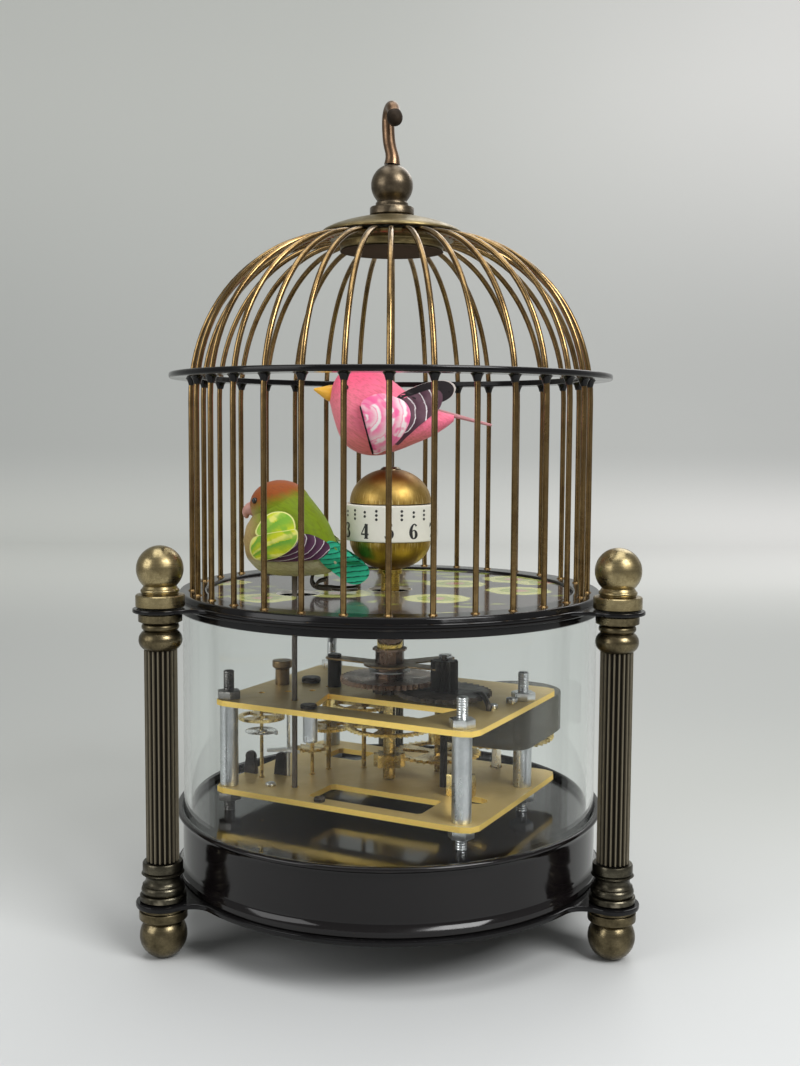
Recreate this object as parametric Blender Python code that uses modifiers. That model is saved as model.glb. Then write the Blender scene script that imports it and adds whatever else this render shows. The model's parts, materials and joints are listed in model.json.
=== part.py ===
"""Birdcage clock with a turning hour band and two birds, in metres, +Z up.

The clock stands on three ball feet. Three fluted columns clamp the black drum
below and the black deck above, a glass cylinder between them shows the geared
movement, and a domed wire cage stands on the deck.
"""
import math

import bmesh
import bpy
from mathutils import Matrix, Vector

# Clearances
GAP = 0.0003
RUN = 0.0003
MERGE = 0.00001

# Columns and feet, from the floor up
COLUMN_COUNT = 3
FIRST_COLUMN_ANGLE = math.radians(90)
COLUMN_CLEARANCE = 0.0018
FOOT_BALL_RADIUS = 0.00645
FOOT_FLAT_RADIUS = 0.0018
FOOT_COLLAR_RADIUS = 0.00657
FOOT_COLLAR_HEIGHT = 0.0034
FOOT_COLLAR_RISE = 0.0015
FOOT_NECK_RADIUS = 0.0046
EAR_RADIUS = 0.0074
EAR_FILLET = 0.0060
COLUMN_STUD_RADIUS = 0.0016
COLUMN_STUD_REACH = 0.0040
COLUMN_BASE_HEIGHT = 0.0106
COLUMN_BASE_RADIUS = 0.0063
SHAFT_LENGTH = 0.0580
SHAFT_RADIUS = 0.00446
FLUTE_COUNT = 20
FLUTE_DEPTH = 0.00055
CAPITAL_HEIGHT = 0.0096
CAPITAL_RADIUS = 0.00586
TOP_BALL_RADIUS = 0.0063
TOP_COLLAR_RADIUS = 0.00657
TOP_COLLAR_HEIGHT = 0.0034
TOP_NECK_HEIGHT = 0.0018

# Glass, which the drum, the deck, the cage and the columns are fitted to
GLASS_RADIUS = 0.0608
GLASS_WALL = 0.0020
GLASS_RING_WIDTH = 0.0012
GLASS_RING_HEIGHT = 0.0024

# Drum
BASE_PLATE_BRIM = 0.0026
BASE_PLATE_THICKNESS = 0.0015
DRUM_WALL = 0.0010
DRUM_HEIGHT = 0.0184
DRUM_FOOT_FLARE = 0.0012
DRUM_FOOT_HEIGHT = 0.0014
DRUM_FOOT_BLEND = 0.0016
DRUM_RIM_WIDTH = 0.0018
DRUM_RIM_HEIGHT = 0.0013
FLOOR_DEPTH = 0.0022
FLOOR_THICKNESS = 0.0010

# Deck
DECK_OVERHANG = 0.0022
DECK_THICKNESS = 0.0011
DECK_RING_OUTWARD = 0.0040
DECK_RING_INWARD = 0.0045
DECK_RING_SLOPE = 0.0006
DECK_RING_HEIGHT = 0.0015
DECK_DISC_THICKNESS = 0.0005
DECK_CENTRE_HOLE = 0.0065
GREEN_HOLE_RADIUS = 0.0063
GREEN_HOLE_CENTRE = (-0.0264, -0.0106)

# Cage
BAR_COUNT = 32
BAR_RADIUS = 0.0008
BAR_INSET = 0.0051
BAR_STRAIGHT = 0.0545
DOME_RISE = 0.0468
DOME_FLAT_RADIUS = 0.0170
DOME_STEPS = 4
MID_RING_LIFT = 0.0604
MID_RING_THICKNESS = 0.0017
MID_RING_BRIM = 0.0062
MID_RING_LIP = 0.0027

# Crown, finial and hook
DISH_BRIM = 0.0018
DISH_TAPER = 0.0048
DISH_FOOT_WIDTH = 0.0020
DISH_DEPTH = 0.0030
CAP_OVERHANG = 0.0015
CAP_RIM = 0.0008
CAP_SEAT_BRIM = 0.0004
CAP_HEIGHT = 0.0052
FINIAL_STUD_RADIUS = 0.0015
FINIAL_COLLAR_RADIUS = 0.0064
FINIAL_COLLAR_HEIGHT = 0.0023
FINIAL_NECK_RADIUS = 0.00465
FINIAL_NECK_HEIGHT = 0.0017
FINIAL_BALL_RADIUS = 0.00607
FINIAL_BALL_SHARE = 0.75
HOOK_ROD_RADIUS = 0.00175
HOOK_FOOT_RADIUS = 0.0021
HOOK_STEM = 0.0126
HOOK_BEND_RADIUS = 0.0040
HOOK_DROP = 0.0026
HOOK_FOOT_HEIGHT = 0.0022
HOOK_YAW = math.radians(15)
HOOK_LEAN = 0.0012
HOOK_SPIGOT_RADIUS = 0.0010
HOOK_SPIGOT_LENGTH = 0.0040

# Movement frame, measured from the axis in its own turned frame
MOVEMENT_YAW = math.radians(-27.6)
MOVEMENT_LIFT = 0.0059
PLATE_THICKNESS = 0.0016
PLATE_SPACING = 0.0242
PLATE_CORNER = 0.0040
PLATE_END_MARGIN = 0.0035
PLATE_SIDE_MARGIN = 0.0040
PILLAR_PLACES = ((-0.0385, -0.0280), (0.0365, -0.0275), (0.0380, 0.0120), (-0.0365, 0.0275))
PILLAR_RADIUS = 0.0026
STUD_RADIUS = 0.0016
STUD_HEAD = 0.0083
NUT_WIDTH = 0.0063
NUT_HEIGHT = 0.0024

# Windows in the plates, measured from the front edge and from the axis
WINDOW_CORNER = 0.0010
TOP_WINDOW_MARGIN = 0.0080
TOP_WINDOW_DEPTH = 0.0150
TOP_WINDOW_FRONT_ENDS = (-0.0120, 0.0220)
TOP_WINDOW_BACK_ENDS = (-0.0160, 0.0270)
FRONT_WINDOW_MARGIN = 0.0050
FRONT_WINDOW_DEPTH = 0.0140
FRONT_WINDOW_ENDS = (-0.0120, 0.0240)
REAR_WINDOW_MARGIN = 0.0080
REAR_WINDOW_DEPTH = 0.0110
REAR_WINDOW_ENDS = (-0.0310, -0.0180)
SLOT_CENTRE = (0.0305, -0.0080)
SLOT_LENGTH = 0.0100
SLOT_WIDTH = 0.0060

# Spring housing
HOUSING_CLEARANCE = 0.0009
HOUSING_GLASS_CLEARANCE = 0.0020
HOUSING_FRONT = 0.0030
HOUSING_CORNER = 0.0060
HOUSING_LIFT = 0.0125

# Teeth, above and below the pitch line in modules
TOOTH_ABOVE = 0.85
TOOTH_BELOW = 1.25

# Going train, places in the movement frame and heights above the bottom plate
SPINDLE_RADIUS = 0.0008
PIPE_RADIUS = 0.0019
PIVOT_RADIUS = 0.0006
ARBOR_RADIUS = 0.0012
WHEEL_THICKNESS = 0.0009
GREAT_PLACE = (0.0230, 0.0280)
GREAT_TEETH = 48
GREAT_LIFT = 0.0098
GREAT_THICKNESS = 0.0012
GREAT_HUB_RADIUS = 0.0050
SECOND_PINION_TEETH = 6
SECOND_TEETH = 36
SECOND_LIFT = 0.0054
SECOND_PINION_LIFT = 0.0086
SECOND_PINION_LENGTH = 0.0034
SECOND_ARBOR_RADIUS = 0.0010
SECOND_PLACE = (0.00903, 0.01440)
CENTRE_PINION_TEETH = 12
CENTRE_PINION_LIFT = 0.0040
CENTRE_PINION_LENGTH = 0.0037
CENTRE_TEETH = 42
CENTRE_LIFT = 0.0154
CENTRE_HUB_RADIUS = 0.0044
THIRD_PINION_TEETH = 7
THIRD_TEETH = 42
THIRD_LIFT = 0.0194
THIRD_PINION_LIFT = 0.0138
THIRD_PINION_LENGTH = 0.0040
FINE_ARBOR_RADIUS = 0.0008
THIRD_PLACE = (-0.01280, 0.00723)
FOURTH_PINION_TEETH = 7
FOURTH_TEETH = 36
FOURTH_LIFT = 0.0128
FOURTH_PINION_LIFT = 0.0180
FOURTH_PINION_LENGTH = 0.0038
FOURTH_PLACE = (-0.02150, 0.00045)
ESCAPE_PINION_TEETH = 6
ESCAPE_PINION_LIFT = 0.0110
ESCAPE_PINION_LENGTH = 0.0042
ESCAPE_ARBOR_RADIUS = 0.00065
ESCAPE_TEETH = 15
ESCAPE_RADIUS = 0.0050
ESCAPE_LIFT = 0.0076
PALLET_REACH = 0.0012
PALLET_HALF_WIDTH = 0.0008
ESCAPE_PLACE = (-0.02280, -0.00700)
PALLET_PLACE = (-0.02835, -0.01170)
BALANCE_PLACE = (-0.03450, -0.01700)
BALANCE_RADIUS = 0.0070
BALANCE_RIM = 0.0011
BALANCE_HUB_RADIUS = 0.0014
BALANCE_LIFT = 0.0180
HAIRSPRING_LIFT = 0.0142
HAIRSPRING_TURNS = 4
HAIRSPRING_INNER = 0.0016
HAIRSPRING_PITCH = 0.0009
HAIRSPRING_WIRE = 0.00016

# Motion work above the top plate
MOTION_PLACE = (0.0178, 0.0005)
HOUR_TEETH = 48
MOTION_PINION_TEETH = 12
MOTION_TEETH = 36
CANNON_TEETH = 12
CANNON_LIFT = 0.0004
CANNON_HEIGHT = 0.0030
PIPE_REACH = 0.0030
MOTION_LIFT = 0.0016
MOTION_THICKNESS = 0.0012
MOTION_PIVOT_RADIUS = 0.0008
HOUR_LIFT = 0.0039
HOUR_THICKNESS = 0.0014
HUB_RADIUS = 0.0043
BRIDGE_LIFT = 0.0123
BRIDGE_THICKNESS = 0.0008
BRIDGE_POSTS = ((-0.0197, 0.0010), (0.0105, 0.0167))
BRIDGE_POST_RADIUS = 0.0021
BRIDGE_ARM_WIDTH = 0.0056
BRIDGE_HUB_RADIUS = 0.0078
WASHER_RADIUS = 0.0052
WASHER_HEIGHT = 0.0006
BUSHING_RADIUS = 0.0036
BUSHING_HEIGHT = 0.0040
DIAL_TUBE_RADIUS = 0.0028
SOCKET_DEPTH = 0.0027

# Globe with the hour band
GLOBE_LIFT = 0.0058
GLOBE_RADIUS = 0.0120
GLOBE_LOWER_HEIGHT = 0.0082
GLOBE_UPPER_HEIGHT = 0.0100
BAND_RADIUS = 0.0140
BAND_INNER = 0.0114
BAND_HEIGHT = 0.0105
GLOBE_CORE = 0.0060
GLOBE_CORE_RISE = 0.0030
GLOBE_NECK_WIDTH = 0.0012

# Winding key and setting knob under the drum
WINDING_ARBOR_RADIUS = 0.0016
WINDING_REACH = 0.0060
KEY_WIDTH = 0.0220
KEY_HEIGHT = 0.0085
KEY_THICKNESS = 0.0016
KEY_HUB_RADIUS = 0.0026
KEY_CORNER = 0.0035
KEY_HOLE_RADIUS = 0.0021
KNOB_RADIUS = 0.0070
KNOB_HEIGHT = 0.0060
KNOB_NOTCHES = 18
KNOB_NOTCH_DEPTH = 0.0004
UNDERSIDE_CLEARANCE = 0.0008

# Birds, in stations of x, lowest z, highest z and half width
GREEN_SPINDLE_PLACE = (-0.0276, -0.0092)
BIRD_BORE_DEPTH = 0.0060
BIRD_SIDES = 8
WING_THICKNESS = 0.0006
WING_LIFT = 0.0010
PINK_STATIONS = (
    (-0.0174, 0.0167, 0.0237, 0.0030),
    (-0.0157, 0.0107, 0.0272, 0.0065),
    (-0.0125, 0.0060, 0.0290, 0.0090),
    (-0.0080, 0.0041, 0.0296, 0.0106),
    (-0.0030, 0.0039, 0.0283, 0.0110),
    (0.0020, 0.0056, 0.0240, 0.0102),
    (0.0070, 0.0075, 0.0202, 0.0084),
    (0.0120, 0.0098, 0.0176, 0.0060),
    (0.0160, 0.0123, 0.0165, 0.0038),
    (0.0186, 0.0139, 0.0155, 0.0015),
)
PINK_BEAK = ((-0.0150, 0.0232), (-0.0226, 0.0229))
PINK_BEAK_RADIUS = 0.0022
PINK_TAIL = ((0.0120, 0.0170), (0.0292, 0.0128))
PINK_TAIL_RADIUS = 0.0006
GREEN_STATIONS = (
    (-0.0140, 0.0108, 0.0163, 0.0030),
    (-0.0126, 0.0081, 0.0268, 0.0060),
    (-0.0099, 0.0054, 0.0298, 0.0086),
    (-0.0059, 0.0041, 0.0313, 0.0100),
    (-0.0014, 0.0038, 0.0311, 0.0104),
    (0.0026, 0.0038, 0.0294, 0.0102),
    (0.0066, 0.0044, 0.0247, 0.0090),
    (0.0096, 0.0052, 0.0208, 0.0072),
    (0.0121, 0.0066, 0.0143, 0.0048),
    (0.0166, 0.0048, 0.0094, 0.0040),
    (0.0201, 0.0028, 0.0052, 0.0032),
    (0.0210, 0.0020, 0.0034, 0.0026),
)
GREEN_BEAK = ((-0.0115, 0.0240), (-0.0142, 0.0228))
GREEN_BEAK_RADIUS = 0.0019
PINK_WING = ((-0.0084, 0.0173, 0.0042), (0.0125, 0.0226, 0.0175))
GREEN_WING = ((-0.0122, 0.0190, 0.0050), (0.0110, 0.0130, 0.0062))

# Radii and reaches that follow from the sizes above
GLASS_INNER = GLASS_RADIUS - GLASS_WALL
GLASS_SEAT = GLASS_RADIUS + GAP
GLASS_RING_RADIUS = GLASS_SEAT + GLASS_RING_WIDTH
DRUM_RADIUS = GLASS_SEAT
DRUM_RIM_RADIUS = DRUM_RADIUS + DRUM_RIM_WIDTH
BASE_PLATE_RADIUS = DRUM_RADIUS + BASE_PLATE_BRIM
COLUMN_CIRCLE = DRUM_RIM_RADIUS + COLUMN_CLEARANCE + COLUMN_BASE_RADIUS
DECK_RADIUS = GLASS_RADIUS + DECK_OVERHANG
BAR_CIRCLE = DECK_RADIUS - BAR_INSET
MID_RING_OUTER = BAR_CIRCLE + MID_RING_BRIM
DISH_RADIUS = DOME_FLAT_RADIUS + DISH_BRIM
DISH_FOOT_RADIUS = DISH_RADIUS - DISH_TAPER
CAP_RADIUS = DISH_RADIUS + CAP_OVERHANG
PLATE_HALF_LENGTH = max(abs(u) for u, _ in PILLAR_PLACES) + PLATE_END_MARGIN
PLATE_HALF_WIDTH = max(abs(v) for _, v in PILLAR_PLACES) + PLATE_SIDE_MARGIN

# Heights that follow from the sizes above
BASE_PLATE_Z = 2 * FOOT_BALL_RADIUS + FOOT_COLLAR_RISE
BASE_PLATE_TOP = BASE_PLATE_Z + BASE_PLATE_THICKNESS
DRUM_Z = BASE_PLATE_TOP + GAP
DRUM_TOP = DRUM_Z + DRUM_HEIGHT
FLOOR_TOP = DRUM_TOP - FLOOR_DEPTH
COLUMN_BASE_Z = BASE_PLATE_TOP + GAP
SHAFT_Z = COLUMN_BASE_Z + COLUMN_BASE_HEIGHT + GAP
CAPITAL_Z = SHAFT_Z + SHAFT_LENGTH + GAP
DECK_Z = CAPITAL_Z + CAPITAL_HEIGHT + GAP
DECK_TOP = DECK_Z + DECK_THICKNESS
DECK_RING_TOP = DECK_TOP + DECK_RING_HEIGHT
BAR_FOOT_Z = DECK_RING_TOP + GAP
DOME_Z = BAR_FOOT_Z + BAR_STRAIGHT
CROWN_Z = DOME_Z + DOME_RISE
CAP_Z = CROWN_Z + BAR_RADIUS + GAP
FINIAL_Z = CAP_Z + CAP_HEIGHT + GAP
FINIAL_NECK_Z = FINIAL_Z + FINIAL_COLLAR_HEIGHT + FINIAL_NECK_HEIGHT
FINIAL_BALL_Z = FINIAL_NECK_Z + FINIAL_BALL_SHARE * FINIAL_BALL_RADIUS
HOOK_Z = FINIAL_BALL_Z + FINIAL_BALL_RADIUS + GAP
BOTTOM_PLATE_Z = FLOOR_TOP + MOVEMENT_LIFT
TRAIN_Z = BOTTOM_PLATE_Z + PLATE_THICKNESS
TOP_PLATE_Z = TRAIN_Z + PLATE_SPACING
MOTION_Z = TOP_PLATE_Z + PLATE_THICKNESS
BRIDGE_Z = MOTION_Z + BRIDGE_LIFT
BRIDGE_TOP = BRIDGE_Z + BRIDGE_THICKNESS
BUSHING_TOP = BRIDGE_TOP + RUN + WASHER_HEIGHT + BUSHING_HEIGHT
GLOBE_Z = DECK_RING_TOP + GLOBE_LIFT
BAND_Z = GLOBE_Z + GLOBE_LOWER_HEIGHT + GAP
GLOBE_UPPER_Z = BAND_Z + BAND_HEIGHT + GAP
GLOBE_TOP = GLOBE_UPPER_Z + GLOBE_UPPER_HEIGHT
BORE_RADIUS = SPINDLE_RADIUS + RUN

# The middle ring and the back ear reach furthest, so the origin lies halfway
BACK_REACH = COLUMN_CIRCLE + EAR_RADIUS
FRONT_REACH = MID_RING_OUTER
AXIS_Y = (FRONT_REACH - BACK_REACH) / 2

# Facets round each kind of piece
RING_SIDES = 36
GLOBE_SIDES = 16
TURNED_SIDES = 8
ARBOR_SIDES = 6

FINISHES = {
    "aged_brass": ((0.30, 0.20, 0.08), 0.9, 0.38),
    "gold_brass": ((0.62, 0.44, 0.14), 1.0, 0.28),
    "plate_brass": ((0.70, 0.54, 0.22), 1.0, 0.24),
    "copper": ((0.42, 0.20, 0.10), 1.0, 0.35),
    "black_lacquer": ((0.012, 0.010, 0.010), 0.0, 0.18),
    "floral_print": ((0.16, 0.17, 0.10), 0.0, 0.20),
    "clear_glass": ((0.90, 0.95, 0.93), 0.0, 0.03),
    "bright_steel": ((0.60, 0.60, 0.58), 1.0, 0.22),
    "dark_steel": ((0.06, 0.05, 0.05), 0.8, 0.35),
    "smoked_plastic": ((0.05, 0.045, 0.04), 0.0, 0.22),
    "white_band": ((0.82, 0.82, 0.78), 0.0, 0.45),
    "pink_bird": ((0.85, 0.22, 0.32), 0.0, 0.60),
    "green_bird": ((0.32, 0.50, 0.06), 0.0, 0.60),
    "feather": ((0.10, 0.05, 0.08), 0.0, 0.60),
}


def clear_scene():
    """Remove every object and add the two collections of this file."""
    for item in list(bpy.data.objects):
        bpy.data.objects.remove(item, do_unlink=True)
    for name in ("birdcage_clock", "cutters"):
        bpy.context.scene.collection.children.link(bpy.data.collections.new(name))


def finish(name):
    """Return the named material, made once."""
    material = bpy.data.materials.get(name)
    if material:
        return material
    colour, metallic, roughness = FINISHES[name]
    material = bpy.data.materials.new(name)
    material.use_nodes = True
    shader = material.node_tree.nodes["Principled BSDF"]
    shader.inputs["Base Color"].default_value = (*colour, 1.0)
    shader.inputs["Metallic"].default_value = metallic
    shader.inputs["Roughness"].default_value = roughness
    return material


def link(name, data, material, collection="birdcage_clock"):
    """Put new object data in the scene under a name and a finish."""
    item = bpy.data.objects.new(name, data)
    bpy.data.collections[collection].objects.link(item)
    item.data.materials.clear()
    item.data.materials.append(finish(material))
    return item


def evaluated_mesh(item):
    """Return a new mesh of the object as its modifiers leave it, in its parent's space."""
    bpy.context.view_layer.update()
    graph = bpy.context.evaluated_depsgraph_get()
    mesh = bpy.data.meshes.new_from_object(item.evaluated_get(graph), depsgraph=graph)
    mesh.transform(item.matrix_world)
    return mesh


def settle(item, smooth=True):
    """Replace an object by the welded mesh that it evaluates to, about its parent's origin."""
    mesh = evaluated_mesh(item)
    name, material = item.name, item.data.materials[0].name
    collection = item.users_collection[0].name
    bpy.data.objects.remove(item, do_unlink=True)
    work = bmesh.new()
    work.from_mesh(mesh)
    bmesh.ops.remove_doubles(work, verts=work.verts, dist=MERGE)
    bmesh.ops.recalc_face_normals(work, faces=work.faces)
    work.to_mesh(mesh)
    work.free()
    if smooth:
        mesh.shade_smooth()
        mesh.set_sharp_from_angle(angle=math.radians(35))
    mesh.name = name
    return link(name, mesh, material, collection)


def turned(name, profile, material, sides=TURNED_SIDES):
    """Turn a profile of (radius, height) points, given down its outer side, about Z."""
    mesh = bpy.data.meshes.new(name)
    work = bmesh.new()
    corners = [work.verts.new((radius, 0, height)) for radius, height in profile]
    for first, second in zip(corners, corners[1:]):
        work.edges.new((first, second))
    if profile[0][0] > MERGE:
        work.edges.new((corners[-1], corners[0]))
    work.to_mesh(mesh)
    work.free()
    item = link(name, mesh, material)
    screw = item.modifiers.new("Turn", "SCREW")
    screw.steps = sides
    screw.render_steps = sides
    screw.use_merge_vertices = True
    screw.merge_threshold = MERGE
    return settle(item)


def flat(name, outlines, bottom, thickness, material):
    """Extrude closed outlines, the first the outer one and the rest holes."""
    curve = bpy.data.curves.new(name, "CURVE")
    curve.dimensions = "2D"
    curve.fill_mode = "BOTH"
    curve.extrude = thickness / 2
    for outline in outlines:
        spline = curve.splines.new("POLY")
        spline.points.add(len(outline) - 1)
        for point, (x, y) in zip(spline.points, outline):
            point.co = (x, y, 0, 1)
        spline.use_cyclic_u = True
    item = link(name, curve, material)
    item.location.z = bottom + thickness / 2
    return settle(item, smooth=False)


def wire(name, points, radius, material, resolution=1, scales=None):
    """Sweep a round wire with closed ends along the points."""
    curve = bpy.data.curves.new(name, "CURVE")
    curve.dimensions = "3D"
    curve.bevel_depth = radius
    curve.bevel_resolution = resolution
    curve.use_fill_caps = True
    spline = curve.splines.new("POLY")
    spline.points.add(len(points) - 1)
    for index, place in enumerate(points):
        spline.points[index].co = (*place, 1)
        spline.points[index].radius = scales[index] if scales else 1.0
    return settle(link(name, curve, material))


def boolean(target, tool, operation):
    """Cut the tool from the target or join it on, and leave one mesh."""
    tool.hide_render = True
    tool.display_type = "WIRE"
    bpy.data.collections["birdcage_clock"].objects.unlink(tool)
    bpy.data.collections["cutters"].objects.link(tool)
    change = target.modifiers.new(tool.name, "BOOLEAN")
    change.operation = operation
    change.solver = "EXACT"
    change.object = tool
    result = settle(target)
    bpy.data.objects.remove(tool, do_unlink=True)
    return result


def join(target, *tools):
    """Fuse the tools with the target into one solid."""
    for tool in tools:
        target = boolean(target, tool, "UNION")
    return target


def cut(target, *tools):
    """Take the tools away from the target."""
    for tool in tools:
        target = boolean(target, tool, "DIFFERENCE")
    return target


def rod(name, radius, bottom, top, material, place=(0, 0), sides=ARBOR_SIDES):
    """A plain round rod along Z."""
    item = turned(name, [(0, top), (radius, top), (radius, bottom), (0, bottom)], material, sides)
    item.data.transform(Matrix.Translation((*place, 0)))
    return item


def arc(centre, radius, start, end, steps):
    """Points along an arc, with both of its ends."""
    return [
        (centre[0] + radius * math.cos(start + (end - start) * step / steps),
         centre[1] + radius * math.sin(start + (end - start) * step / steps))
        for step in range(steps + 1)
    ]


def circle(centre, radius, sides, outside=False, start=0.0):
    """Points round a circle; a hole's flats stay outside the radius."""
    reach = radius / math.cos(math.pi / sides) if outside else radius
    return arc(centre, reach, start, start + math.tau, sides)[:-1]


def round_box(left, right, front, back, radii, steps=2):
    """A rectangle with a radius at each corner, from front left anticlockwise."""
    corners = (
        (left, front, 1, 1, math.pi),
        (right, front, -1, 1, 1.5 * math.pi),
        (right, back, -1, -1, 0),
        (left, back, 1, -1, 0.5 * math.pi),
    )
    points = []
    for (x, y, side_x, side_y, start), radius in zip(corners, radii):
        centre = (x + side_x * radius, y + side_y * radius)
        points += arc(centre, radius, start, start + math.pi / 2, steps)
    return points


def column_angles():
    """The angles of the columns about the axis."""
    return [FIRST_COLUMN_ANGLE + math.tau * index / COLUMN_COUNT for index in range(COLUMN_COUNT)]


def column_place(angle):
    """The centre of the column at an angle."""
    return (COLUMN_CIRCLE * math.cos(angle), COLUMN_CIRCLE * math.sin(angle))


def eared_outline(radius, ear_steps=6, fillet_steps=2, rim_steps=10):
    """A round plate with an ear for each column, blended in by fillets."""
    rim_reach = radius + EAR_FILLET
    ear_reach = EAR_RADIUS + EAR_FILLET
    cosine = (rim_reach ** 2 + COLUMN_CIRCLE ** 2 - ear_reach ** 2) / (2 * rim_reach * COLUMN_CIRCLE)
    offset = math.acos(cosine)
    points = []
    for angle in column_angles():
        ear = Vector(column_place(angle))
        before = Vector((rim_reach * math.cos(angle - offset), rim_reach * math.sin(angle - offset)))
        swing = (ear - before).angle_signed(-before)
        to_rim = math.atan2(-before.y, -before.x)
        points += arc(before, EAR_FILLET, to_rim, to_rim + swing, fillet_steps)
        spread = math.pi - math.acos(
            (COLUMN_CIRCLE ** 2 + ear_reach ** 2 - rim_reach ** 2) / (2 * COLUMN_CIRCLE * ear_reach))
        points += arc(ear, EAR_RADIUS, angle - spread, angle + spread, ear_steps)[1:]
        after = Vector((rim_reach * math.cos(angle + offset), rim_reach * math.sin(angle + offset)))
        to_rim = math.atan2(-after.y, -after.x)
        points += arc(after, EAR_FILLET, to_rim - swing, to_rim, fillet_steps)[1:]
        rim_start = angle + offset
        rim_end = angle + math.tau / COLUMN_COUNT - offset
        points += arc((0, 0), radius, rim_start, rim_end, rim_steps)[1:-1]
    return points


def stud_holes():
    """The holes in an eared plate for the column studs."""
    radius = COLUMN_STUD_RADIUS + GAP
    return [circle(column_place(angle), radius, ARBOR_SIDES, outside=True) for angle in column_angles()]


def gear_outline(teeth, module, phase=0.0):
    """The outline of a gear with pointed teeth, one of them at the phase angle."""
    radius = teeth * module / 2
    points = []
    for tooth in range(teeth):
        for share, reach in ((0, TOOTH_ABOVE), (0.5, -TOOTH_BELOW)):
            turn = phase + math.tau * (tooth + share) / teeth
            length = radius + reach * module
            points.append((length * math.cos(turn), length * math.sin(turn)))
    return points


def crossings(hub, rim, count, start=0.0, steps=2):
    """The openings between a wheel's arms."""
    width = math.tau / count
    margin = 0.16 * width
    holes = []
    for index in range(count):
        first = start + index * width + margin
        last = first + width - 2 * margin
        outer = arc((0, 0), rim, first, last, steps)
        inner = arc((0, 0), hub, last - margin / 2, first + margin / 2, 1)
        holes.append(outer + inner)
    return holes


def direction(start, end):
    """The angle of the line from one place to another."""
    return math.atan2(end[1] - start[1], end[0] - start[0])


def distance(start, end):
    """The distance between two places."""
    return math.hypot(end[0] - start[0], end[1] - start[1])


def mesh_module(first, second, first_teeth, second_teeth):
    """The module of two gears that mesh at the distance between their places."""
    return 2 * distance(first, second) / (first_teeth + second_teeth)


def in_movement(place):
    """A place of the clock's frame in the movement's turned frame."""
    return tuple(Matrix.Rotation(-MOVEMENT_YAW, 2) @ Vector(place))


def from_movement(place):
    """A place of the movement's turned frame in the clock's frame."""
    return tuple(Matrix.Rotation(MOVEMENT_YAW, 2) @ Vector(place))


def attach(item, parent, place=(0, 0), height=0.0):
    """Move a piece modelled about its own axis to its place under a parent."""
    item.parent = parent
    item.location = (*place, height)
    return item


def make_feet(axis):
    """Three ball feet, each turned with its collar and the stud into the column."""
    centre = math.sqrt(FOOT_BALL_RADIUS ** 2 - FOOT_FLAT_RADIUS ** 2)
    collar_top = BASE_PLATE_Z - GAP
    collar_bottom = collar_top - FOOT_COLLAR_HEIGHT
    low = math.acos(FOOT_FLAT_RADIUS / FOOT_BALL_RADIUS)
    high = math.asin((collar_bottom - centre) / FOOT_BALL_RADIUS)
    stud_top = COLUMN_BASE_Z + COLUMN_STUD_REACH
    profile = [
        (0, stud_top), (COLUMN_STUD_RADIUS, stud_top), (COLUMN_STUD_RADIUS, collar_top),
        (FOOT_COLLAR_RADIUS, collar_top), (FOOT_COLLAR_RADIUS, collar_bottom),
        (FOOT_NECK_RADIUS, collar_bottom),
    ]
    ball = arc((0, centre), FOOT_BALL_RADIUS, high, -low, 5)
    profile += ball[1:-1] + [(FOOT_FLAT_RADIUS, 0), (0, 0)]
    for index, angle in enumerate(column_angles(), 1):
        attach(turned(f"foot_{index}", profile, "aged_brass"), axis, column_place(angle))


def column_base_profile():
    """The moulded base under a shaft, with a blind bore for each stud."""
    top = COLUMN_BASE_HEIGHT
    bore = COLUMN_STUD_RADIUS + GAP
    deep = COLUMN_STUD_REACH + GAP
    radius = COLUMN_BASE_RADIUS
    return [
        (0, top), (0.87 * radius, top), (0.87 * radius, 0.75 * top), (0.78 * radius, 0.55 * top),
        (0.94 * radius, 0.36 * top), (0.86 * radius, 0.23 * top), (radius, 0.21 * top), (radius, 0),
        (bore, 0), (bore, deep), (0, deep),
    ]


def capital_profile():
    """The capital over a shaft, with the collar under the deck's ear."""
    top = CAPITAL_HEIGHT
    bore = COLUMN_STUD_RADIUS + GAP
    deep = top - COLUMN_STUD_REACH - GAP
    radius = CAPITAL_RADIUS
    return [
        (0, deep), (bore, deep), (bore, top), (radius, top), (radius, 0.74 * top),
        (0.84 * radius, 0.71 * top), (0.84 * radius, 0.50 * top), (radius, 0.27 * top),
        (0.84 * radius, 0), (0, 0),
    ]


def fluted_outline():
    """The section of a shaft with its flutes."""
    points = []
    pitch = math.tau / FLUTE_COUNT
    for flute in range(FLUTE_COUNT):
        middle = flute * pitch
        for share, radius in ((0, SHAFT_RADIUS), (0.5, SHAFT_RADIUS - FLUTE_DEPTH)):
            turn = middle + share * pitch
            points.append((radius * math.cos(turn), radius * math.sin(turn)))
    return points


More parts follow.
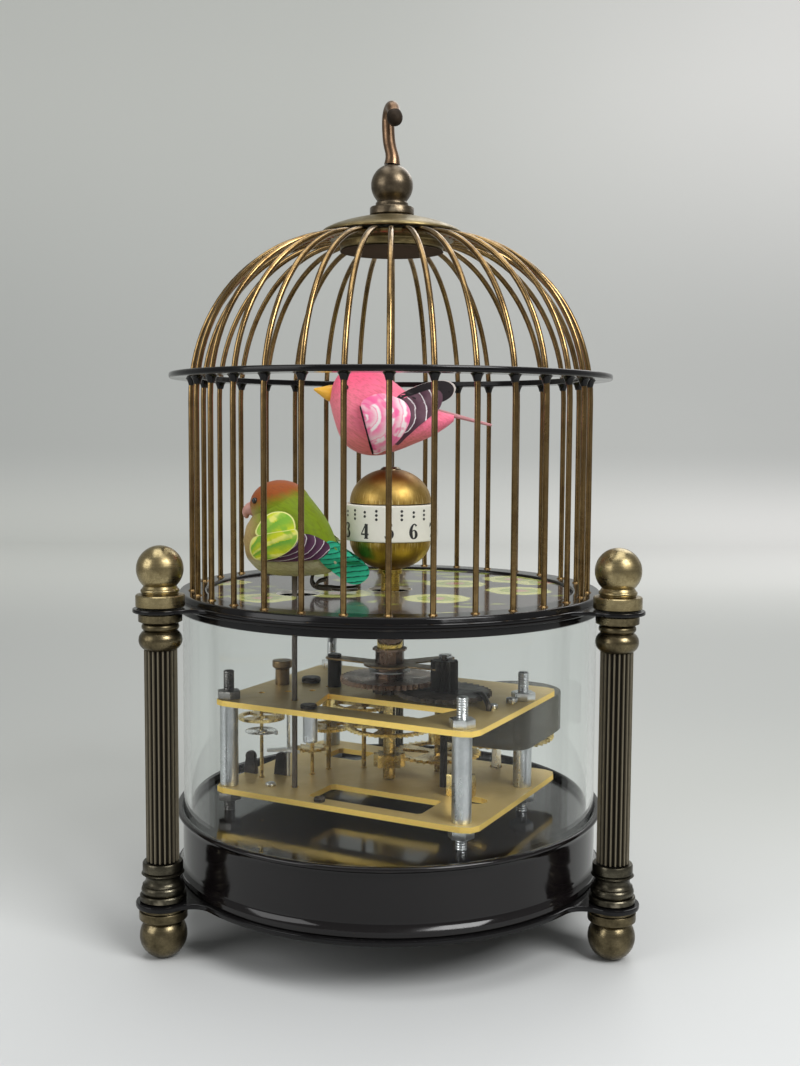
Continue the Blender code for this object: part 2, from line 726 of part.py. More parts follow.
def make_columns(axis):
    """Base, fluted shaft, capital and top ball of each column."""
    collar = TOP_COLLAR_HEIGHT
    neck = collar + TOP_NECK_HEIGHT
    centre = neck + 0.80 * TOP_BALL_RADIUS
    bead = 0.80 * TOP_COLLAR_RADIUS
    stud = -DECK_THICKNESS - 2 * GAP - COLUMN_STUD_REACH
    ball = arc((0, centre), TOP_BALL_RADIUS, math.pi / 2, math.asin((neck - centre) / TOP_BALL_RADIUS), 5)
    ball_profile = [(0, ball[0][1])] + ball[1:] + [
        (bead, collar + 0.67 * TOP_NECK_HEIGHT), (bead, collar + 0.17 * TOP_NECK_HEIGHT),
        (TOP_COLLAR_RADIUS, collar), (TOP_COLLAR_RADIUS, 0), (COLUMN_STUD_RADIUS, 0),
        (COLUMN_STUD_RADIUS, stud), (0, stud),
    ]
    for index, angle in enumerate(column_angles(), 1):
        place = column_place(angle)
        base = turned(f"column_base_{index}", column_base_profile(), "aged_brass")
        attach(base, axis, place, COLUMN_BASE_Z)
        shaft = flat(f"column_shaft_{index}", [fluted_outline()], 0, SHAFT_LENGTH, "aged_brass")
        attach(shaft, axis, place, SHAFT_Z)
        attach(turned(f"column_capital_{index}", capital_profile(), "aged_brass"), axis, place, CAPITAL_Z)
        attach(turned(f"column_ball_{index}", ball_profile, "aged_brass"), axis, place, DECK_TOP + GAP)


def make_drum(axis):
    """The eared base plate and the pressed drum with its floor."""
    arbors = ((MOTION_PLACE, ARBOR_RADIUS), (GREAT_PLACE, WINDING_ARBOR_RADIUS))
    outlines = [eared_outline(BASE_PLATE_RADIUS)] + stud_holes()
    for place, radius in arbors:
        outlines.append(circle(from_movement(place), radius + RUN, ARBOR_SIDES, outside=True))
    plate = flat("base_plate", outlines, 0, BASE_PLATE_THICKNESS, "black_lacquer")
    attach(plate, axis, height=BASE_PLATE_Z)

    floor = DRUM_HEIGHT - FLOOR_DEPTH
    rim = DRUM_HEIGHT - DRUM_RIM_HEIGHT
    wall = DRUM_RADIUS - DRUM_WALL
    flare = DRUM_RADIUS + DRUM_FOOT_FLARE
    drum = turned("base_drum", [
        (0, floor), (GLASS_SEAT, floor), (GLASS_SEAT, DRUM_HEIGHT), (DRUM_RIM_RADIUS, DRUM_HEIGHT),
        (DRUM_RIM_RADIUS, rim), (GLASS_SEAT + DRUM_WALL, rim), (DRUM_RADIUS, floor - FLOOR_THICKNESS),
        (DRUM_RADIUS, DRUM_FOOT_HEIGHT + DRUM_FOOT_BLEND), (flare, DRUM_FOOT_HEIGHT), (flare, 0),
        (wall, 0), (wall, floor - FLOOR_THICKNESS), (0, floor - FLOOR_THICKNESS),
    ], "black_lacquer", RING_SIDES)
    bored = arbors + tuple((place, STUD_RADIUS) for place in PILLAR_PLACES)
    tools = [
        rod("hole", radius + 2 * RUN, floor - 2 * FLOOR_THICKNESS, floor + FLOOR_THICKNESS, "dark_steel",
            from_movement(place))
        for place, radius in bored
    ]
    attach(cut(drum, *tools), axis, height=DRUM_Z)


def make_glass(axis):
    """The glass cylinder and the black ring that holds it under the deck."""
    bottom = FLOOR_TOP + GAP
    height = DECK_Z - GAP - bottom
    attach(turned("glass_cylinder", [
        (GLASS_RADIUS, height), (GLASS_RADIUS, 0), (GLASS_INNER, 0), (GLASS_INNER, height),
    ], "clear_glass", RING_SIDES), axis, height=bottom)
    attach(turned("glass_ring", [
        (GLASS_RING_RADIUS, GLASS_RING_HEIGHT), (GLASS_RING_RADIUS, 0),
        (GLASS_SEAT, 0), (GLASS_SEAT, GLASS_RING_HEIGHT),
    ], "black_lacquer", RING_SIDES), axis, height=DECK_Z - GAP - GLASS_RING_HEIGHT)


def make_deck(axis):
    """The eared deck with its raised ring, and the printed disc inside that ring."""
    centre_hole = circle((0, 0), DECK_CENTRE_HOLE, 16, outside=True)
    bird_hole = circle(GREEN_HOLE_CENTRE, GREEN_HOLE_RADIUS, 16, outside=True)
    deck = flat("deck_plate", [eared_outline(DECK_RADIUS)] + stud_holes() + [centre_hole, bird_hole],
                0, DECK_THICKNESS, "black_lacquer")
    ring_outer = BAR_CIRCLE + DECK_RING_OUTWARD
    ring_inner = BAR_CIRCLE - DECK_RING_INWARD
    sunk = DECK_THICKNESS / 2
    ring_top = DECK_THICKNESS + DECK_RING_HEIGHT
    ring = turned("raised_ring", [
        (ring_outer - DECK_RING_SLOPE, ring_top), (ring_outer, sunk), (ring_inner, sunk),
        (ring_inner + DECK_RING_SLOPE, ring_top),
    ], "black_lacquer", RING_SIDES)
    attach(join(deck, ring), axis, height=DECK_Z)
    disc_radius = (ring_inner - GAP) * math.cos(math.pi / RING_SIDES)
    outlines = [circle((0, 0), disc_radius, RING_SIDES), centre_hole, bird_hole]
    disc = flat("deck_disc", outlines, 0, DECK_DISC_THICKNESS, "floral_print")
    attach(disc, axis, height=DECK_TOP + GAP)


def bar_points():
    """One bar's middle line, straight up and then over a quarter ellipse."""
    points = [(BAR_CIRCLE, 0, BAR_FOOT_Z)]
    for step in range(DOME_STEPS + 1):
        turn = math.pi / 2 * step / DOME_STEPS
        radius = DOME_FLAT_RADIUS + (BAR_CIRCLE - DOME_FLAT_RADIUS) * math.cos(turn)
        points.append((radius, 0, DOME_Z + DOME_RISE * math.sin(turn)))
    return points


def bar_radius_at(height):
    """How far from the axis a bar's middle line is at a height."""
    points = bar_points()
    for (low_radius, _, low), (high_radius, _, high) in zip(points, points[1:]):
        if low <= height <= high:
            return low_radius + (high_radius - low_radius) * (height - low) / (high - low)
    return DOME_FLAT_RADIUS


def bar_angles():
    """The angles of the bars, with one at the front centre."""
    return [-math.pi / 2 + math.tau * index / BAR_COUNT for index in range(BAR_COUNT)]


def make_cage(axis):
    """The bars, fused at the top with the dish that they are soldered into."""
    single = wire("bar", bar_points(), BAR_RADIUS, "aged_brass")
    work = bmesh.new()
    for angle in bar_angles():
        copy = single.data.copy()
        copy.transform(Matrix.Rotation(angle, 4, "Z"))
        work.from_mesh(copy)
        bpy.data.meshes.remove(copy)
    mesh = bpy.data.meshes.new("bars")
    work.to_mesh(mesh)
    work.free()
    bpy.data.objects.remove(single, do_unlink=True)
    bars = link("bars", mesh, "aged_brass")
    socket = FINIAL_STUD_RADIUS + GAP
    top = CROWN_Z + BAR_RADIUS / 2
    bottom = CROWN_Z - DISH_DEPTH
    dish = turned("cage_wires", [
        (socket, top), (DISH_RADIUS, top), (DISH_RADIUS, CROWN_Z - BAR_RADIUS / 2),
        (DISH_FOOT_RADIUS, bottom), (DISH_FOOT_RADIUS - DISH_FOOT_WIDTH, bottom), (socket, bottom),
    ], "aged_brass", GLOBE_SIDES)
    attach(join(dish, bars), axis)


def make_mid_ring(axis):
    """The black ring halfway up, with a hole for each bar."""
    middle = BAR_FOOT_Z + MID_RING_LIFT + MID_RING_THICKNESS / 2
    reach = bar_radius_at(middle)
    outlines = [
        circle((0, 0), MID_RING_OUTER, RING_SIDES),
        circle((0, 0), reach - MID_RING_LIP, BAR_COUNT, outside=True),
    ]
    for angle in bar_angles():
        place = (reach * math.cos(angle), reach * math.sin(angle))
        outlines.append(circle(place, BAR_RADIUS + 1.5 * GAP, 4, outside=True, start=angle + math.pi / 4))
    ring = flat("mid_ring", outlines, 0, MID_RING_THICKNESS, "black_lacquer")
    attach(ring, axis, height=BAR_FOOT_Z + MID_RING_LIFT)


def make_crown(axis):
    """The crown cap, the finial and the copper hook."""
    bore = FINIAL_STUD_RADIUS + GAP
    cap = turned("crown_cap", [
        (bore, CAP_HEIGHT), (FINIAL_COLLAR_RADIUS + CAP_SEAT_BRIM, CAP_HEIGHT),
        (0.62 * CAP_RADIUS, 0.72 * CAP_HEIGHT), (0.96 * CAP_RADIUS, 2 * CAP_RIM), (CAP_RADIUS, CAP_RIM),
        (CAP_RADIUS, 0), (bore, 0),
    ], "aged_brass", 20)
    attach(cap, axis, height=CAP_Z)

    collar = FINIAL_COLLAR_HEIGHT
    neck = collar + FINIAL_NECK_HEIGHT
    centre = FINIAL_BALL_Z - FINIAL_Z
    stud = -CAP_HEIGHT - 2 * GAP - DISH_DEPTH
    spigot = HOOK_SPIGOT_RADIUS + GAP
    floor = centre + FINIAL_BALL_RADIUS - HOOK_SPIGOT_LENGTH - GAP
    start = math.acos(spigot / FINIAL_BALL_RADIUS)
    end = math.asin((neck - centre) / FINIAL_BALL_RADIUS)
    profile = [(0, floor), (spigot, floor)] + arc((0, centre), FINIAL_BALL_RADIUS, start, end, 5)
    profile += [
        (FINIAL_NECK_RADIUS, collar + 0.12 * FINIAL_NECK_HEIGHT), (FINIAL_COLLAR_RADIUS, collar),
        (FINIAL_COLLAR_RADIUS, 0), (FINIAL_STUD_RADIUS, 0), (FINIAL_STUD_RADIUS, stud), (0, stud),
    ]
    attach(turned("finial", profile, "aged_brass", 10), axis, height=FINIAL_Z)
    attach(make_hook(), axis, height=HOOK_Z)


def make_hook():
    """The hook's rod, which leans, bends over towards the front and ends in a short drop."""
    out = Vector((math.sin(HOOK_YAW), -math.cos(HOOK_YAW), 0))
    lean = Vector((-HOOK_LEAN, 0, 0))
    points = [Vector((0, 0, 0)), Vector((0, 0, HOOK_FOOT_HEIGHT)), Vector((0, 0, HOOK_STEM / 2))]
    points[-1] += 0.7 * lean
    centre = Vector((0, 0, HOOK_STEM)) + lean + out * HOOK_BEND_RADIUS
    for step in range(9):
        turn = math.pi * step / 8
        side = -HOOK_BEND_RADIUS * math.cos(turn)
        points.append(centre + out * side + Vector((0, 0, HOOK_BEND_RADIUS * math.sin(turn))))
    points.append(points[-1] - Vector((0, 0, HOOK_DROP)))
    scales = [HOOK_FOOT_RADIUS / HOOK_ROD_RADIUS] + [1.0] * (len(points) - 2) + [1.1]
    hook = wire("hook", points, HOOK_ROD_RADIUS, "copper", 1, scales)
    spigot = rod("spigot", HOOK_SPIGOT_RADIUS, -HOOK_SPIGOT_LENGTH, HOOK_FOOT_HEIGHT / 2, "copper")
    return join(hook, spigot)


def train_arbors():
    """The places of the arbors that turn in both movement plates."""
    return (SECOND_PLACE, THIRD_PLACE, FOURTH_PLACE, ESCAPE_PLACE, PALLET_PLACE, BALANCE_PLACE)


def plate_holes(centre_radius):
    """The holes that both movement plates have."""
    holes = [circle(place, STUD_RADIUS + GAP, ARBOR_SIDES, outside=True) for place in PILLAR_PLACES]
    holes += [circle(place, PIVOT_RADIUS + RUN, 6, outside=True) for place in train_arbors()]
    holes.append(circle((0, 0), centre_radius + RUN, ARBOR_SIDES, outside=True))
    holes.append(circle(MOTION_PLACE, ARBOR_RADIUS + RUN, ARBOR_SIDES, outside=True))
    green = in_movement(GREEN_SPINDLE_PLACE)
    holes.append(circle(green, SPINDLE_RADIUS + RUN, ARBOR_SIDES, outside=True))
    return holes


def make_plates(movement):
    """The two brass plates with their windows."""
    corners = (PLATE_CORNER,) * 4
    outline = round_box(-PLATE_HALF_LENGTH, PLATE_HALF_LENGTH, -PLATE_HALF_WIDTH, PLATE_HALF_WIDTH, corners)
    front = TOP_WINDOW_MARGIN - PLATE_HALF_WIDTH
    back = front + TOP_WINDOW_DEPTH
    window = [(u, front) for u in TOP_WINDOW_FRONT_ENDS]
    window += [(u, back) for u in reversed(TOP_WINDOW_BACK_ENDS)]
    outlines = [outline, window] + plate_holes(PIPE_RADIUS)
    top = flat("top_plate", outlines, 0, PLATE_THICKNESS, "plate_brass")
    attach(top, movement, height=TOP_PLATE_Z)

    holes = plate_holes(SPINDLE_RADIUS)
    holes.append(circle(GREAT_PLACE, WINDING_ARBOR_RADIUS + RUN, ARBOR_SIDES, outside=True))
    small_corners = (WINDOW_CORNER,) * 4
    front = FRONT_WINDOW_MARGIN - PLATE_HALF_WIDTH
    holes.append(round_box(*FRONT_WINDOW_ENDS, front, front + FRONT_WINDOW_DEPTH, small_corners, 1))
    back = PLATE_HALF_WIDTH - REAR_WINDOW_MARGIN
    holes.append(round_box(*REAR_WINDOW_ENDS, back - REAR_WINDOW_DEPTH, back, small_corners, 1))
    left, right = SLOT_CENTRE[0] - SLOT_LENGTH / 2, SLOT_CENTRE[0] + SLOT_LENGTH / 2
    front, back = SLOT_CENTRE[1] - SLOT_WIDTH / 2, SLOT_CENTRE[1] + SLOT_WIDTH / 2
    holes.append(round_box(left, right, front, back, (SLOT_WIDTH / 2,) * 4))
    bottom = flat("bottom_plate", [outline] + holes, 0, PLATE_THICKNESS, "plate_brass")
    attach(bottom, movement, height=BOTTOM_PLATE_Z)


def make_pillars(movement):
    """The pillars between the plates, each with its stud and its two nuts."""
    bottom = FLOOR_TOP - FLOOR_THICKNESS
    for index, place in enumerate(PILLAR_PLACES, 1):
        pillar = turned(f"pillar_{index}", [
            (0, MOTION_Z + STUD_HEAD), (STUD_RADIUS, MOTION_Z + STUD_HEAD),
            (STUD_RADIUS, TOP_PLATE_Z - GAP), (PILLAR_RADIUS, TOP_PLATE_Z - GAP),
            (PILLAR_RADIUS, TRAIN_Z + GAP), (STUD_RADIUS, TRAIN_Z + GAP),
            (STUD_RADIUS, bottom), (0, bottom),
        ], "bright_steel", ARBOR_SIDES)
        nuts = []
        for height in (MOTION_Z + GAP, BOTTOM_PLATE_Z - GAP - NUT_HEIGHT):
            nuts.append(flat("nut", [circle((0, 0), NUT_WIDTH / 2, 6, outside=True)], height, NUT_HEIGHT,
                             "bright_steel"))
        attach(join(pillar, *nuts), movement, place)


def make_housing(movement):
    """The smoked housing of the mainspring, round the back right pillar."""
    module = mesh_module((0, 0), THIRD_PLACE, CENTRE_TEETH, THIRD_PINION_TEETH)
    left = (CENTRE_TEETH / 2 + TOOTH_ABOVE) * module + HOUSING_CLEARANCE
    right = PLATE_HALF_LENGTH - GAP
    round_end = (right - left) / 2
    reach = GLASS_INNER - HOUSING_GLASS_CLEARANCE - round_end
    back = math.sqrt(reach ** 2 - (left + round_end) ** 2) + round_end
    radii = (HOUSING_CORNER, HOUSING_CORNER, round_end, round_end)
    outline = round_box(left, right, HOUSING_FRONT, back, radii, 6)
    pillar = circle(PILLAR_PLACES[2], PILLAR_RADIUS + GAP, 12, outside=True)
    height = PLATE_SPACING - HOUSING_LIFT - GAP
    housing = flat("spring_housing", [outline, pillar], 0, height, "smoked_plastic")
    bore = rod("bore", WINDING_ARBOR_RADIUS + 2 * RUN, -GAP, WINDING_REACH + RUN, "dark_steel", GREAT_PLACE)
    attach(cut(housing, bore), movement, height=TRAIN_Z + HOUSING_LIFT)


def train_member(name, wheel, pinion, arbor_radius, material="plate_brass"):
    """A wheel and its pinion on one arbor, each a tuple of outlines, height and thickness."""
    bottom, top = -PLATE_THICKNESS + GAP, PLATE_SPACING + PLATE_THICKNESS - GAP
    member = flat("wheel", *wheel, material)
    leaves = flat("leaves", *pinion, material)
    arbor = turned(name, [
        (0, top), (PIVOT_RADIUS, top), (PIVOT_RADIUS, PLATE_SPACING - 2 * GAP),
        (arbor_radius, PLATE_SPACING - 2 * GAP), (arbor_radius, 2 * GAP),
        (PIVOT_RADIUS, 2 * GAP), (PIVOT_RADIUS, bottom), (0, bottom),
    ], material, ARBOR_SIDES)
    return join(arbor, member, leaves)


def make_train(movement):
    """The going train from the great wheel to the escape wheel."""
    great_module = mesh_module(GREAT_PLACE, SECOND_PLACE, GREAT_TEETH, SECOND_PINION_TEETH)
    second_module = mesh_module(SECOND_PLACE, (0, 0), SECOND_TEETH, CENTRE_PINION_TEETH)
    centre_module = mesh_module((0, 0), THIRD_PLACE, CENTRE_TEETH, THIRD_PINION_TEETH)
    third_module = mesh_module(THIRD_PLACE, FOURTH_PLACE, THIRD_TEETH, FOURTH_PINION_TEETH)
    fourth_module = mesh_module(FOURTH_PLACE, ESCAPE_PLACE, FOURTH_TEETH, ESCAPE_PINION_TEETH)

    bore = circle((0, 0), WINDING_ARBOR_RADIUS + RUN, ARBOR_SIDES, outside=True)
    outlines = [gear_outline(GREAT_TEETH, great_module, direction(GREAT_PLACE, SECOND_PLACE)), bore]
    arms = crossings(GREAT_HUB_RADIUS, inside_rim(GREAT_TEETH, great_module), 4)
    great = flat("great_wheel", outlines + arms, 0, GREAT_THICKNESS, "plate_brass")
    attach(great, movement, GREAT_PLACE, TRAIN_Z + GREAT_LIFT)

    members = (
        ("second_wheel", SECOND_PLACE, SECOND_TEETH, second_module, (0, 0), SECOND_LIFT, GREAT_PLACE,
         SECOND_PINION_TEETH, great_module, SECOND_PINION_LIFT, SECOND_PINION_LENGTH, SECOND_ARBOR_RADIUS),
        ("third_wheel", THIRD_PLACE, THIRD_TEETH, third_module, FOURTH_PLACE, THIRD_LIFT, (0, 0),
         THIRD_PINION_TEETH, centre_module, THIRD_PINION_LIFT, THIRD_PINION_LENGTH, FINE_ARBOR_RADIUS),
        ("fourth_wheel", FOURTH_PLACE, FOURTH_TEETH, fourth_module, ESCAPE_PLACE, FOURTH_LIFT, THIRD_PLACE,
         FOURTH_PINION_TEETH, third_module, FOURTH_PINION_LIFT, FOURTH_PINION_LENGTH, FINE_ARBOR_RADIUS),
    )
    for name, place, teeth, module, onward, lift, driver, leaves, leaf_module, *leaf_span, arbor in members:
        outlines = [gear_outline(teeth, module, direction(place, onward))]
        arms = crossings(3 * arbor, inside_rim(teeth, module), 4)
        wheel = (outlines + arms, lift, WHEEL_THICKNESS)
        phase = direction(place, driver) + math.pi / leaves
        pinion = ([gear_outline(leaves, leaf_module, phase)], *leaf_span)
        attach(train_member(name, wheel, pinion, arbor), movement, place, TRAIN_Z)

    make_centre_wheel(movement, centre_module, second_module)
    make_escapement(movement, fourth_module)


def inside_rim(teeth, module):
    """The radius inside a wheel's rim, two and a half modules within the pitch line."""
    return (teeth / 2 - 2.6) * module


def make_centre_wheel(movement, module, pinion_module):
    """The centre wheel on its pipe, through which the pink bird's spindle passes."""
    middle = (BORE_RADIUS + PIPE_RADIUS) / 2
    ring = circle((0, 0), middle, ARBOR_SIDES)
    outlines = [gear_outline(CENTRE_TEETH, module, direction((0, 0), THIRD_PLACE)), ring]
    arms = crossings(CENTRE_HUB_RADIUS, inside_rim(CENTRE_TEETH, module), 4, 0.3)
    wheel = flat("wheel", outlines + arms, CENTRE_LIFT, WHEEL_THICKNESS, "plate_brass")
    phase = direction((0, 0), SECOND_PLACE) + math.pi / CENTRE_PINION_TEETH
    leaves = flat("leaves", [gear_outline(CENTRE_PINION_TEETH, pinion_module, phase), ring],
                  CENTRE_PINION_LIFT, CENTRE_PINION_LENGTH, "plate_brass")
    top = PLATE_SPACING + PLATE_THICKNESS + PIPE_REACH
    pipe = turned("centre_wheel", [
        (PIPE_RADIUS, top), (PIPE_RADIUS, GAP), (BORE_RADIUS, GAP), (BORE_RADIUS, top),
    ], "plate_brass", 12)
    attach(join(pipe, wheel, leaves), movement, height=TRAIN_Z)


def make_escapement(movement, module):
    """The escape wheel, the pallet lever, the balance and its hairspring."""
    points = []
    for tooth in range(ESCAPE_TEETH):
        for share, reach in ((0.0, 1.0), (0.25, 0.74), (0.75, 0.70)):
            angle = (tooth + share) * math.tau / ESCAPE_TEETH
            radius = reach * ESCAPE_RADIUS
            points.append((radius * math.cos(angle), radius * math.sin(angle)))
    phase = direction(ESCAPE_PLACE, FOURTH_PLACE) + math.pi / ESCAPE_PINION_TEETH
    leaves = [gear_outline(ESCAPE_PINION_TEETH, module, phase)]
    pinion = (leaves, ESCAPE_PINION_LIFT, ESCAPE_PINION_LENGTH)
    wheel = ([points], ESCAPE_LIFT, WHEEL_THICKNESS)
    escape = train_member("escape_wheel", wheel, pinion, ESCAPE_ARBOR_RADIUS)
    attach(escape, movement, ESCAPE_PLACE, TRAIN_Z)

    to_escape = distance(PALLET_PLACE, ESCAPE_PLACE)
    reach = ESCAPE_RADIUS + PALLET_REACH
    arm = (to_escape - reach * math.cos(math.radians(40)), reach * math.sin(math.radians(40)))
    tail = distance(PALLET_PLACE, BALANCE_PLACE) - 2 * PALLET_HALF_WIDTH
    width = PALLET_HALF_WIDTH
    half = [
        (-tail, 0.75 * width), (-1.5 * width, width), (-0.5 * width, 1.75 * width),
        (arm[0] - 0.75 * width, arm[1] + 0.25 * width), (arm[0] + 0.5 * width, arm[1]),
        (width, 0.75 * width),
    ]
    lever_outline = half + [(x, -y) for x, y in reversed(half)]
    lever = flat("lever", [list(reversed(lever_outline))], ESCAPE_LIFT, WHEEL_THICKNESS, "bright_steel")
    lever.data.transform(Matrix.Rotation(direction(PALLET_PLACE, ESCAPE_PLACE), 4, "Z"))
    staff_bottom, staff_top = -PLATE_THICKNESS + GAP, PLATE_SPACING + PLATE_THICKNESS - GAP
    staff = rod("pallet_lever", PIVOT_RADIUS, staff_bottom, staff_top, "bright_steel")
    attach(join(staff, lever), movement, PALLET_PLACE, TRAIN_Z)

    spokes = crossings(BALANCE_HUB_RADIUS, BALANCE_RADIUS - BALANCE_RIM, 3, 0.4, 5)
    wheel = flat("wheel", [circle((0, 0), BALANCE_RADIUS, 28)] + spokes, BALANCE_LIFT, WHEEL_THICKNESS,
                 "plate_brass")
    staff = rod("balance_wheel", PIVOT_RADIUS, staff_bottom, staff_top, "plate_brass")
    attach(join(staff, wheel), movement, BALANCE_PLACE, TRAIN_Z)
    attach(make_hairspring(), movement, BALANCE_PLACE, TRAIN_Z + HAIRSPRING_LIFT)


def make_hairspring():
    """The flat spiral spring, one unbroken wire about the balance staff."""
    steps = 10 * HAIRSPRING_TURNS
    points = []
    for step in range(steps + 1):
        turn = math.tau * step / 10
        radius = HAIRSPRING_INNER + HAIRSPRING_PITCH * step / 10
        points.append((radius * math.cos(turn), radius * math.sin(turn), 0))
    chord = HAIRSPRING_PITCH * math.cos(math.pi / 10)
    print("hairspring least gap to itself, mm:", round((chord - 2 * HAIRSPRING_WIRE) * 1000, 3))
    return wire("hairspring", points, HAIRSPRING_WIRE, "bright_steel")


def make_motion_work(movement):
    """Cannon pinion, motion wheel with the setting arbor, hour wheel and bridge."""
    motion_module = mesh_module((0, 0), MOTION_PLACE, CANNON_TEETH, MOTION_TEETH)
    hour_module = mesh_module((0, 0), MOTION_PLACE, HOUR_TEETH, MOTION_PINION_TEETH)
    outward = direction((0, 0), MOTION_PLACE)
    pipe_bore = circle((0, 0), PIPE_RADIUS + RUN, 12, outside=True)
    cannon = flat("cannon_pinion", [gear_outline(CANNON_TEETH, motion_module, outward), pipe_bore],
                  0, CANNON_HEIGHT, "dark_steel")
    attach(cannon, movement, height=MOTION_Z + CANNON_LIFT)

    knob_bottom = BASE_PLATE_Z - UNDERSIDE_CLEARANCE - KNOB_HEIGHT
    top = BRIDGE_TOP - MOTION_Z
    pivot = top - BRIDGE_THICKNESS - RUN
    low_end = knob_bottom + KNOB_HEIGHT / 2 - MOTION_Z
    arbor = turned("motion_wheel", [
        (0, top), (MOTION_PIVOT_RADIUS, top), (MOTION_PIVOT_RADIUS, pivot), (ARBOR_RADIUS, pivot),
        (ARBOR_RADIUS, low_end), (0, low_end),
    ], "dark_steel", ARBOR_SIDES)
    back = outward + math.pi
    wheel = flat("wheel", [gear_outline(MOTION_TEETH, motion_module, back + math.pi / MOTION_TEETH)],
                 MOTION_LIFT, MOTION_THICKNESS, "dark_steel")
    tall = gear_outline(MOTION_PINION_TEETH, hour_module, back + math.pi / MOTION_PINION_TEETH)
    foot = MOTION_LIFT + 0.8 * MOTION_THICKNESS
    leaves = flat("leaves", [tall], foot, pivot - GAP - foot, "dark_steel")
    attach(join(arbor, wheel, leaves), movement, MOTION_PLACE, MOTION_Z)

    knob = setting_knob(ARBOR_RADIUS + GAP, KNOB_HEIGHT / 2 - GAP)
    attach(knob, movement, MOTION_PLACE, knob_bottom)

    make_hour_wheel(movement, hour_module, outward)
    make_bridge(movement)


def setting_knob(bore, seat):
    """The knurled knob at the foot of the setting arbor."""
    points = []
    for notch in range(KNOB_NOTCHES):
        for share, radius in ((0.0, KNOB_RADIUS), (0.5, KNOB_RADIUS - KNOB_NOTCH_DEPTH)):
            turn = math.tau * (notch + share) / KNOB_NOTCHES
            points.append((radius * math.cos(turn), radius * math.sin(turn)))
    knob = flat("setting_knob", [points], 0, KNOB_HEIGHT, "gold_brass")
    return cut(knob, rod("bore", bore, seat, KNOB_HEIGHT + GAP, "gold_brass"))


def make_hour_wheel(movement, module, outward):
    """The hour wheel with its hub, the washer over the bridge and the bushing of the dial tube."""
    hub_top = BRIDGE_TOP + RUN - MOTION_Z
    washer_top = hub_top + WASHER_HEIGHT
    bushing_top = washer_top + BUSHING_HEIGHT
    socket = bushing_top - SOCKET_DEPTH
    socket_radius = DIAL_TUBE_RADIUS + GAP
    hub = turned("hour_wheel", [
        (socket_radius, bushing_top), (BUSHING_RADIUS, bushing_top), (BUSHING_RADIUS, washer_top),
        (WASHER_RADIUS, washer_top), (WASHER_RADIUS, hub_top), (HUB_RADIUS, hub_top),
        (HUB_RADIUS, HOUR_LIFT), (BORE_RADIUS, HOUR_LIFT), (BORE_RADIUS, socket), (socket_radius, socket),
    ], "dark_steel", 10)
    ring = circle((0, 0), (BORE_RADIUS + HUB_RADIUS) / 2, ARBOR_SIDES)
    outlines = [gear_outline(HOUR_TEETH, module, outward), ring]
    wheel = flat("wheel", outlines, HOUR_LIFT + MERGE, HOUR_THICKNESS, "dark_steel")
    attach(join(hub, wheel), movement, height=MOTION_Z)


def make_bridge(movement):
    """The three-armed bridge over the hour wheel, with its two posts."""
    arms = BRIDGE_POSTS + (MOTION_PLACE,)
    arms = sorted(arms, key=lambda place: math.atan2(place[1], place[0]))
    hub = BRIDGE_HUB_RADIUS
    half = BRIDGE_ARM_WIDTH / 2
    spread = math.asin(half / hub)
    points = []
    for index, place in enumerate(arms):
        angle = math.atan2(place[1], place[0])
        points.append((hub * math.cos(angle - spread), hub * math.sin(angle - spread)))
        points += arc(place, half, angle - math.pi / 2, angle + math.pi / 2, 4)
        points.append((hub * math.cos(angle + spread), hub * math.sin(angle + spread)))
        following = arms[(index + 1) % len(arms)]
        end = math.atan2(following[1], following[0]) - spread
        start = angle + spread
        if end < start:
            end += math.tau
        points += arc((0, 0), hub, start, end, 3)[1:-1]
    holes = [
        circle((0, 0), HUB_RADIUS + RUN, 16, outside=True),
        circle(MOTION_PLACE, MOTION_PIVOT_RADIUS + RUN, ARBOR_SIDES, outside=True),
    ]
    bridge = flat("bridge", [points] + holes, BRIDGE_LIFT, BRIDGE_THICKNESS, "dark_steel")
    posts = [
        rod("post", BRIDGE_POST_RADIUS, GAP, BRIDGE_LIFT + BRIDGE_THICKNESS / 2, "dark_steel", place, 8)
        for place in BRIDGE_POSTS
    ]
    attach(join(bridge, *posts), movement, height=MOTION_Z)


def quarter(centre_z, radius, height, start, end, steps):
    """Points along an ellipse of a globe half, from one angle to another."""
    return [
        (radius * math.cos(angle), centre_z + height * math.sin(angle))
        for angle in (start + (end - start) * step / steps for step in range(steps + 1))
    ]


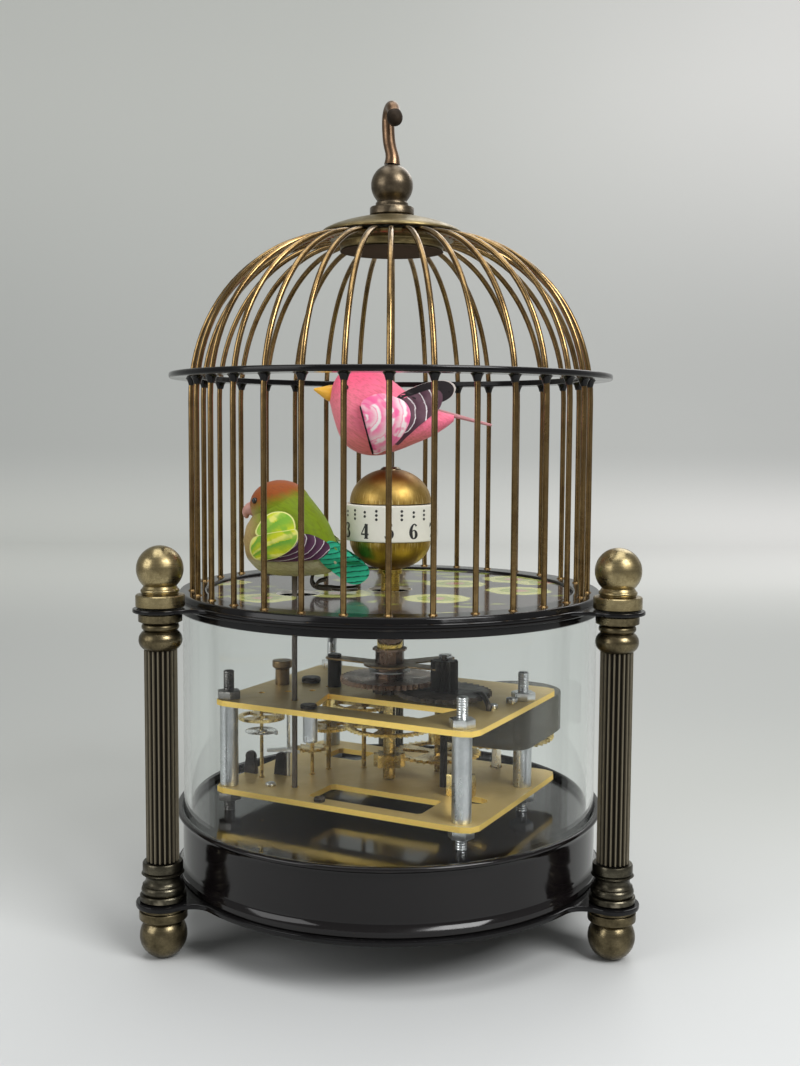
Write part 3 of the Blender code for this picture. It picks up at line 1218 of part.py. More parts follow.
def make_dial(axis):
    """The dial tube and the globe: two halves with the hour band between them."""
    tube_bottom = BUSHING_TOP - SOCKET_DEPTH + GAP
    tube_top = GLOBE_Z + SOCKET_DEPTH - GAP
    length = tube_top - tube_bottom
    attach(turned("dial_tube", [
        (DIAL_TUBE_RADIUS, length), (DIAL_TUBE_RADIUS, 0), (BORE_RADIUS, 0), (BORE_RADIUS, length),
    ], "gold_brass", 16), axis, height=tube_bottom)

    rim = GLOBE_LOWER_HEIGHT
    core_top = rim + 2 * GAP + BAND_HEIGHT + GLOBE_CORE_RISE
    socket = DIAL_TUBE_RADIUS + GAP
    mouth = socket + GLOBE_NECK_WIDTH
    start = -math.acos(mouth / GLOBE_RADIUS)
    bowl = quarter(rim, GLOBE_RADIUS, rim / math.sin(-start), 0, start, 5)
    lower = [(BORE_RADIUS, core_top), (GLOBE_CORE, core_top), (GLOBE_CORE, rim)] + bowl
    lower += [(socket, 0), (socket, SOCKET_DEPTH), (BORE_RADIUS, SOCKET_DEPTH)]
    attach(turned("globe_lower", lower, "gold_brass", GLOBE_SIDES), axis, height=GLOBE_Z)

    attach(turned("hour_band", [
        (BAND_RADIUS, BAND_HEIGHT), (BAND_RADIUS, 0), (BAND_INNER, 0), (BAND_INNER, BAND_HEIGHT),
    ], "white_band", 2 * GLOBE_SIDES), axis, height=BAND_Z)

    seat = GLOBE_CORE + GAP
    roof = GLOBE_CORE_RISE + GAP
    peak = math.acos(BORE_RADIUS / GLOBE_RADIUS)
    dome = quarter(0, GLOBE_RADIUS, GLOBE_UPPER_HEIGHT, peak, 0, 6)
    upper = [(BORE_RADIUS, roof)] + dome + [(seat, 0), (seat, roof)]
    attach(turned("globe_upper", upper, "gold_brass", GLOBE_SIDES), axis, height=GLOBE_UPPER_Z)


def make_winding_key(movement):
    """The winding arbor with the winged key under the drum."""
    key_bottom = BASE_PLATE_Z - UNDERSIDE_CLEARANCE - KEY_HEIGHT
    top = TRAIN_Z + HOUSING_LIFT + WINDING_REACH
    arbor = turned("winding_key", [
        (0, top - key_bottom), (WINDING_ARBOR_RADIUS, top - key_bottom), (WINDING_ARBOR_RADIUS, KEY_HEIGHT),
        (KEY_HUB_RADIUS, KEY_HEIGHT), (KEY_HUB_RADIUS, 0), (0, 0),
    ], "bright_steel", ARBOR_SIDES)
    wing = KEY_WIDTH / 2
    outline = round_box(-wing, wing, GAP, KEY_HEIGHT - GAP, (KEY_CORNER,) * 4)
    holes = [circle((side * 0.60 * wing, KEY_HEIGHT / 2), KEY_HOLE_RADIUS, 8) for side in (-1, 1)]
    wings = flat("wings", [outline] + holes, -KEY_THICKNESS / 2, KEY_THICKNESS, "bright_steel")
    wings.data.transform(Matrix.Rotation(math.pi / 2, 4, "X"))
    attach(join(arbor, wings), movement, GREAT_PLACE, key_bottom)


def lofted(name, stations, material):
    """A bird's body through upright oval sections, closed at both ends."""
    mesh = bpy.data.meshes.new(name)
    work = bmesh.new()
    rings = []
    for x, low, high, half_width in stations:
        middle, half_height = (low + high) / 2, (high - low) / 2
        ring = []
        for side in range(BIRD_SIDES):
            turn = math.tau * side / BIRD_SIDES
            height = middle + half_height * math.sin(turn)
            ring.append(work.verts.new((x, half_width * math.cos(turn), height)))
        rings.append(ring)
    for first, second in zip(rings, rings[1:]):
        for side in range(BIRD_SIDES):
            following = (side + 1) % BIRD_SIDES
            work.faces.new((first[side], first[following], second[following], second[side]))
    work.faces.new(rings[0])
    work.faces.new(rings[-1])
    bmesh.ops.recalc_face_normals(work, faces=work.faces)
    work.to_mesh(mesh)
    work.free()
    return settle(link(name, mesh, material))


def body_half_width(stations, x, z):
    """How far a body's side is from its middle plane at a point of its side view."""
    x = min(max(x, stations[0][0]), stations[-1][0])
    for first, second in zip(stations, stations[1:]):
        if first[0] <= x <= second[0]:
            share = (x - first[0]) / (second[0] - first[0])
            low, high, half = (a + (b - a) * share for a, b in zip(first[1:], second[1:]))
            middle, half_height = (low + high) / 2, (high - low) / 2
            across = min(0.98, abs(z - middle) / half_height)
            return half * math.sqrt(1 - across ** 2)
    return 0.0


def wing(name, stations, shape, side, material):
    """A thin wing that follows the body's side from its root to its tip."""
    (root_x, root_top, root_low), (tip_x, tip_top, tip_low) = shape
    columns, rows = 5, 2
    mesh = bpy.data.meshes.new(name)
    work = bmesh.new()
    grid = []
    for column in range(columns + 1):
        share = column / columns
        x = root_x + (tip_x - root_x) * share
        round_off = math.sin(math.pi * min(1.0, 0.18 + 0.64 * share))
        top = root_top + (tip_top - root_top) * share
        low = root_low + (tip_low - root_low) * share
        middle, half = (top + low) / 2, (top - low) / 2 * round_off
        line = []
        for row in range(rows + 1):
            z = middle + half * (2 * row / rows - 1)
            y = body_half_width(stations, x, z)
            line.append(work.verts.new((x, side * y, z)))
        grid.append(line)
    widest = [max(abs(vertex.co.y) for vertex in line) for line in grid]
    for line, width in zip(grid, widest):
        for vertex in line:
            vertex.co.y = side * (max(abs(vertex.co.y), 0.86 * width) + WING_LIFT)
    for first, second in zip(grid, grid[1:]):
        for row in range(rows):
            work.faces.new((first[row], second[row], second[row + 1], first[row + 1]))
    bmesh.ops.recalc_face_normals(work, faces=work.faces)
    work.to_mesh(mesh)
    work.free()
    item = link(name, mesh, material)
    shell = item.modifiers.new("Thickness", "SOLIDIFY")
    shell.thickness = WING_THICKNESS
    shell.offset = 0.0
    return settle(item)


def cone_between(name, line, radius, material):
    """A beak: a cone from the head to its tip."""
    (base_x, base_z), (tip_x, tip_z) = line
    points = [(base_x, 0, base_z), (tip_x, 0, tip_z)]
    return wire(name, points, radius, material, 2, [1.0, 0.08])


def make_bird(axis, colour, stations, beak, beak_radius, shape, place, seat, spindle_bottom, extra=()):
    """A bird with its spindle; the body's bore takes the spindle's top."""
    body = lofted(f"{colour}_body", stations, f"{colour}_bird")
    body = join(body, cone_between("beak", beak, beak_radius, f"{colour}_bird"), *extra)
    belly = min(station[1] for station in stations)
    bore_top = belly + BIRD_BORE_DEPTH
    body = cut(body, rod("bore", SPINDLE_RADIUS + GAP, 0, bore_top, f"{colour}_bird"))
    attach(body, axis, place, seat)
    for side, word in ((-1, "near"), (1, "far")):
        attach(wing(f"{colour}_wing_{word}", stations, shape, side, "feather"), axis, place, seat)
    spindle = rod(f"{colour}_spindle", SPINDLE_RADIUS, spindle_bottom, seat + bore_top - GAP, "dark_steel")
    attach(spindle, axis, place)


def make_birds(axis):
    """The pink bird over the globe and the green bird on the deck."""
    bottom = BOTTOM_PLATE_Z + GAP
    tail_line = [(x, 0, z) for x, z in PINK_TAIL]
    tail = wire("tail", tail_line, PINK_TAIL_RADIUS, "pink_bird")
    make_bird(axis, "pink", PINK_STATIONS, PINK_BEAK, PINK_BEAK_RADIUS, PINK_WING,
              (0, 0), GLOBE_TOP, bottom, (tail,))
    make_bird(axis, "green", GREEN_STATIONS, GREEN_BEAK, GREEN_BEAK_RADIUS, GREEN_WING,
              GREEN_SPINDLE_PLACE, DECK_RING_TOP, bottom)


def main():
    """Build the whole clock about its axis, with the origin under the middle of its box."""
    clear_scene()
    axis = bpy.data.objects.new("clock_axis", None)
    axis.location.y = AXIS_Y
    movement = bpy.data.objects.new("movement_axis", None)
    movement.parent = axis
    movement.rotation_euler.z = MOVEMENT_YAW
    for guide in (axis, movement):
        bpy.data.collections["birdcage_clock"].objects.link(guide)
    make_feet(axis)
    make_columns(axis)
    make_drum(axis)
    make_glass(axis)
    make_deck(axis)
    make_cage(axis)
    make_mid_ring(axis)
    make_crown(axis)
    make_plates(movement)
    make_pillars(movement)
    make_housing(movement)
    make_train(movement)
    make_motion_work(movement)
    make_dial(axis)
    make_winding_key(movement)
    make_birds(axis)


main()
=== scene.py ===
"""The looks of the birdcage clock: finishes, fine shapes, light, floor and camera."""
from __future__ import annotations

import json
import logging
import math
from dataclasses import dataclass
from enum import Enum

import bmesh
import bpy
from mathutils import Matrix, Vector

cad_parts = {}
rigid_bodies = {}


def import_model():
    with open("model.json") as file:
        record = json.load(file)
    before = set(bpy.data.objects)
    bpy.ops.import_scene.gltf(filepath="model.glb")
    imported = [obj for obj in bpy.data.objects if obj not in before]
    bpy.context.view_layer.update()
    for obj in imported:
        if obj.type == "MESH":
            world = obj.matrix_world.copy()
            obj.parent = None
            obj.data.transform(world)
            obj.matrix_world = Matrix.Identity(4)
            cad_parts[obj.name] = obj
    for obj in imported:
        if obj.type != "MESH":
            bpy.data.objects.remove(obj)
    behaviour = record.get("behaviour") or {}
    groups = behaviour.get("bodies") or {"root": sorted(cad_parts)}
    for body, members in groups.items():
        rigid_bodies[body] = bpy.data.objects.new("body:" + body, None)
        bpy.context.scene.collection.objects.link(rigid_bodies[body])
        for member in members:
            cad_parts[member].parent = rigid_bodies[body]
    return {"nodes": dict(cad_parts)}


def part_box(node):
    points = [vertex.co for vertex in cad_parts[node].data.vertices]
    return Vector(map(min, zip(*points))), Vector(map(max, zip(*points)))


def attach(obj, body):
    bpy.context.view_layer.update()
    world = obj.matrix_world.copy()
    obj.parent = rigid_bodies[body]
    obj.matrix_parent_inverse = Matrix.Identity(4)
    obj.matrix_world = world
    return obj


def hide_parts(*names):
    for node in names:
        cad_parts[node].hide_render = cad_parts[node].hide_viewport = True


LOG = logging.getLogger("birdcage_clock")

Profile = list[tuple[float, float]]
Places = tuple[tuple[float, float], ...]
Colour = tuple[float, float, float]
Spot = tuple[float, float, float]
Socket = bpy.types.NodeSocket
Mesh = bpy.types.Mesh


class Body(str, Enum):
    """The moving groups that pieces ride on."""

    FRAME = "frame"
    DIAL = "dial"
    GREEN = "green_bird"
    PINK = "pink_bird"


class Side(Enum):
    """Which side of a bird a wing is on."""

    NEAR = -1.0
    FAR = 1.0


# Materials


class Graph:
    """A thin writer for the nodes of one material or node group."""

    def __init__(self, tree: bpy.types.NodeTree) -> None:
        """Take the tree to write in."""
        self.tree = tree

    def node(self, kind: str, **settings: object) -> bpy.types.Node:
        """Add a node.

        Args:
            kind: Node type name without the leading ShaderNode.
            settings: Attributes to set on the node.

        Returns:
            The new node.
        """
        made = self.tree.nodes.new("ShaderNode" + kind)
        for name, value in settings.items():
            setattr(made, name, value)
        return made

    def feed(self, socket: Socket, value: object) -> None:
        """Link a socket to the input, or set the input to a plain value.

        Args:
            socket: The input to feed.
            value: Another node's output, or a plain value.
        """
        if isinstance(value, Socket):
            self.tree.links.new(value, socket)
        else:
            socket.default_value = value

    def math(self, operation: str, first: object, second: object = 0.0, clamp: bool = False) -> Socket:
        """Combine two values.

        Args:
            operation: Name of the Math operation.
            first: First value or socket.
            second: Second value or socket.
            clamp: Whether the result stays within 0 and 1.

        Returns:
            The result's socket.
        """
        made = self.node("Math", operation=operation, use_clamp=clamp)
        self.feed(made.inputs[0], first)
        self.feed(made.inputs[1], second)
        return made.outputs[0]

    def add(self, first: object, second: object, clamp: bool = False) -> Socket:
        """Add two values."""
        return self.math("ADD", first, second, clamp)

    def less(self, first: object, second: object) -> Socket:
        """Take the second value from the first."""
        return self.math("SUBTRACT", first, second)

    def times(self, first: object, second: object) -> Socket:
        """Multiply two values."""
        return self.math("MULTIPLY", first, second)

    def reach(self, across: object, along: object) -> Socket:
        """How far a point of a plane lies from its origin."""
        return self.math("SQRT", self.add(self.times(across, across), self.times(along, along)))

    def span(self, value: object, low: float, high: float, to_low: float = 0.0,
             to_high: float = 1.0) -> Socket:
        """Map a value from one range to another with smooth ends.

        Args:
            value: The value's socket.
            low: Start of the range read.
            high: End of the range read.
            to_low: Start of the range given out.
            to_high: End of the range given out.

        Returns:
            The mapped value's socket.
        """
        made = self.node("MapRange", interpolation_type="SMOOTHSTEP")
        self.feed(made.inputs["Value"], value)
        self.feed(made.inputs["From Min"], low)
        self.feed(made.inputs["From Max"], high)
        self.feed(made.inputs["To Min"], to_low)
        self.feed(made.inputs["To Max"], to_high)
        return made.outputs["Result"]

    def mix(self, share: object, first: object, second: object) -> Socket:
        """Mix two colours.

        Args:
            share: How much of the second colour shows.
            first: First colour or socket.
            second: Second colour or socket.

        Returns:
            The mixed colour's socket.
        """
        made = self.node("Mix", data_type="RGBA")
        self.feed(made.inputs["Factor"], share)
        for name, colour in (("A", first), ("B", second)):
            socket = next(item for item in made.inputs if item.name == name and item.type == "RGBA")
            self.feed(socket, (*colour, 1.0) if isinstance(colour, tuple) else colour)
        return next(item for item in made.outputs if item.type == "RGBA")

    def place(self) -> Socket:
        """Give the object coordinates."""
        return self.node("TexCoord").outputs["Object"]

    def split(self, vector: Socket) -> list[Socket]:
        """Give a vector's three parts."""
        made = self.node("SeparateXYZ")
        self.feed(made.inputs[0], vector)
        return list(made.outputs)

    def join(self, parts: tuple[object, object, object]) -> Socket:
        """Give a vector made of three values.

        Args:
            parts: Three plain values or outputs.

        Returns:
            The vector's socket.
        """
        made = self.node("CombineXYZ")
        for socket, part in zip(made.inputs, parts):
            self.feed(socket, part)
        return made.outputs[0]

    def scaled(self, vector: Socket, scale: object) -> Socket:
        """Give a vector times a number or a triple.

        Args:
            vector: The vector's socket.
            scale: One factor, or one for each axis.

        Returns:
            The new vector's socket.
        """
        made = self.node("VectorMath", operation="MULTIPLY")
        self.feed(made.inputs[0], vector)
        if isinstance(scale, (int, float)):
            scale = (scale, scale, scale)
        self.feed(made.inputs[1], scale)
        return made.outputs[0]

    def noise(self, vector: Socket, scale: object, detail: float = 4.0, rough: float = 0.55) -> Socket:
        """Add a noise texture.

        Args:
            vector: Where it is read.
            scale: Its scale, a number or a socket.
            detail: Its octaves.
            rough: How strong the fine octaves are.

        Returns:
            The noise value's socket.
        """
        made = self.node("TexNoise")
        self.feed(made.inputs["Vector"], vector)
        self.feed(made.inputs["Scale"], scale)
        made.inputs["Detail"].default_value = detail
        made.inputs["Roughness"].default_value = rough
        return made.outputs["Fac"]

    def group(self, name: str, **values: object) -> bpy.types.Node:
        """Place a shared effect.

        Args:
            name: The node group's name.
            values: Its inputs, with underscores for spaces.

        Returns:
            The group's node.
        """
        made = self.node("Group")
        made.node_tree = bpy.data.node_groups[name]
        for key, value in values.items():
            self.feed(made.inputs[key.replace("_", " ")], value)
        return made


class Effects:
    """The node groups that several finishes share."""

    @staticmethod
    def start(name: str, inputs: dict[str, float], outputs: tuple[str, ...]) -> tuple[Graph, dict, dict]:
        """Open a new node group.

        Args:
            name: Its name.
            inputs: Its float inputs with their defaults.
            outputs: Its float outputs.

        Returns:
            The writer, the input sockets and the output sockets by name.
        """
        tree = bpy.data.node_groups.new(name, "ShaderNodeTree")
        for key, value in inputs.items():
            made = tree.interface.new_socket(name=key, in_out="INPUT", socket_type="NodeSocketFloat")
            made.default_value = value
        for key in outputs:
            tree.interface.new_socket(name=key, in_out="OUTPUT", socket_type="NodeSocketFloat")
        enter = {item.name: item for item in tree.nodes.new("NodeGroupInput").outputs}
        leave = {item.name: item for item in tree.nodes.new("NodeGroupOutput").inputs}
        return Graph(tree), enter, leave

    @classmethod
    def build(cls) -> None:
        """Make every shared effect once."""
        cls.patina()
        cls.edge_wear()
        cls.turning_marks()
        cls.brushing()
        cls.dust()
        cls.fibres()

    @classmethod
    def patina(cls) -> None:
        """Blotches of tarnish: a mask and a fine height."""
        graph, enter, leave = cls.start("patina", {"Scale": 200.0, "Spread": 0.2}, ("Mask", "Height"))
        place = graph.place()
        large = graph.noise(place, enter["Scale"], 5.0, 0.6)
        fine = graph.noise(place, graph.times(enter["Scale"], 7.0), 3.0)
        both = graph.add(graph.times(large, 0.75), graph.times(fine, 0.25))
        low = graph.less(0.5, enter["Spread"])
        high = graph.add(0.5, enter["Spread"])
        graph.feed(leave["Mask"], graph.span(both, low, high))
        graph.feed(leave["Height"], fine)

    @classmethod
    def edge_wear(cls) -> None:
        """A mask of the edges that hands and cloths rub bright."""
        graph, enter, leave = cls.start("edge wear", {"Start": 0.52, "End": 0.62}, ("Mask",))
        rubbed = graph.node("NewGeometry").outputs["Pointiness"]
        broken = graph.noise(graph.place(), 900.0, 3.0)
        edge = graph.add(rubbed, graph.times(graph.less(broken, 0.5), 0.08))
        graph.feed(leave["Mask"], graph.span(edge, enter["Start"], enter["End"]))

    @classmethod
    def turning_marks(cls) -> None:
        """Fine rings that a lathe leaves round the piece's own Z axis."""
        graph, enter, leave = cls.start("turning marks", {"Scale": 3000.0}, ("Value",))
        x, y, z = graph.split(graph.place())
        rings = graph.join((graph.reach(x, y), graph.times(graph.math("ARCTAN2", y, x), 0.00002), z))
        graph.feed(leave["Value"], graph.noise(rings, enter["Scale"], 2.0))

    @classmethod
    def brushing(cls) -> None:
        """Long fine scratches; the scales set their run along each axis."""
        defaults = {"Scale X": 60.0, "Scale Y": 4000.0, "Scale Z": 4000.0}
        graph, enter, leave = cls.start("brushing", defaults, ("Value",))
        x, y, z = graph.split(graph.place())
        parts = tuple(
            graph.times(part, enter[name])
            for part, name in ((x, "Scale X"), (y, "Scale Y"), (z, "Scale Z"))
        )
        graph.feed(leave["Value"], graph.noise(graph.join(parts), 1.0, 3.0))

    @classmethod
    def dust(cls) -> None:
        """A mask of the faces that look up, broken into grains."""
        graph, enter, leave = cls.start("dust", {"Amount": 0.4}, ("Mask",))
        normal = graph.split(graph.node("NewGeometry").outputs["Normal"])
        grains = graph.span(graph.noise(graph.place(), 1500.0, 6.0, 0.7), 0.5, 0.72)
        upward = graph.span(normal[2], 0.3, 1.0)
        graph.feed(leave["Mask"], graph.times(graph.times(grains, upward), enter["Amount"]))

    @classmethod
    def fibres(cls) -> None:
        """Short strands of painted plumage along the bird's length."""
        graph, enter, leave = cls.start("fibres", {"Scale": 900.0, "Length": 0.25}, ("Value",))
        x, y, z = graph.split(graph.place())
        along = graph.times(graph.add(x, graph.times(z, -0.6)), enter["Length"])
        across = graph.add(z, graph.times(x, 0.6))
        graph.feed(leave["Value"], graph.noise(graph.join((along, y, across)), enter["Scale"], 3.0, 0.6))


@dataclass(frozen=True)
class Finish:
    """What every finish has: its material's name and the record's slot."""

    name: str
    slot: str

    def material(self) -> bpy.types.Material:
        """Give the finish's material, built on first use.

        Returns:
            The material.
        """
        known = bpy.data.materials.get(self.name)
        if known:
            return known
        made = bpy.data.materials.new(self.name)
        made.use_nodes = True
        graph = Graph(made.node_tree)
        self.dress(graph, made.node_tree.nodes["Principled BSDF"])
        return made

    def dress(self, graph: Graph, shader: bpy.types.Node) -> None:
        """Write the finish's nodes; each kind of finish has its own."""
        raise NotImplementedError

    @staticmethod
    def coat(graph: Graph, shader: bpy.types.Node, colour: object, rough: object) -> None:
        """Feed the shader's colour and roughness."""
        graph.feed(shader.inputs["Base Color"], colour)
        graph.feed(shader.inputs["Roughness"], rough)

    @staticmethod
    def bump(graph: Graph, shader: bpy.types.Node, height: object, strength: float,
             distance: float = 0.0001) -> None:
        """Feed the shader's normal from a height.

        Args:
            graph: The material's writer.
            shader: Its shader.
            height: The height's socket.
            strength: How much of the bump shows.
            distance: The height's size in metres.
        """
        bump = graph.node("Bump")
        bump.inputs["Strength"].default_value = strength
        bump.inputs["Distance"].default_value = distance
        graph.feed(bump.inputs["Height"], height)
        graph.feed(shader.inputs["Normal"], bump.outputs["Normal"])


@dataclass(frozen=True)
class Metal(Finish):
    """Metal with tarnish, worn edges, and lathe or brush marks."""

    deep: Colour = (0.10, 0.07, 0.03)
    base: Colour = (0.30, 0.22, 0.10)
    worn: Colour = (0.62, 0.47, 0.20)
    rough: tuple[float, float] = (0.26, 0.46)
    blotches: float = 220.0
    spread: float = 0.22
    wear: tuple[float, float] = (0.53, 0.64)
    lathe: bool = True
    run: tuple[float, float, float] = (4000.0, 4000.0, 40.0)
    marks: float = 0.25
    dusty: float = 0.0
    metallic: float = 1.0
    gloss: float = 0.5

    def dress(self, graph: Graph, shader: bpy.types.Node) -> None:
        """Write tarnish, wear, marks and dust into the shader.

        Args:
            graph: The material's writer.
            shader: Its shader.
        """
        tarnish = graph.group("patina", Scale=self.blotches, Spread=self.spread)
        edges = graph.group("edge wear", Start=self.wear[0], End=self.wear[1]).outputs["Mask"]
        if self.lathe:
            marks = graph.group("turning marks", Scale=2600.0).outputs["Value"]
        else:
            marks = graph.group("brushing", Scale_X=self.run[0], Scale_Y=self.run[1], Scale_Z=self.run[2])
            marks = marks.outputs["Value"]
        colour = graph.mix(tarnish.outputs["Mask"], self.deep, self.base)
        colour = graph.mix(graph.times(edges, 0.8), colour, self.worn)
        low, high = self.rough
        rough = graph.span(tarnish.outputs["Mask"], 0.0, 1.0, high, low)
        rough = graph.add(rough, graph.times(graph.less(marks, 0.5), 0.25), True)
        metallic: object = self.metallic
        if self.dusty:
            dust = graph.group("dust", Amount=self.dusty).outputs["Mask"]
            colour = graph.mix(dust, colour, (0.42, 0.40, 0.36))
            rough = graph.add(rough, graph.times(dust, 0.4), True)
            metallic = graph.times(graph.less(1.0, dust), self.metallic)
        self.coat(graph, shader, colour, rough)
        graph.feed(shader.inputs["Metallic"], metallic)
        shader.inputs["Specular IOR Level"].default_value = self.gloss
        height = graph.add(graph.times(marks, 0.6), graph.times(tarnish.outputs["Height"], 0.4))
        self.bump(graph, shader, height, self.marks, 0.00006)


@dataclass(frozen=True)
class Lacquer(Finish):
    """Gloss black paint on sheet metal, with faint haze, chips and dust."""

    base: Colour = (0.0045, 0.0042, 0.0045)
    worn: Colour = (0.060, 0.050, 0.040)
    rough: tuple[float, float] = (0.08, 0.20)
    dusty: float = 0.08
    chip: float = 0.4
    gloss: float = 0.32

    def dress(self, graph: Graph, shader: bpy.types.Node) -> None:
        """Write haze, chipped edges and dust into the shader.

        Args:
            graph: The material's writer.
            shader: Its shader.
        """
        haze = graph.group("patina", Scale=60.0, Spread=0.25)
        edges = graph.group("edge wear", Start=0.56, End=0.70).outputs["Mask"]
        dust = graph.group("dust", Amount=self.dusty).outputs["Mask"]
        colour = graph.mix(graph.times(edges, self.chip), self.base, self.worn)
        colour = graph.mix(graph.times(dust, 0.5), colour, (0.30, 0.29, 0.27))
        low, high = self.rough
        rough = graph.span(haze.outputs["Mask"], 0.0, 1.0, low, high)
        rough = graph.add(rough, graph.times(dust, 0.5), True)
        self.coat(graph, shader, colour, rough)
        shader.inputs["Specular IOR Level"].default_value = self.gloss
        self.bump(graph, shader, haze.outputs["Height"], 0.06, 0.0001)


@dataclass(frozen=True)
class Glass(Finish):
    """Clear glass that lets the lamps through."""

    tint: Colour = (0.965, 0.985, 0.98)
    rough: float = 0.0
    smear: float = 0.004
    bending: float = 1.22

    def dress(self, graph: Graph, shader: bpy.types.Node) -> None:
        """Set the glass and let light from the lamps pass it.

        Args:
            graph: The material's writer.
            shader: Its shader.
        """
        shader.inputs["Base Color"].default_value = (*self.tint, 1.0)
        shader.inputs["Transmission Weight"].default_value = 1.0
        shader.inputs["IOR"].default_value = self.bending
        smears = graph.group("patina", Scale=35.0, Spread=0.18).outputs["Mask"]
        rough = graph.span(smears, 0.3, 1.0, self.rough, self.rough + self.smear)
        graph.feed(shader.inputs["Roughness"], rough)
        light = graph.node("LightPath")
        lamps = graph.math("MAXIMUM", light.outputs["Is Shadow Ray"], light.outputs["Is Diffuse Ray"])
        graph.feed(shader.inputs["Alpha"], graph.less(1.0, lamps))


@dataclass(frozen=True)
class Plastic(Finish):
    """Moulded plastic or enamel with a faint mottle and specks."""

    base: Colour = (0.8, 0.8, 0.76)
    shade: Colour = (0.7, 0.68, 0.62)
    rough: tuple[float, float] = (0.35, 0.5)
    scale: float = 120.0
    alpha: float = 1.0

    def dress(self, graph: Graph, shader: bpy.types.Node) -> None:
        """Write the mottle and a fine moulded grain into the shader.

        Args:
            graph: The material's writer.
            shader: Its shader.
        """
        mottle = graph.group("patina", Scale=self.scale, Spread=0.3)
        edges = graph.group("edge wear", Start=0.54, End=0.66).outputs["Mask"]
        colour = graph.mix(graph.times(mottle.outputs["Mask"], 0.6), self.base, self.shade)
        colour = graph.mix(graph.times(edges, 0.3), colour, self.shade)
        self.coat(graph, shader, colour, graph.span(mottle.outputs["Mask"], 0.0, 1.0, *self.rough))
        shader.inputs["Alpha"].default_value = self.alpha
        self.bump(graph, shader, mottle.outputs["Height"], 0.12, 0.00005)


@dataclass(frozen=True)
class Blossoms(Finish):
    """The deck's print: scattered blossoms and leaves under varnish."""

    ground: Colour = (0.060, 0.046, 0.044)
    leaf: Colour = (0.34, 0.40, 0.06)
    petal: Colour = (0.66, 0.66, 0.24)
    heart: Colour = (0.52, 0.26, 0.20)
    dusty: float = 0.25
    flowers: float = 40.0
    sprigs: float = 62.0
    varnish: float = 0.28

    def dress(self, graph: Graph, shader: bpy.types.Node) -> None:
        """Write rings of petals and leaf shapes over the dark ground.

        Args:
            graph: The material's writer.
            shader: Its shader.
        """
        place = graph.place()
        wave = graph.node("VectorMath", operation="ADD")
        bend = graph.node("TexNoise")
        graph.feed(bend.inputs["Vector"], place)
        bend.inputs["Scale"].default_value = 260.0
        graph.feed(wave.inputs[0], place)
        graph.feed(wave.inputs[1], graph.scaled(bend.outputs["Color"], 0.0035))
        cells = graph.node("TexVoronoi", voronoi_dimensions="2D")
        graph.feed(cells.inputs["Vector"], wave.outputs[0])
        cells.inputs["Scale"].default_value = self.flowers
        away = cells.outputs["Distance"]
        pick = graph.split(cells.outputs["Color"])[0]
        flower = graph.times(graph.span(away, 0.40, 0.34), graph.span(pick, 0.42, 0.46))
        ring = graph.times(graph.span(away, 0.20, 0.24), flower)
        heart = graph.times(graph.span(away, 0.13, 0.10), flower)
        sprigs = graph.node("TexVoronoi", voronoi_dimensions="2D", feature="DISTANCE_TO_EDGE")
        graph.feed(sprigs.inputs["Vector"], graph.scaled(wave.outputs[0], (1.0, 1.6, 1.0)))
        sprigs.inputs["Scale"].default_value = self.sprigs
        leaves = graph.times(graph.span(sprigs.outputs["Distance"], 0.16, 0.20),
                             graph.span(graph.noise(place, 40.0, 2.0), 0.52, 0.56))
        veins = graph.noise(place, 700.0, 5.0, 0.7)
        colour = graph.mix(graph.times(veins, 0.5), self.ground,
                           tuple(0.6 * part for part in self.ground))
        colour = graph.mix(graph.times(leaves, 0.8), colour, self.leaf)
        colour = graph.mix(flower, colour, self.leaf)
        colour = graph.mix(graph.times(ring, 0.8), colour, self.petal)
        colour = graph.mix(heart, colour, self.heart)
        dust = graph.group("dust", Amount=self.dusty).outputs["Mask"]
        colour = graph.mix(graph.times(dust, 0.4), colour, (0.4, 0.39, 0.36))
        self.coat(graph, shader, colour, graph.add(graph.times(dust, 0.4), 0.12))
        shader.inputs["Specular IOR Level"].default_value = 0.25
        shader.inputs["Coat Weight"].default_value = self.varnish
        shader.inputs["Coat Roughness"].default_value = 0.05
        self.bump(graph, shader, graph.add(flower, leaves), 0.05, 0.0001)


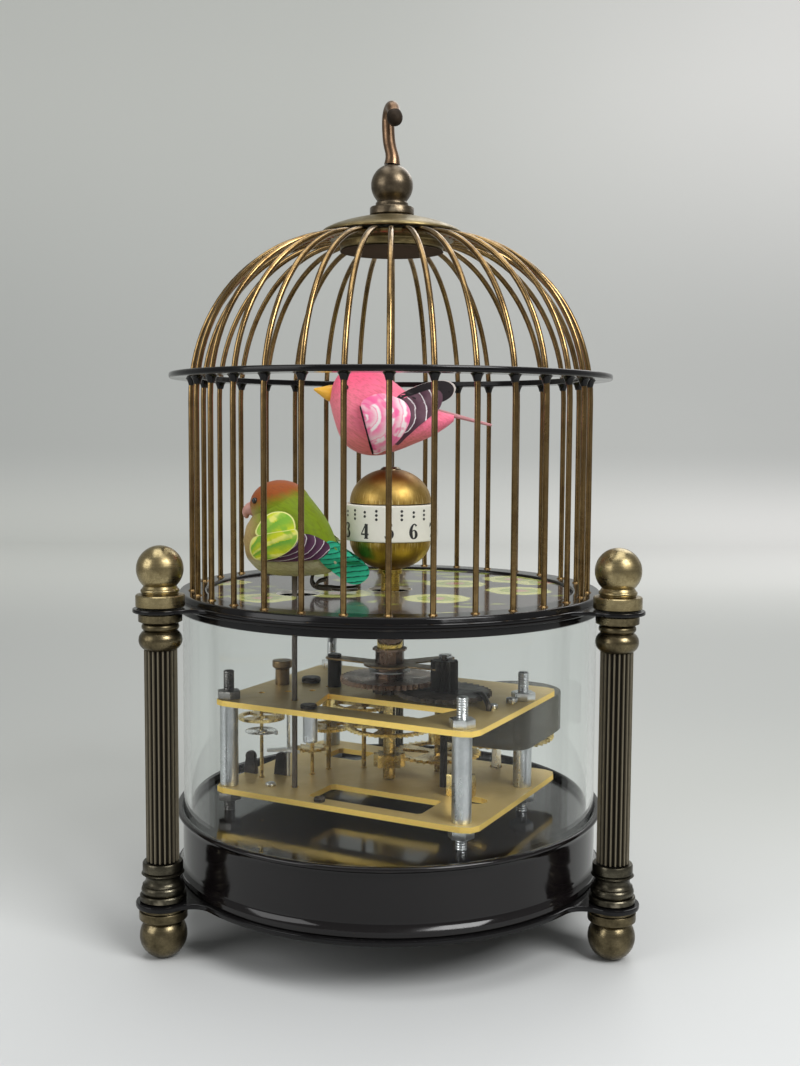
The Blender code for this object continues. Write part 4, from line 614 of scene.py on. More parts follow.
@dataclass(frozen=True)
class Plumage(Finish):
    """Painted plumage that changes colour from the crown to the belly."""

    crown: Colour = (0.8, 0.1, 0.2)
    back: Colour = (0.8, 0.2, 0.3)
    breast: Colour = (0.9, 0.4, 0.35)
    belly: Colour = (0.9, 0.5, 0.4)
    crown_height: tuple[float, float] = (0.020, 0.027)
    belly_height: tuple[float, float] = (0.0085, 0.0065)
    breast_reach: tuple[float, float] = (-0.004, -0.013)
    sheen: float = 0.08
    gloss: float = 0.2

    def dress(self, graph: Graph, shader: bpy.types.Node) -> None:
        """Write the colour bands, softened by strands, into the shader.

        Args:
            graph: The material's writer.
            shader: Its shader.
        """
        strands = graph.group("fibres", Scale=1400.0, Length=0.2).outputs["Value"]
        x, _, z = graph.split(graph.place())
        stray = graph.times(graph.less(strands, 0.5), 0.004)
        height = graph.add(z, stray)
        reach = graph.add(graph.add(x, stray), graph.times(z, 0.15))
        colour = graph.mix(graph.span(reach, *self.breast_reach), self.back, self.breast)
        colour = graph.mix(graph.span(graph.less(height, graph.times(x, 0.35)), *self.crown_height),
                           colour, self.crown)
        colour = graph.mix(graph.span(height, *self.belly_height), colour, self.belly)
        shade = graph.node("Mix", data_type="RGBA", blend_type="MULTIPLY")
        graph.feed(shade.inputs["Factor"], graph.span(strands, 0.62, 0.3, 0.0, 0.55))
        sockets = [item for item in shade.inputs if item.type == "RGBA"]
        graph.feed(sockets[0], colour)
        graph.feed(sockets[1], (0.62, 0.52, 0.45, 1.0))
        self.coat(graph, shader, next(item for item in shade.outputs if item.type == "RGBA"),
                  graph.span(strands, 0.2, 0.8, 0.48, 0.72))
        shader.inputs["Sheen Weight"].default_value = self.sheen
        shader.inputs["Specular IOR Level"].default_value = self.gloss
        self.bump(graph, shader, strands, 0.35, 0.00025)


@dataclass(frozen=True)
class Quill(Finish):
    """A cut feather with stripes: rings about a root, or rays from it."""

    base: Colour = (0.07, 0.03, 0.05)
    stripe: Colour = (0.75, 0.70, 0.72)
    second: Colour = (0.12, 0.05, 0.08)
    root: tuple[float, float] = (0.0, 0.0)
    pitch: float = 0.0022
    thin: float = 0.12
    squeeze: float = 1.0
    rays: bool = False
    splash: Colour | None = None
    gloss: float = 0.2

    def dress(self, graph: Graph, shader: bpy.types.Node) -> None:
        """Write the stripes about the root into the shader.

        Args:
            graph: The material's writer.
            shader: Its shader.
        """
        x, _, z = graph.split(graph.place())
        across = graph.less(x, self.root[0])
        up = graph.times(graph.less(z, self.root[1]), self.squeeze)
        reach = graph.reach(across, up)
        strands = graph.group("fibres", Scale=1600.0, Length=0.25).outputs["Value"]
        stray = graph.less(strands, 0.5)
        if self.rays:
            bend = graph.times(reach, 22.0)
            turn = graph.add(graph.math("ARCTAN2", up, across), bend)
            turn = graph.add(turn, graph.times(stray, 0.10))
        else:
            sway = graph.less(graph.noise(graph.place(), 260.0, 2.0), 0.5)
            turn = graph.add(reach, graph.times(stray, 0.0005))
            turn = graph.add(turn, graph.times(sway, self.pitch * 0.5))
        turn = graph.math("FRACT", graph.math("DIVIDE", turn, self.pitch))
        rise = graph.span(turn, 0.0, self.thin / 3)
        line = graph.times(rise, graph.span(turn, self.thin, self.thin * 0.66))
        colour = graph.mix(graph.span(turn, self.thin, 1.0), self.base, self.second)
        colour = graph.mix(line, colour, self.stripe)
        blend = graph.noise(graph.place(), 420.0, 2.0)
        colour = graph.mix(graph.span(blend, 0.45, 0.75, 0.0, 0.45), colour, self.second)
        if self.splash:
            spots = graph.noise(graph.place(), 190.0, 2.0)
            colour = graph.mix(graph.span(spots, 0.52, 0.60, 0.0, 0.8), colour, self.splash)
        self.coat(graph, shader, colour, graph.span(strands, 0.2, 0.8, 0.45, 0.65))
        shader.inputs["Specular IOR Level"].default_value = self.gloss
        self.bump(graph, shader, graph.add(strands, line), 0.3, 0.0001)


@dataclass(frozen=True)
class Ground(Finish):
    """The plain floor and backdrop, a soft grey with painted light: lighter on the right and near the
    camera, with painted shade in bands and blotches and a painted glow far away.
    """

    # Painted light falloff: from the darker left colour to the lighter right one.
    left: Colour = (0.455, 0.465, 0.440)
    right: Colour = (0.710, 0.705, 0.690)
    # Colour of the painted shade in bands and blotches.
    dip: Colour = (0.335, 0.345, 0.335)
    # Painted light: the floor near the camera is lighter.
    near: Colour = (0.53, 0.54, 0.54)
    # Strength of the painted glow that the far floor and backdrop give off.
    glow: float = 0.45

    def dress(self, graph: Graph, shader: bpy.types.Node) -> None:
        """Write the painted light falloff, the painted shade and the painted glow far away into the
        shader.

        Args:
            graph: The material's writer.
            shader: Its shader.
        """
        x, y, z = graph.split(graph.place())
        # Painted light: lighter towards the right and the back.
        painted_light_rightward = graph.times(graph.span(x, -0.15, 0.70), graph.span(y, 0.1, 1.1))
        colour = graph.mix(painted_light_rightward, self.left, self.right)
        # Painted shade: a darker band low on the backdrop.
        low = graph.times(graph.span(z, 0.01, 0.12), graph.span(z, 0.62, 0.2))
        colour = graph.mix(graph.times(low, 0.72), colour, self.dip)
        # Painted shade: a darker band across the middle of the floor.
        middle = graph.times(graph.span(y, -0.05, 0.30), graph.span(y, 0.85, 0.45))
        colour = graph.mix(graph.times(middle, 0.60), colour, self.dip)
        # Painted light: the near floor takes the lighter near colour.
        colour = graph.mix(graph.span(y, 0.15, -0.12), colour, self.near)
        # Painted shade: faint darker blotches.
        soft = graph.noise(graph.place(), 1.6, 2.0)
        colour = graph.mix(graph.span(soft, 0.35, 0.65, 0.0, 0.08), colour, self.dip)
        graph.feed(shader.inputs["Base Color"], colour)
        shader.inputs["Roughness"].default_value = 0.6
        # Painted glow: the far floor and backdrop give off light to the camera, to reflections and
        # through glass, though they are no lamp.
        light = graph.node("LightPath")
        seen = graph.add(light.outputs["Is Camera Ray"], light.outputs["Is Glossy Ray"])
        seen = graph.add(seen, light.outputs["Is Transmission Ray"], True)
        far = graph.times(seen, graph.span(y, 0.15, 1.05))
        graph.feed(shader.inputs["Emission Color"], graph.mix(far, (0.0, 0.0, 0.0), colour))
        shader.inputs["Emission Strength"].default_value = self.glow


@dataclass(frozen=True)
class Gilt(Metal):
    """Gilt sheet, browned round its pole."""

    pole: float = 0.1330
    seam: float = 0.1230
    brown: Colour = (0.24, 0.125, 0.030)
    streak: Colour = (0.86, 0.68, 0.30)

    def dress(self, graph: Graph, shader: bpy.types.Node) -> None:
        """Write the gilding, the brown pole and the streaks by the band into the shader.

        Args:
            graph: The material's writer.
            shader: Its shader.
        """
        super().dress(graph, shader)
        x, y, height = graph.split(graph.place())
        stray = graph.times(graph.noise(graph.place(), 500.0, 3.0), 0.0026)
        away = graph.math("ABSOLUTE", graph.less(self.pole, graph.add(height, stray)))
        gilding = shader.inputs["Base Color"].links[0].from_socket
        share = graph.span(away, 0.0056, 0.0012, 0.0, 0.85)
        colour = graph.mix(share, gilding, self.brown)
        turn = graph.math("ARCTAN2", y, x)
        lines = graph.noise(graph.join((graph.times(turn, 16.0), graph.times(height, 120.0), 0.0)), 1.6,
                            3.0)
        near = graph.span(graph.math("ABSOLUTE", graph.less(height, self.seam)), 0.0045, 0.0005)
        dark = graph.times(graph.span(lines, 0.47, 0.38), near)
        light = graph.times(graph.span(lines, 0.55, 0.66), near)
        colour = graph.mix(graph.times(dark, 0.75), colour, self.brown)
        colour = graph.mix(graph.times(light, 0.7), colour, self.streak)
        graph.feed(shader.inputs["Base Color"], colour)


@dataclass(frozen=True)
class Sheet(Metal):
    """Brushed sheet metal with a bright cut edge."""

    rim: Colour = (0.95, 0.66, 0.16)

    def dress(self, graph: Graph, shader: bpy.types.Node) -> None:
        """Write the brushing and the bright edge into the shader.

        Args:
            graph: The material's writer.
            shader: Its shader.
        """
        super().dress(graph, shader)
        faces = shader.inputs["Base Color"].links[0].from_socket
        upright = graph.math("ABSOLUTE", graph.split(graph.node("NewGeometry").outputs["Normal"])[2])
        colour = graph.mix(graph.span(upright, 0.80, 0.35), faces, self.rim)
        graph.feed(shader.inputs["Base Color"], colour)


@dataclass(frozen=True)
class Fluting(Metal):
    """Fluted brass with painted shade deep in its flutes."""

    # Painted shade colour deep in the flutes.
    groove: Colour = (0.010, 0.008, 0.005)
    floor: float = 0.00372
    ridge: float = 0.00442

    def dress(self, graph: Graph, shader: bpy.types.Node) -> None:
        """Write the painted shade of the flutes between the ridges into the shader.

        Args:
            graph: The material's writer.
            shader: Its shader.
        """
        super().dress(graph, shader)
        x, y, _ = graph.split(graph.place())
        ridges = shader.inputs["Base Color"].links[0].from_socket
        # Painted shade: faces deep in the flutes take the dark colour.
        out = graph.span(graph.reach(x, y), self.floor, self.ridge)
        graph.feed(shader.inputs["Base Color"], graph.mix(out, self.groove, ridges))


AGED = Metal("aged brass", "aged_brass", deep=(0.050, 0.040, 0.022), base=(0.185, 0.150, 0.085),
             worn=(0.50, 0.41, 0.24), rough=(0.24, 0.42), wear=(0.56, 0.70), marks=0.3, dusty=0.1)
BALL = Metal("handled ball", "aged_brass", deep=(0.160, 0.125, 0.060), base=(0.400, 0.325, 0.175),
             worn=(0.60, 0.49, 0.27), rough=(0.22, 0.38), wear=(0.56, 0.70), marks=0.3)
SOOTED = Metal("darkened moulding", "aged_brass", deep=(0.024, 0.021, 0.015), base=(0.105, 0.095, 0.068),
               worn=(0.34, 0.30, 0.22), rough=(0.26, 0.44), wear=(0.56, 0.70), marks=0.3)
FLUTED = Fluting("dark fluting", "aged_brass", deep=(0.044, 0.037, 0.025), base=(0.080, 0.067, 0.046),
                 worn=(0.19, 0.165, 0.115), rough=(0.34, 0.5), wear=(0.54, 0.64), lathe=False,
                 run=(900.0, 900.0, 60.0), marks=0.3, metallic=0.5, gloss=0.2)
BRONZE = Metal("bronzed wire", "aged_brass", deep=(0.125, 0.075, 0.030), base=(0.340, 0.225, 0.095),
               worn=(0.60, 0.45, 0.20), rough=(0.15, 0.27), wear=(0.80, 0.98), blotches=160.0,
               lathe=False, run=(900.0, 900.0, 70.0), marks=0.15)
CROWN = Metal("olive brass", "aged_brass", deep=(0.120, 0.092, 0.042), base=(0.245, 0.192, 0.088),
              worn=(0.46, 0.37, 0.18), rough=(0.3, 0.46), wear=(0.56, 0.70), marks=0.3, dusty=0.05)
IRON_BRASS = Metal("darkened finial", "aged_brass", deep=(0.060, 0.047, 0.032),
                   base=(0.150, 0.118, 0.078), worn=(0.34, 0.28, 0.19), rough=(0.28, 0.42),
                   wear=(0.56, 0.70), marks=0.35, dusty=0.1)
COPPER = Metal("coppered hook", "copper", deep=(0.10, 0.060, 0.036), base=(0.215, 0.135, 0.080),
               worn=(0.55, 0.32, 0.20), rough=(0.28, 0.42), wear=(0.60, 0.75), blotches=260.0,
               lathe=False, run=(500.0, 500.0, 120.0), marks=0.3)
GOLD = Gilt("gilt globe", "gold_brass", deep=(0.34, 0.210, 0.050), base=(0.52, 0.355, 0.105),
            worn=(0.80, 0.62, 0.26), rough=(0.36, 0.50), wear=(0.60, 0.75), spread=0.3, lathe=False,
            run=(2400.0, 2400.0, 60.0), marks=0.55)
UNDER_GOLD = Gilt("gilt globe underside", "gold_brass", deep=(0.38, 0.245, 0.040),
                  base=(0.60, 0.405, 0.075), worn=(0.70, 0.52, 0.16), rough=(0.34, 0.48),
                  wear=(0.60, 0.75), spread=0.3, lathe=False, run=(2400.0, 2400.0, 60.0), marks=0.55,
                  pole=0.1030, seam=0.1119)
# Painted shade: the hook's end is nearly black for the shadow under its tip.
PAINTED_SHADE_TIP = Metal("painted shade hook tip", "copper", deep=(0.016, 0.011, 0.007), base=(0.036, 0.025, 0.016),
            worn=(0.12, 0.08, 0.05), rough=(0.5, 0.7), wear=(0.60, 0.75), lathe=False,
            run=(500.0, 500.0, 120.0), marks=0.3, metallic=0.2, gloss=0.1)
SHADED = Metal("shaded underside", "aged_brass", deep=(0.018, 0.013, 0.009), base=(0.036, 0.028, 0.020),
               worn=(0.09, 0.07, 0.05), rough=(0.7, 0.9), marks=0.2, metallic=0.0, gloss=0.0)
TAN = Metal("tan bridge", "plate_brass", deep=(0.16, 0.105, 0.050), base=(0.27, 0.185, 0.090),
            worn=(0.45, 0.34, 0.17), rough=(0.30, 0.45), lathe=False, run=(60.0, 2600.0, 2600.0),
            marks=0.15)
BLUED = Metal("dark nut", "dark_steel", deep=(0.070, 0.066, 0.062), base=(0.150, 0.145, 0.135),
              worn=(0.34, 0.33, 0.31), rough=(0.34, 0.5), metallic=0.8, gloss=0.3, marks=0.25)
TUBE = Metal("brass tube", "gold_brass", deep=(0.42, 0.28, 0.06), base=(0.68, 0.49, 0.13),
             worn=(0.84, 0.66, 0.25), rough=(0.18, 0.32), wear=(0.60, 0.75))
PLATE = Sheet("movement brass", "plate_brass", deep=(0.50, 0.365, 0.135), base=(0.66, 0.50, 0.20),
              worn=(0.80, 0.62, 0.24), rough=(0.36, 0.48), wear=(0.80, 0.98), blotches=60.0, spread=0.35,
              lathe=False, run=(60.0, 2600.0, 2600.0), marks=0.06, metallic=0.5, gloss=0.4)
WHEEL = Metal("wheel brass", "plate_brass", deep=(0.28, 0.20, 0.075), base=(0.48, 0.36, 0.145),
              worn=(0.80, 0.63, 0.28), rough=(0.18, 0.32))
STEEL = Metal("bright steel", "bright_steel", deep=(0.42, 0.43, 0.44), base=(0.62, 0.63, 0.63),
              worn=(0.84, 0.84, 0.82), rough=(0.24, 0.40), blotches=120.0, lathe=False,
              run=(1200.0, 1200.0, 80.0), marks=0.15)
DARK = Metal("burnished steel", "dark_steel", deep=(0.006, 0.005, 0.004), base=(0.020, 0.016, 0.013),
             worn=(0.15, 0.125, 0.10), rough=(0.34, 0.50), metallic=0.3, gloss=0.2, marks=0.2)
BROWNED = Metal("browned steel", "dark_steel", deep=(0.070, 0.042, 0.028), base=(0.150, 0.095, 0.065),
                worn=(0.36, 0.26, 0.20), rough=(0.24, 0.4), lathe=False, run=(1800.0, 1800.0, 80.0),
                marks=0.2)
BLACK = Lacquer("black lacquer", "black_lacquer", gloss=0.24)
DRUM_BLACK = Lacquer("drum lacquer", "black_lacquer", base=(0.0050, 0.0040, 0.0042), rough=(0.07, 0.18),
                     dusty=0.06, gloss=0.34)
CLEAR = Glass("clear glass", "clear_glass")
SMOKE = Plastic("smoked housing", "smoked_plastic", base=(0.034, 0.029, 0.014),
                shade=(0.060, 0.050, 0.025), rough=(0.12, 0.26), alpha=0.82)
ENAMEL = Plastic("hour band", "white_band", base=(0.85, 0.84, 0.75), shade=(0.72, 0.70, 0.61),
                 rough=(0.32, 0.46))
INK = Plastic("numeral ink", "white_band", base=(0.012, 0.012, 0.012), shade=(0.03, 0.03, 0.03),
              rough=(0.4, 0.55), scale=600.0)
PRINT = Blossoms("printed blossoms", "floral_print")
# Painted light: pale walls in the disc's holes for the light that comes up through them.
HOLE_PAINTED_LIGHT = Plastic("hole wall painted light", "floral_print", base=(0.80, 0.79, 0.75), shade=(0.68, 0.66, 0.62),
               rough=(0.5, 0.7))
PINK_COAT = Plumage("pink plumage", "pink_bird", crown=(0.96, 0.115, 0.24), back=(0.94, 0.20, 0.32),
                    breast=(0.98, 0.28, 0.34), belly=(0.90, 0.25, 0.26), crown_height=(0.022, 0.033),
                    belly_height=(0.013, 0.007))
GREEN_COAT = Plumage("green plumage", "green_bird", crown=(0.30, 0.072, 0.009),
                     back=(0.185, 0.275, 0.006), breast=(0.50, 0.36, 0.14), belly=(0.56, 0.53, 0.36),
                     crown_height=(0.0262, 0.0305), belly_height=(0.0105, 0.0088),
                     breast_reach=(-0.004, -0.0105))
BEAK_YELLOW = Plastic("yellow beak", "pink_bird", base=(0.90, 0.50, 0.03), shade=(0.74, 0.33, 0.02),
                      rough=(0.3, 0.45), scale=300.0)
BEAK_ROSE = Plastic("rose beak", "green_bird", base=(0.62, 0.33, 0.27), shade=(0.40, 0.20, 0.17),
                    rough=(0.35, 0.5), scale=300.0)
EYE = Plastic("eye", "pink_bird", base=(0.01, 0.01, 0.01), shade=(0.02, 0.02, 0.02), rough=(0.08, 0.12))
TAIL_STICK = Plastic("tail stick", "pink_bird", base=(0.60, 0.28, 0.29), shade=(0.36, 0.14, 0.16),
                     rough=(0.5, 0.7), scale=500.0)
WINE = Quill("wine feather", "feather", root=(0.0010, 0.0160), pitch=0.0030, base=(0.070, 0.028, 0.045),
             second=(0.125, 0.062, 0.085), thin=0.15)
VIOLET = Quill("violet feather", "feather", root=(-0.0055, 0.0155), pitch=0.0024,
               base=(0.055, 0.020, 0.045), second=(0.105, 0.040, 0.085), thin=0.14, squeeze=2.0)
ROSE = Quill("rose feather", "feather", root=(-0.0075, 0.0150), pitch=0.0036, base=(0.93, 0.22, 0.42),
             stripe=(0.93, 0.84, 0.84), second=(0.93, 0.66, 0.70), thin=0.42, splash=(0.90, 0.10, 0.32))
LIME = Quill("lime feather", "feather", root=(-0.0135, 0.0085), pitch=0.42, base=(0.66, 0.72, 0.030),
             stripe=(0.84, 0.84, 0.20), second=(0.16, 0.42, 0.055), thin=0.34, rays=True,
             splash=(0.24, 0.50, 0.05))
LEMON = Plastic("lemon rim", "feather", base=(0.84, 0.84, 0.36), shade=(0.74, 0.76, 0.16),
                rough=(0.5, 0.7), scale=500.0)
TEAL = Quill("teal feather", "feather", root=(0.010, 0.070), pitch=0.0015, base=(0.020, 0.34, 0.19),
             stripe=(0.006, 0.065, 0.05), second=(0.035, 0.44, 0.27), thin=0.30)
NIGHT = Quill("black feather", "feather", root=(0.0, 0.03), pitch=0.02, base=(0.008, 0.006, 0.007),
              second=(0.02, 0.015, 0.017), stripe=(0.04, 0.03, 0.03))
PALE = Plastic("feather rim", "feather", base=(0.80, 0.77, 0.72), shade=(0.66, 0.62, 0.58),
               rough=(0.5, 0.7), scale=500.0)


# Shapes


def new_object(name: str, mesh: Mesh, finish: Finish, place: Vector | tuple = (0, 0, 0),
               angle: float = 35.0) -> bpy.types.Object:
    """Put a mesh in the scene.

    Args:
        name: The object's name.
        mesh: Its mesh, about its own origin.
        finish: Its finish.
        place: Where its origin goes, in metres.
        angle: Edges sharper than this many degrees stay sharp.

    Returns:
        The new object.
    """
    mesh.shade_smooth()
    mesh.set_sharp_from_angle(angle=math.radians(angle))
    made = bpy.data.objects.new(name, mesh)
    made.location = place
    made.data.materials.clear()
    made.data.materials.append(finish.material())
    bpy.context.scene.collection.objects.link(made)
    return made


def from_bmesh(name: str, work: bmesh.types.BMesh) -> Mesh:
    """Turn a bmesh into a mesh with outward faces, and free it.

    Args:
        name: The mesh's name.
        work: The faces, still open to edits.

    Returns:
        The finished mesh.
    """
    bmesh.ops.remove_doubles(work, verts=work.verts, dist=0.000001)
    bmesh.ops.recalc_face_normals(work, faces=work.faces)
    mesh = bpy.data.meshes.new(name)
    work.to_mesh(mesh)
    work.free()
    return mesh


def turned_mesh(name: str, profile: Profile, sides: int = 96) -> Mesh:
    """Turn a profile about Z; it is closed where neither end lies on the axis.

    Args:
        name: The mesh's name.
        profile: Points of radius and height.
        sides: Facets round the axis.

    Returns:
        The turned mesh.
    """
    work = bmesh.new()
    rings = []
    for radius, height in profile:
        if radius < 1e-6:
            rings.append([work.verts.new((0, 0, height))])
            continue
        rings.append([work.verts.new((x, y, height)) for x, y in circle((0, 0), radius, sides)])
    pairs = list(zip(rings, rings[1:]))
    if len(rings[0]) > 1 and len(rings[-1]) > 1:
        pairs.append((rings[-1], rings[0]))
    for first, second in pairs:
        for side in range(sides):
            following = (side + 1) % sides
            spots = [ring[turn % len(ring)] for ring, turn in (
                (first, side), (second, side), (second, following), (first, following),
            )]
            spots = list(dict.fromkeys(spots))
            if len(spots) > 2:
                work.faces.new(spots)
    return from_bmesh(name, work)


def rounded(profile: Profile, radius: float, steps: int = 3) -> Profile:
    """Round the corners of a closed or open profile.

    Args:
        profile: Points of radius and height.
        radius: Size of the rounding.
        steps: Facets in each rounding.

    Returns:
        The profile with its inner corners rounded.
    """
    points = [Vector(point) for point in profile]
    result: Profile = [profile[0]]
    for before, corner, after in zip(points, points[1:], points[2:]):
        cut = min(radius, (before - corner).length * 0.40, (after - corner).length * 0.40)
        start = corner + (before - corner).normalized() * cut
        end = corner + (after - corner).normalized() * cut
        shares = [step / steps for step in range(steps + 1)]
        arc = [start.lerp(corner, share).lerp(corner.lerp(end, share), share) for share in shares]
        guards = (start.lerp(before, 0.06), end.lerp(after, 0.06))
        result += [(max(0.0, point.x), point.y) for point in (guards[0], *arc, guards[1])]
    result.append(profile[-1])
    return result


def settle(piece: bpy.types.Object, body: Body = Body.FRAME, node: str = "") -> None:
    """Let a piece ride on a body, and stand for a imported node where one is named."""
    if node:
        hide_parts(node)
    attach(piece, body.value)


def bow(centre: tuple[float, float], radius: float, start: float, end: float, steps: int) -> Profile:
    """Points of an arc, its angles in degrees."""
    turns = (math.radians(start + (end - start) * step / steps) for step in range(steps + 1))
    return [(centre[0] + radius * math.cos(turn), centre[1] + radius * math.sin(turn)) for turn in turns]


def tube_mesh(name: str, points: list[Vector], radii: list[float] | float, sides: int = 12) -> Mesh:
    """Sweep a round section along points.

    Args:
        name: The mesh's name.
        points: The middle line.
        radii: One radius, or one for each point.
        sides: Facets round the tube.

    Returns:
        The tube with closed ends.
    """
    if not isinstance(radii, list):
        radii = [radii] * len(points)
    work = bmesh.new()
    rings = []
    normal = None
    for index, point in enumerate(points):
        along = (points[min(index + 1, len(points) - 1)] - points[max(index - 1, 0)]).normalized()
        if normal is None:
            normal = along.orthogonal().normalized()
        normal = (normal - along * normal.dot(along)).normalized()
        side_way = along.cross(normal)
        turns = (math.tau * side / sides for side in range(sides))
        rings.append([
            work.verts.new(point + (normal * math.cos(turn) + side_way * math.sin(turn)) * radii[index])
            for turn in turns
        ])
    skin(work, rings)
    work.faces.new(rings[0])
    work.faces.new(rings[-1])
    return from_bmesh(name, work)


def flat_mesh(name: str, outlines: list[Profile], bottom: float, thickness: float,
              edge: float = 0.0) -> Mesh:
    """Extrude flat outlines with softened edges.

    Args:
        name: The mesh's name.
        outlines: The outer outline and then its holes.
        bottom: Height of the lower face.
        thickness: Distance between the faces.
        edge: Size of the softened edge.

    Returns:
        The plate's mesh.
    """
    curve = bpy.data.curves.new(name, "CURVE")
    curve.dimensions = "2D"
    curve.fill_mode = "BOTH"
    curve.extrude = thickness / 2 - edge
    curve.bevel_depth = edge
    curve.bevel_resolution = 1
    curve.offset = -edge
    for outline in outlines:
        spline = curve.splines.new("POLY")
        spline.points.add(len(outline) - 1)
        for point, (x, y) in zip(spline.points, outline):
            point.co = (x, y, 0, 1)
        spline.use_cyclic_u = True
    holder = bpy.data.objects.new(name, curve)
    bpy.context.scene.collection.objects.link(holder)
    bpy.context.view_layer.update()
    mesh = bpy.data.meshes.new_from_object(holder.evaluated_get(bpy.context.evaluated_depsgraph_get()))
    bpy.data.objects.remove(holder, do_unlink=True)
    mesh.transform(Matrix.Translation((0, 0, bottom + thickness / 2)))
    mesh.materials.clear()
    return mesh


def pillow_mesh(name: str, outline: Profile, thickness: float) -> Mesh:
    """A soft flat body over an outline in the XZ plane.

    Args:
        name: The mesh's name.
        outline: Its corners, smoothed into a closed line.
        thickness: How far each side stands out at the middle.

    Returns:
        The closed mesh.
    """
    corners = [Vector((x, z, 0)) for x, z in outline]
    looped = corners[-1:] + corners + corners[:2]
    ring = smooth_line(looped, 5)[5:5 + 5 * len(corners)]
    middle = sum(ring, Vector()) / len(ring)
    work = bmesh.new()
    rim = [work.verts.new((point.x, 0, point.y)) for point in ring]
    for side in (-1.0, 1.0):
        rows = [rim]
        for share in (0.94, 0.80, 0.60, 0.35):
            stand = side * thickness * math.sqrt(1 - share ** 2)
            spots = [middle + (point - middle) * share for point in ring]
            rows.append([work.verts.new((spot.x, stand, spot.y)) for spot in spots])
        skin(work, rows, work.verts.new((middle.x, side * thickness, middle.y)))
    return from_bmesh(name, work)


def circle(centre: tuple[float, float], radius: float, sides: int = 64) -> Profile:
    """Points round a circle."""
    return bow(centre, radius, 0, 360 - 360 / sides, sides - 1)


def merged(name: str, meshes: list[Mesh]) -> Mesh:
    """Put several meshes into one.

    Args:
        name: The new mesh's name.
        meshes: The meshes to join; they are removed.

    Returns:
        The joined mesh.
    """
    work = bmesh.new()
    for mesh in meshes:
        work.from_mesh(mesh)
        bpy.data.meshes.remove(mesh)
    result = bpy.data.meshes.new(name)
    work.to_mesh(result)
    work.free()
    return result


def skin(work: bmesh.types.BMesh, rows: list[list], heart: bmesh.types.BMVert | None = None) -> None:
    """Join closed rows of points with faces.

    Args:
        work: The mesh that takes the faces.
        rows: The rows, each with as many points.
        heart: A point that closes the last row.
    """
    count = len(rows[0])
    for first, second in zip(rows, rows[1:]):
        for index in range(count):
            after = (index + 1) % count
            work.faces.new((first[index], first[after], second[after], second[index]))
    if heart:
        for index in range(count):
            work.faces.new((rows[-1][index], rows[-1][(index + 1) % count], heart))


def span_z(node: str) -> tuple[float, float]:
    """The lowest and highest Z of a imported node."""
    low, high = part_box(node)
    return low.z, high.z


def vectors(*spots: Spot) -> list[Vector]:
    """Give triples as vectors."""
    return [Vector(spot) for spot in spots]


def smooth_line(points: list[Vector], steps: int) -> list[Vector]:
    """Points along a smooth curve through the given ones.

    Args:
        points: The points that the curve passes.
        steps: Points made for each stretch.

    Returns:
        The finer line, with both ends.
    """
    line = []
    for index in range(len(points) - 1):
        before, start = points[max(index - 1, 0)], points[index]
        end, after = points[index + 1], points[min(index + 2, len(points) - 1)]
        for step in range(steps):
            t = step / steps
            first = (end - before) * t
            second = (2 * before - 5 * start + 4 * end - after) * t ** 2
            third = (3 * start - before - 3 * end + after) * t ** 3
            line.append(0.5 * (2 * start + first + second + third))
    line.append(points[-1])
    return line


# Sub-assemblies


@dataclass
class Assembly:
    """A sub-assembly whose shapes are given about the clock's axis."""

    centre: Vector

    def fixed(self, name: str, mesh: Mesh, finish: Finish, node: str = "", body: Body = Body.FRAME,
              lift: float = 0.0) -> None:
        """Place a mesh that is drawn about the axis.

        Args:
            name: The piece's name.
            mesh: Its mesh.
            finish: Its finish.
            node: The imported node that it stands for, if any.
            body: What it rides on.
            lift: Height of its origin.
        """
        settle(new_object(name, mesh, finish, self.centre + Vector((0, 0, lift))), body, node)

    def turned(self, name: str, profile: Profile, finish: Finish, node: str = "", sides: int = 96,
               body: Body = Body.FRAME, lift: float = 0.0) -> None:
        """Turn a profile about the axis and place it.

        Args:
            name: The piece's name.
            profile: Points of radius and height.
            finish: Its finish.
            node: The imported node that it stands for, if any.
            sides: Facets round the axis.
            body: What it rides on.
            lift: Height of its origin.
        """
        self.fixed(name, turned_mesh(name, profile, sides), finish, node, body, lift)


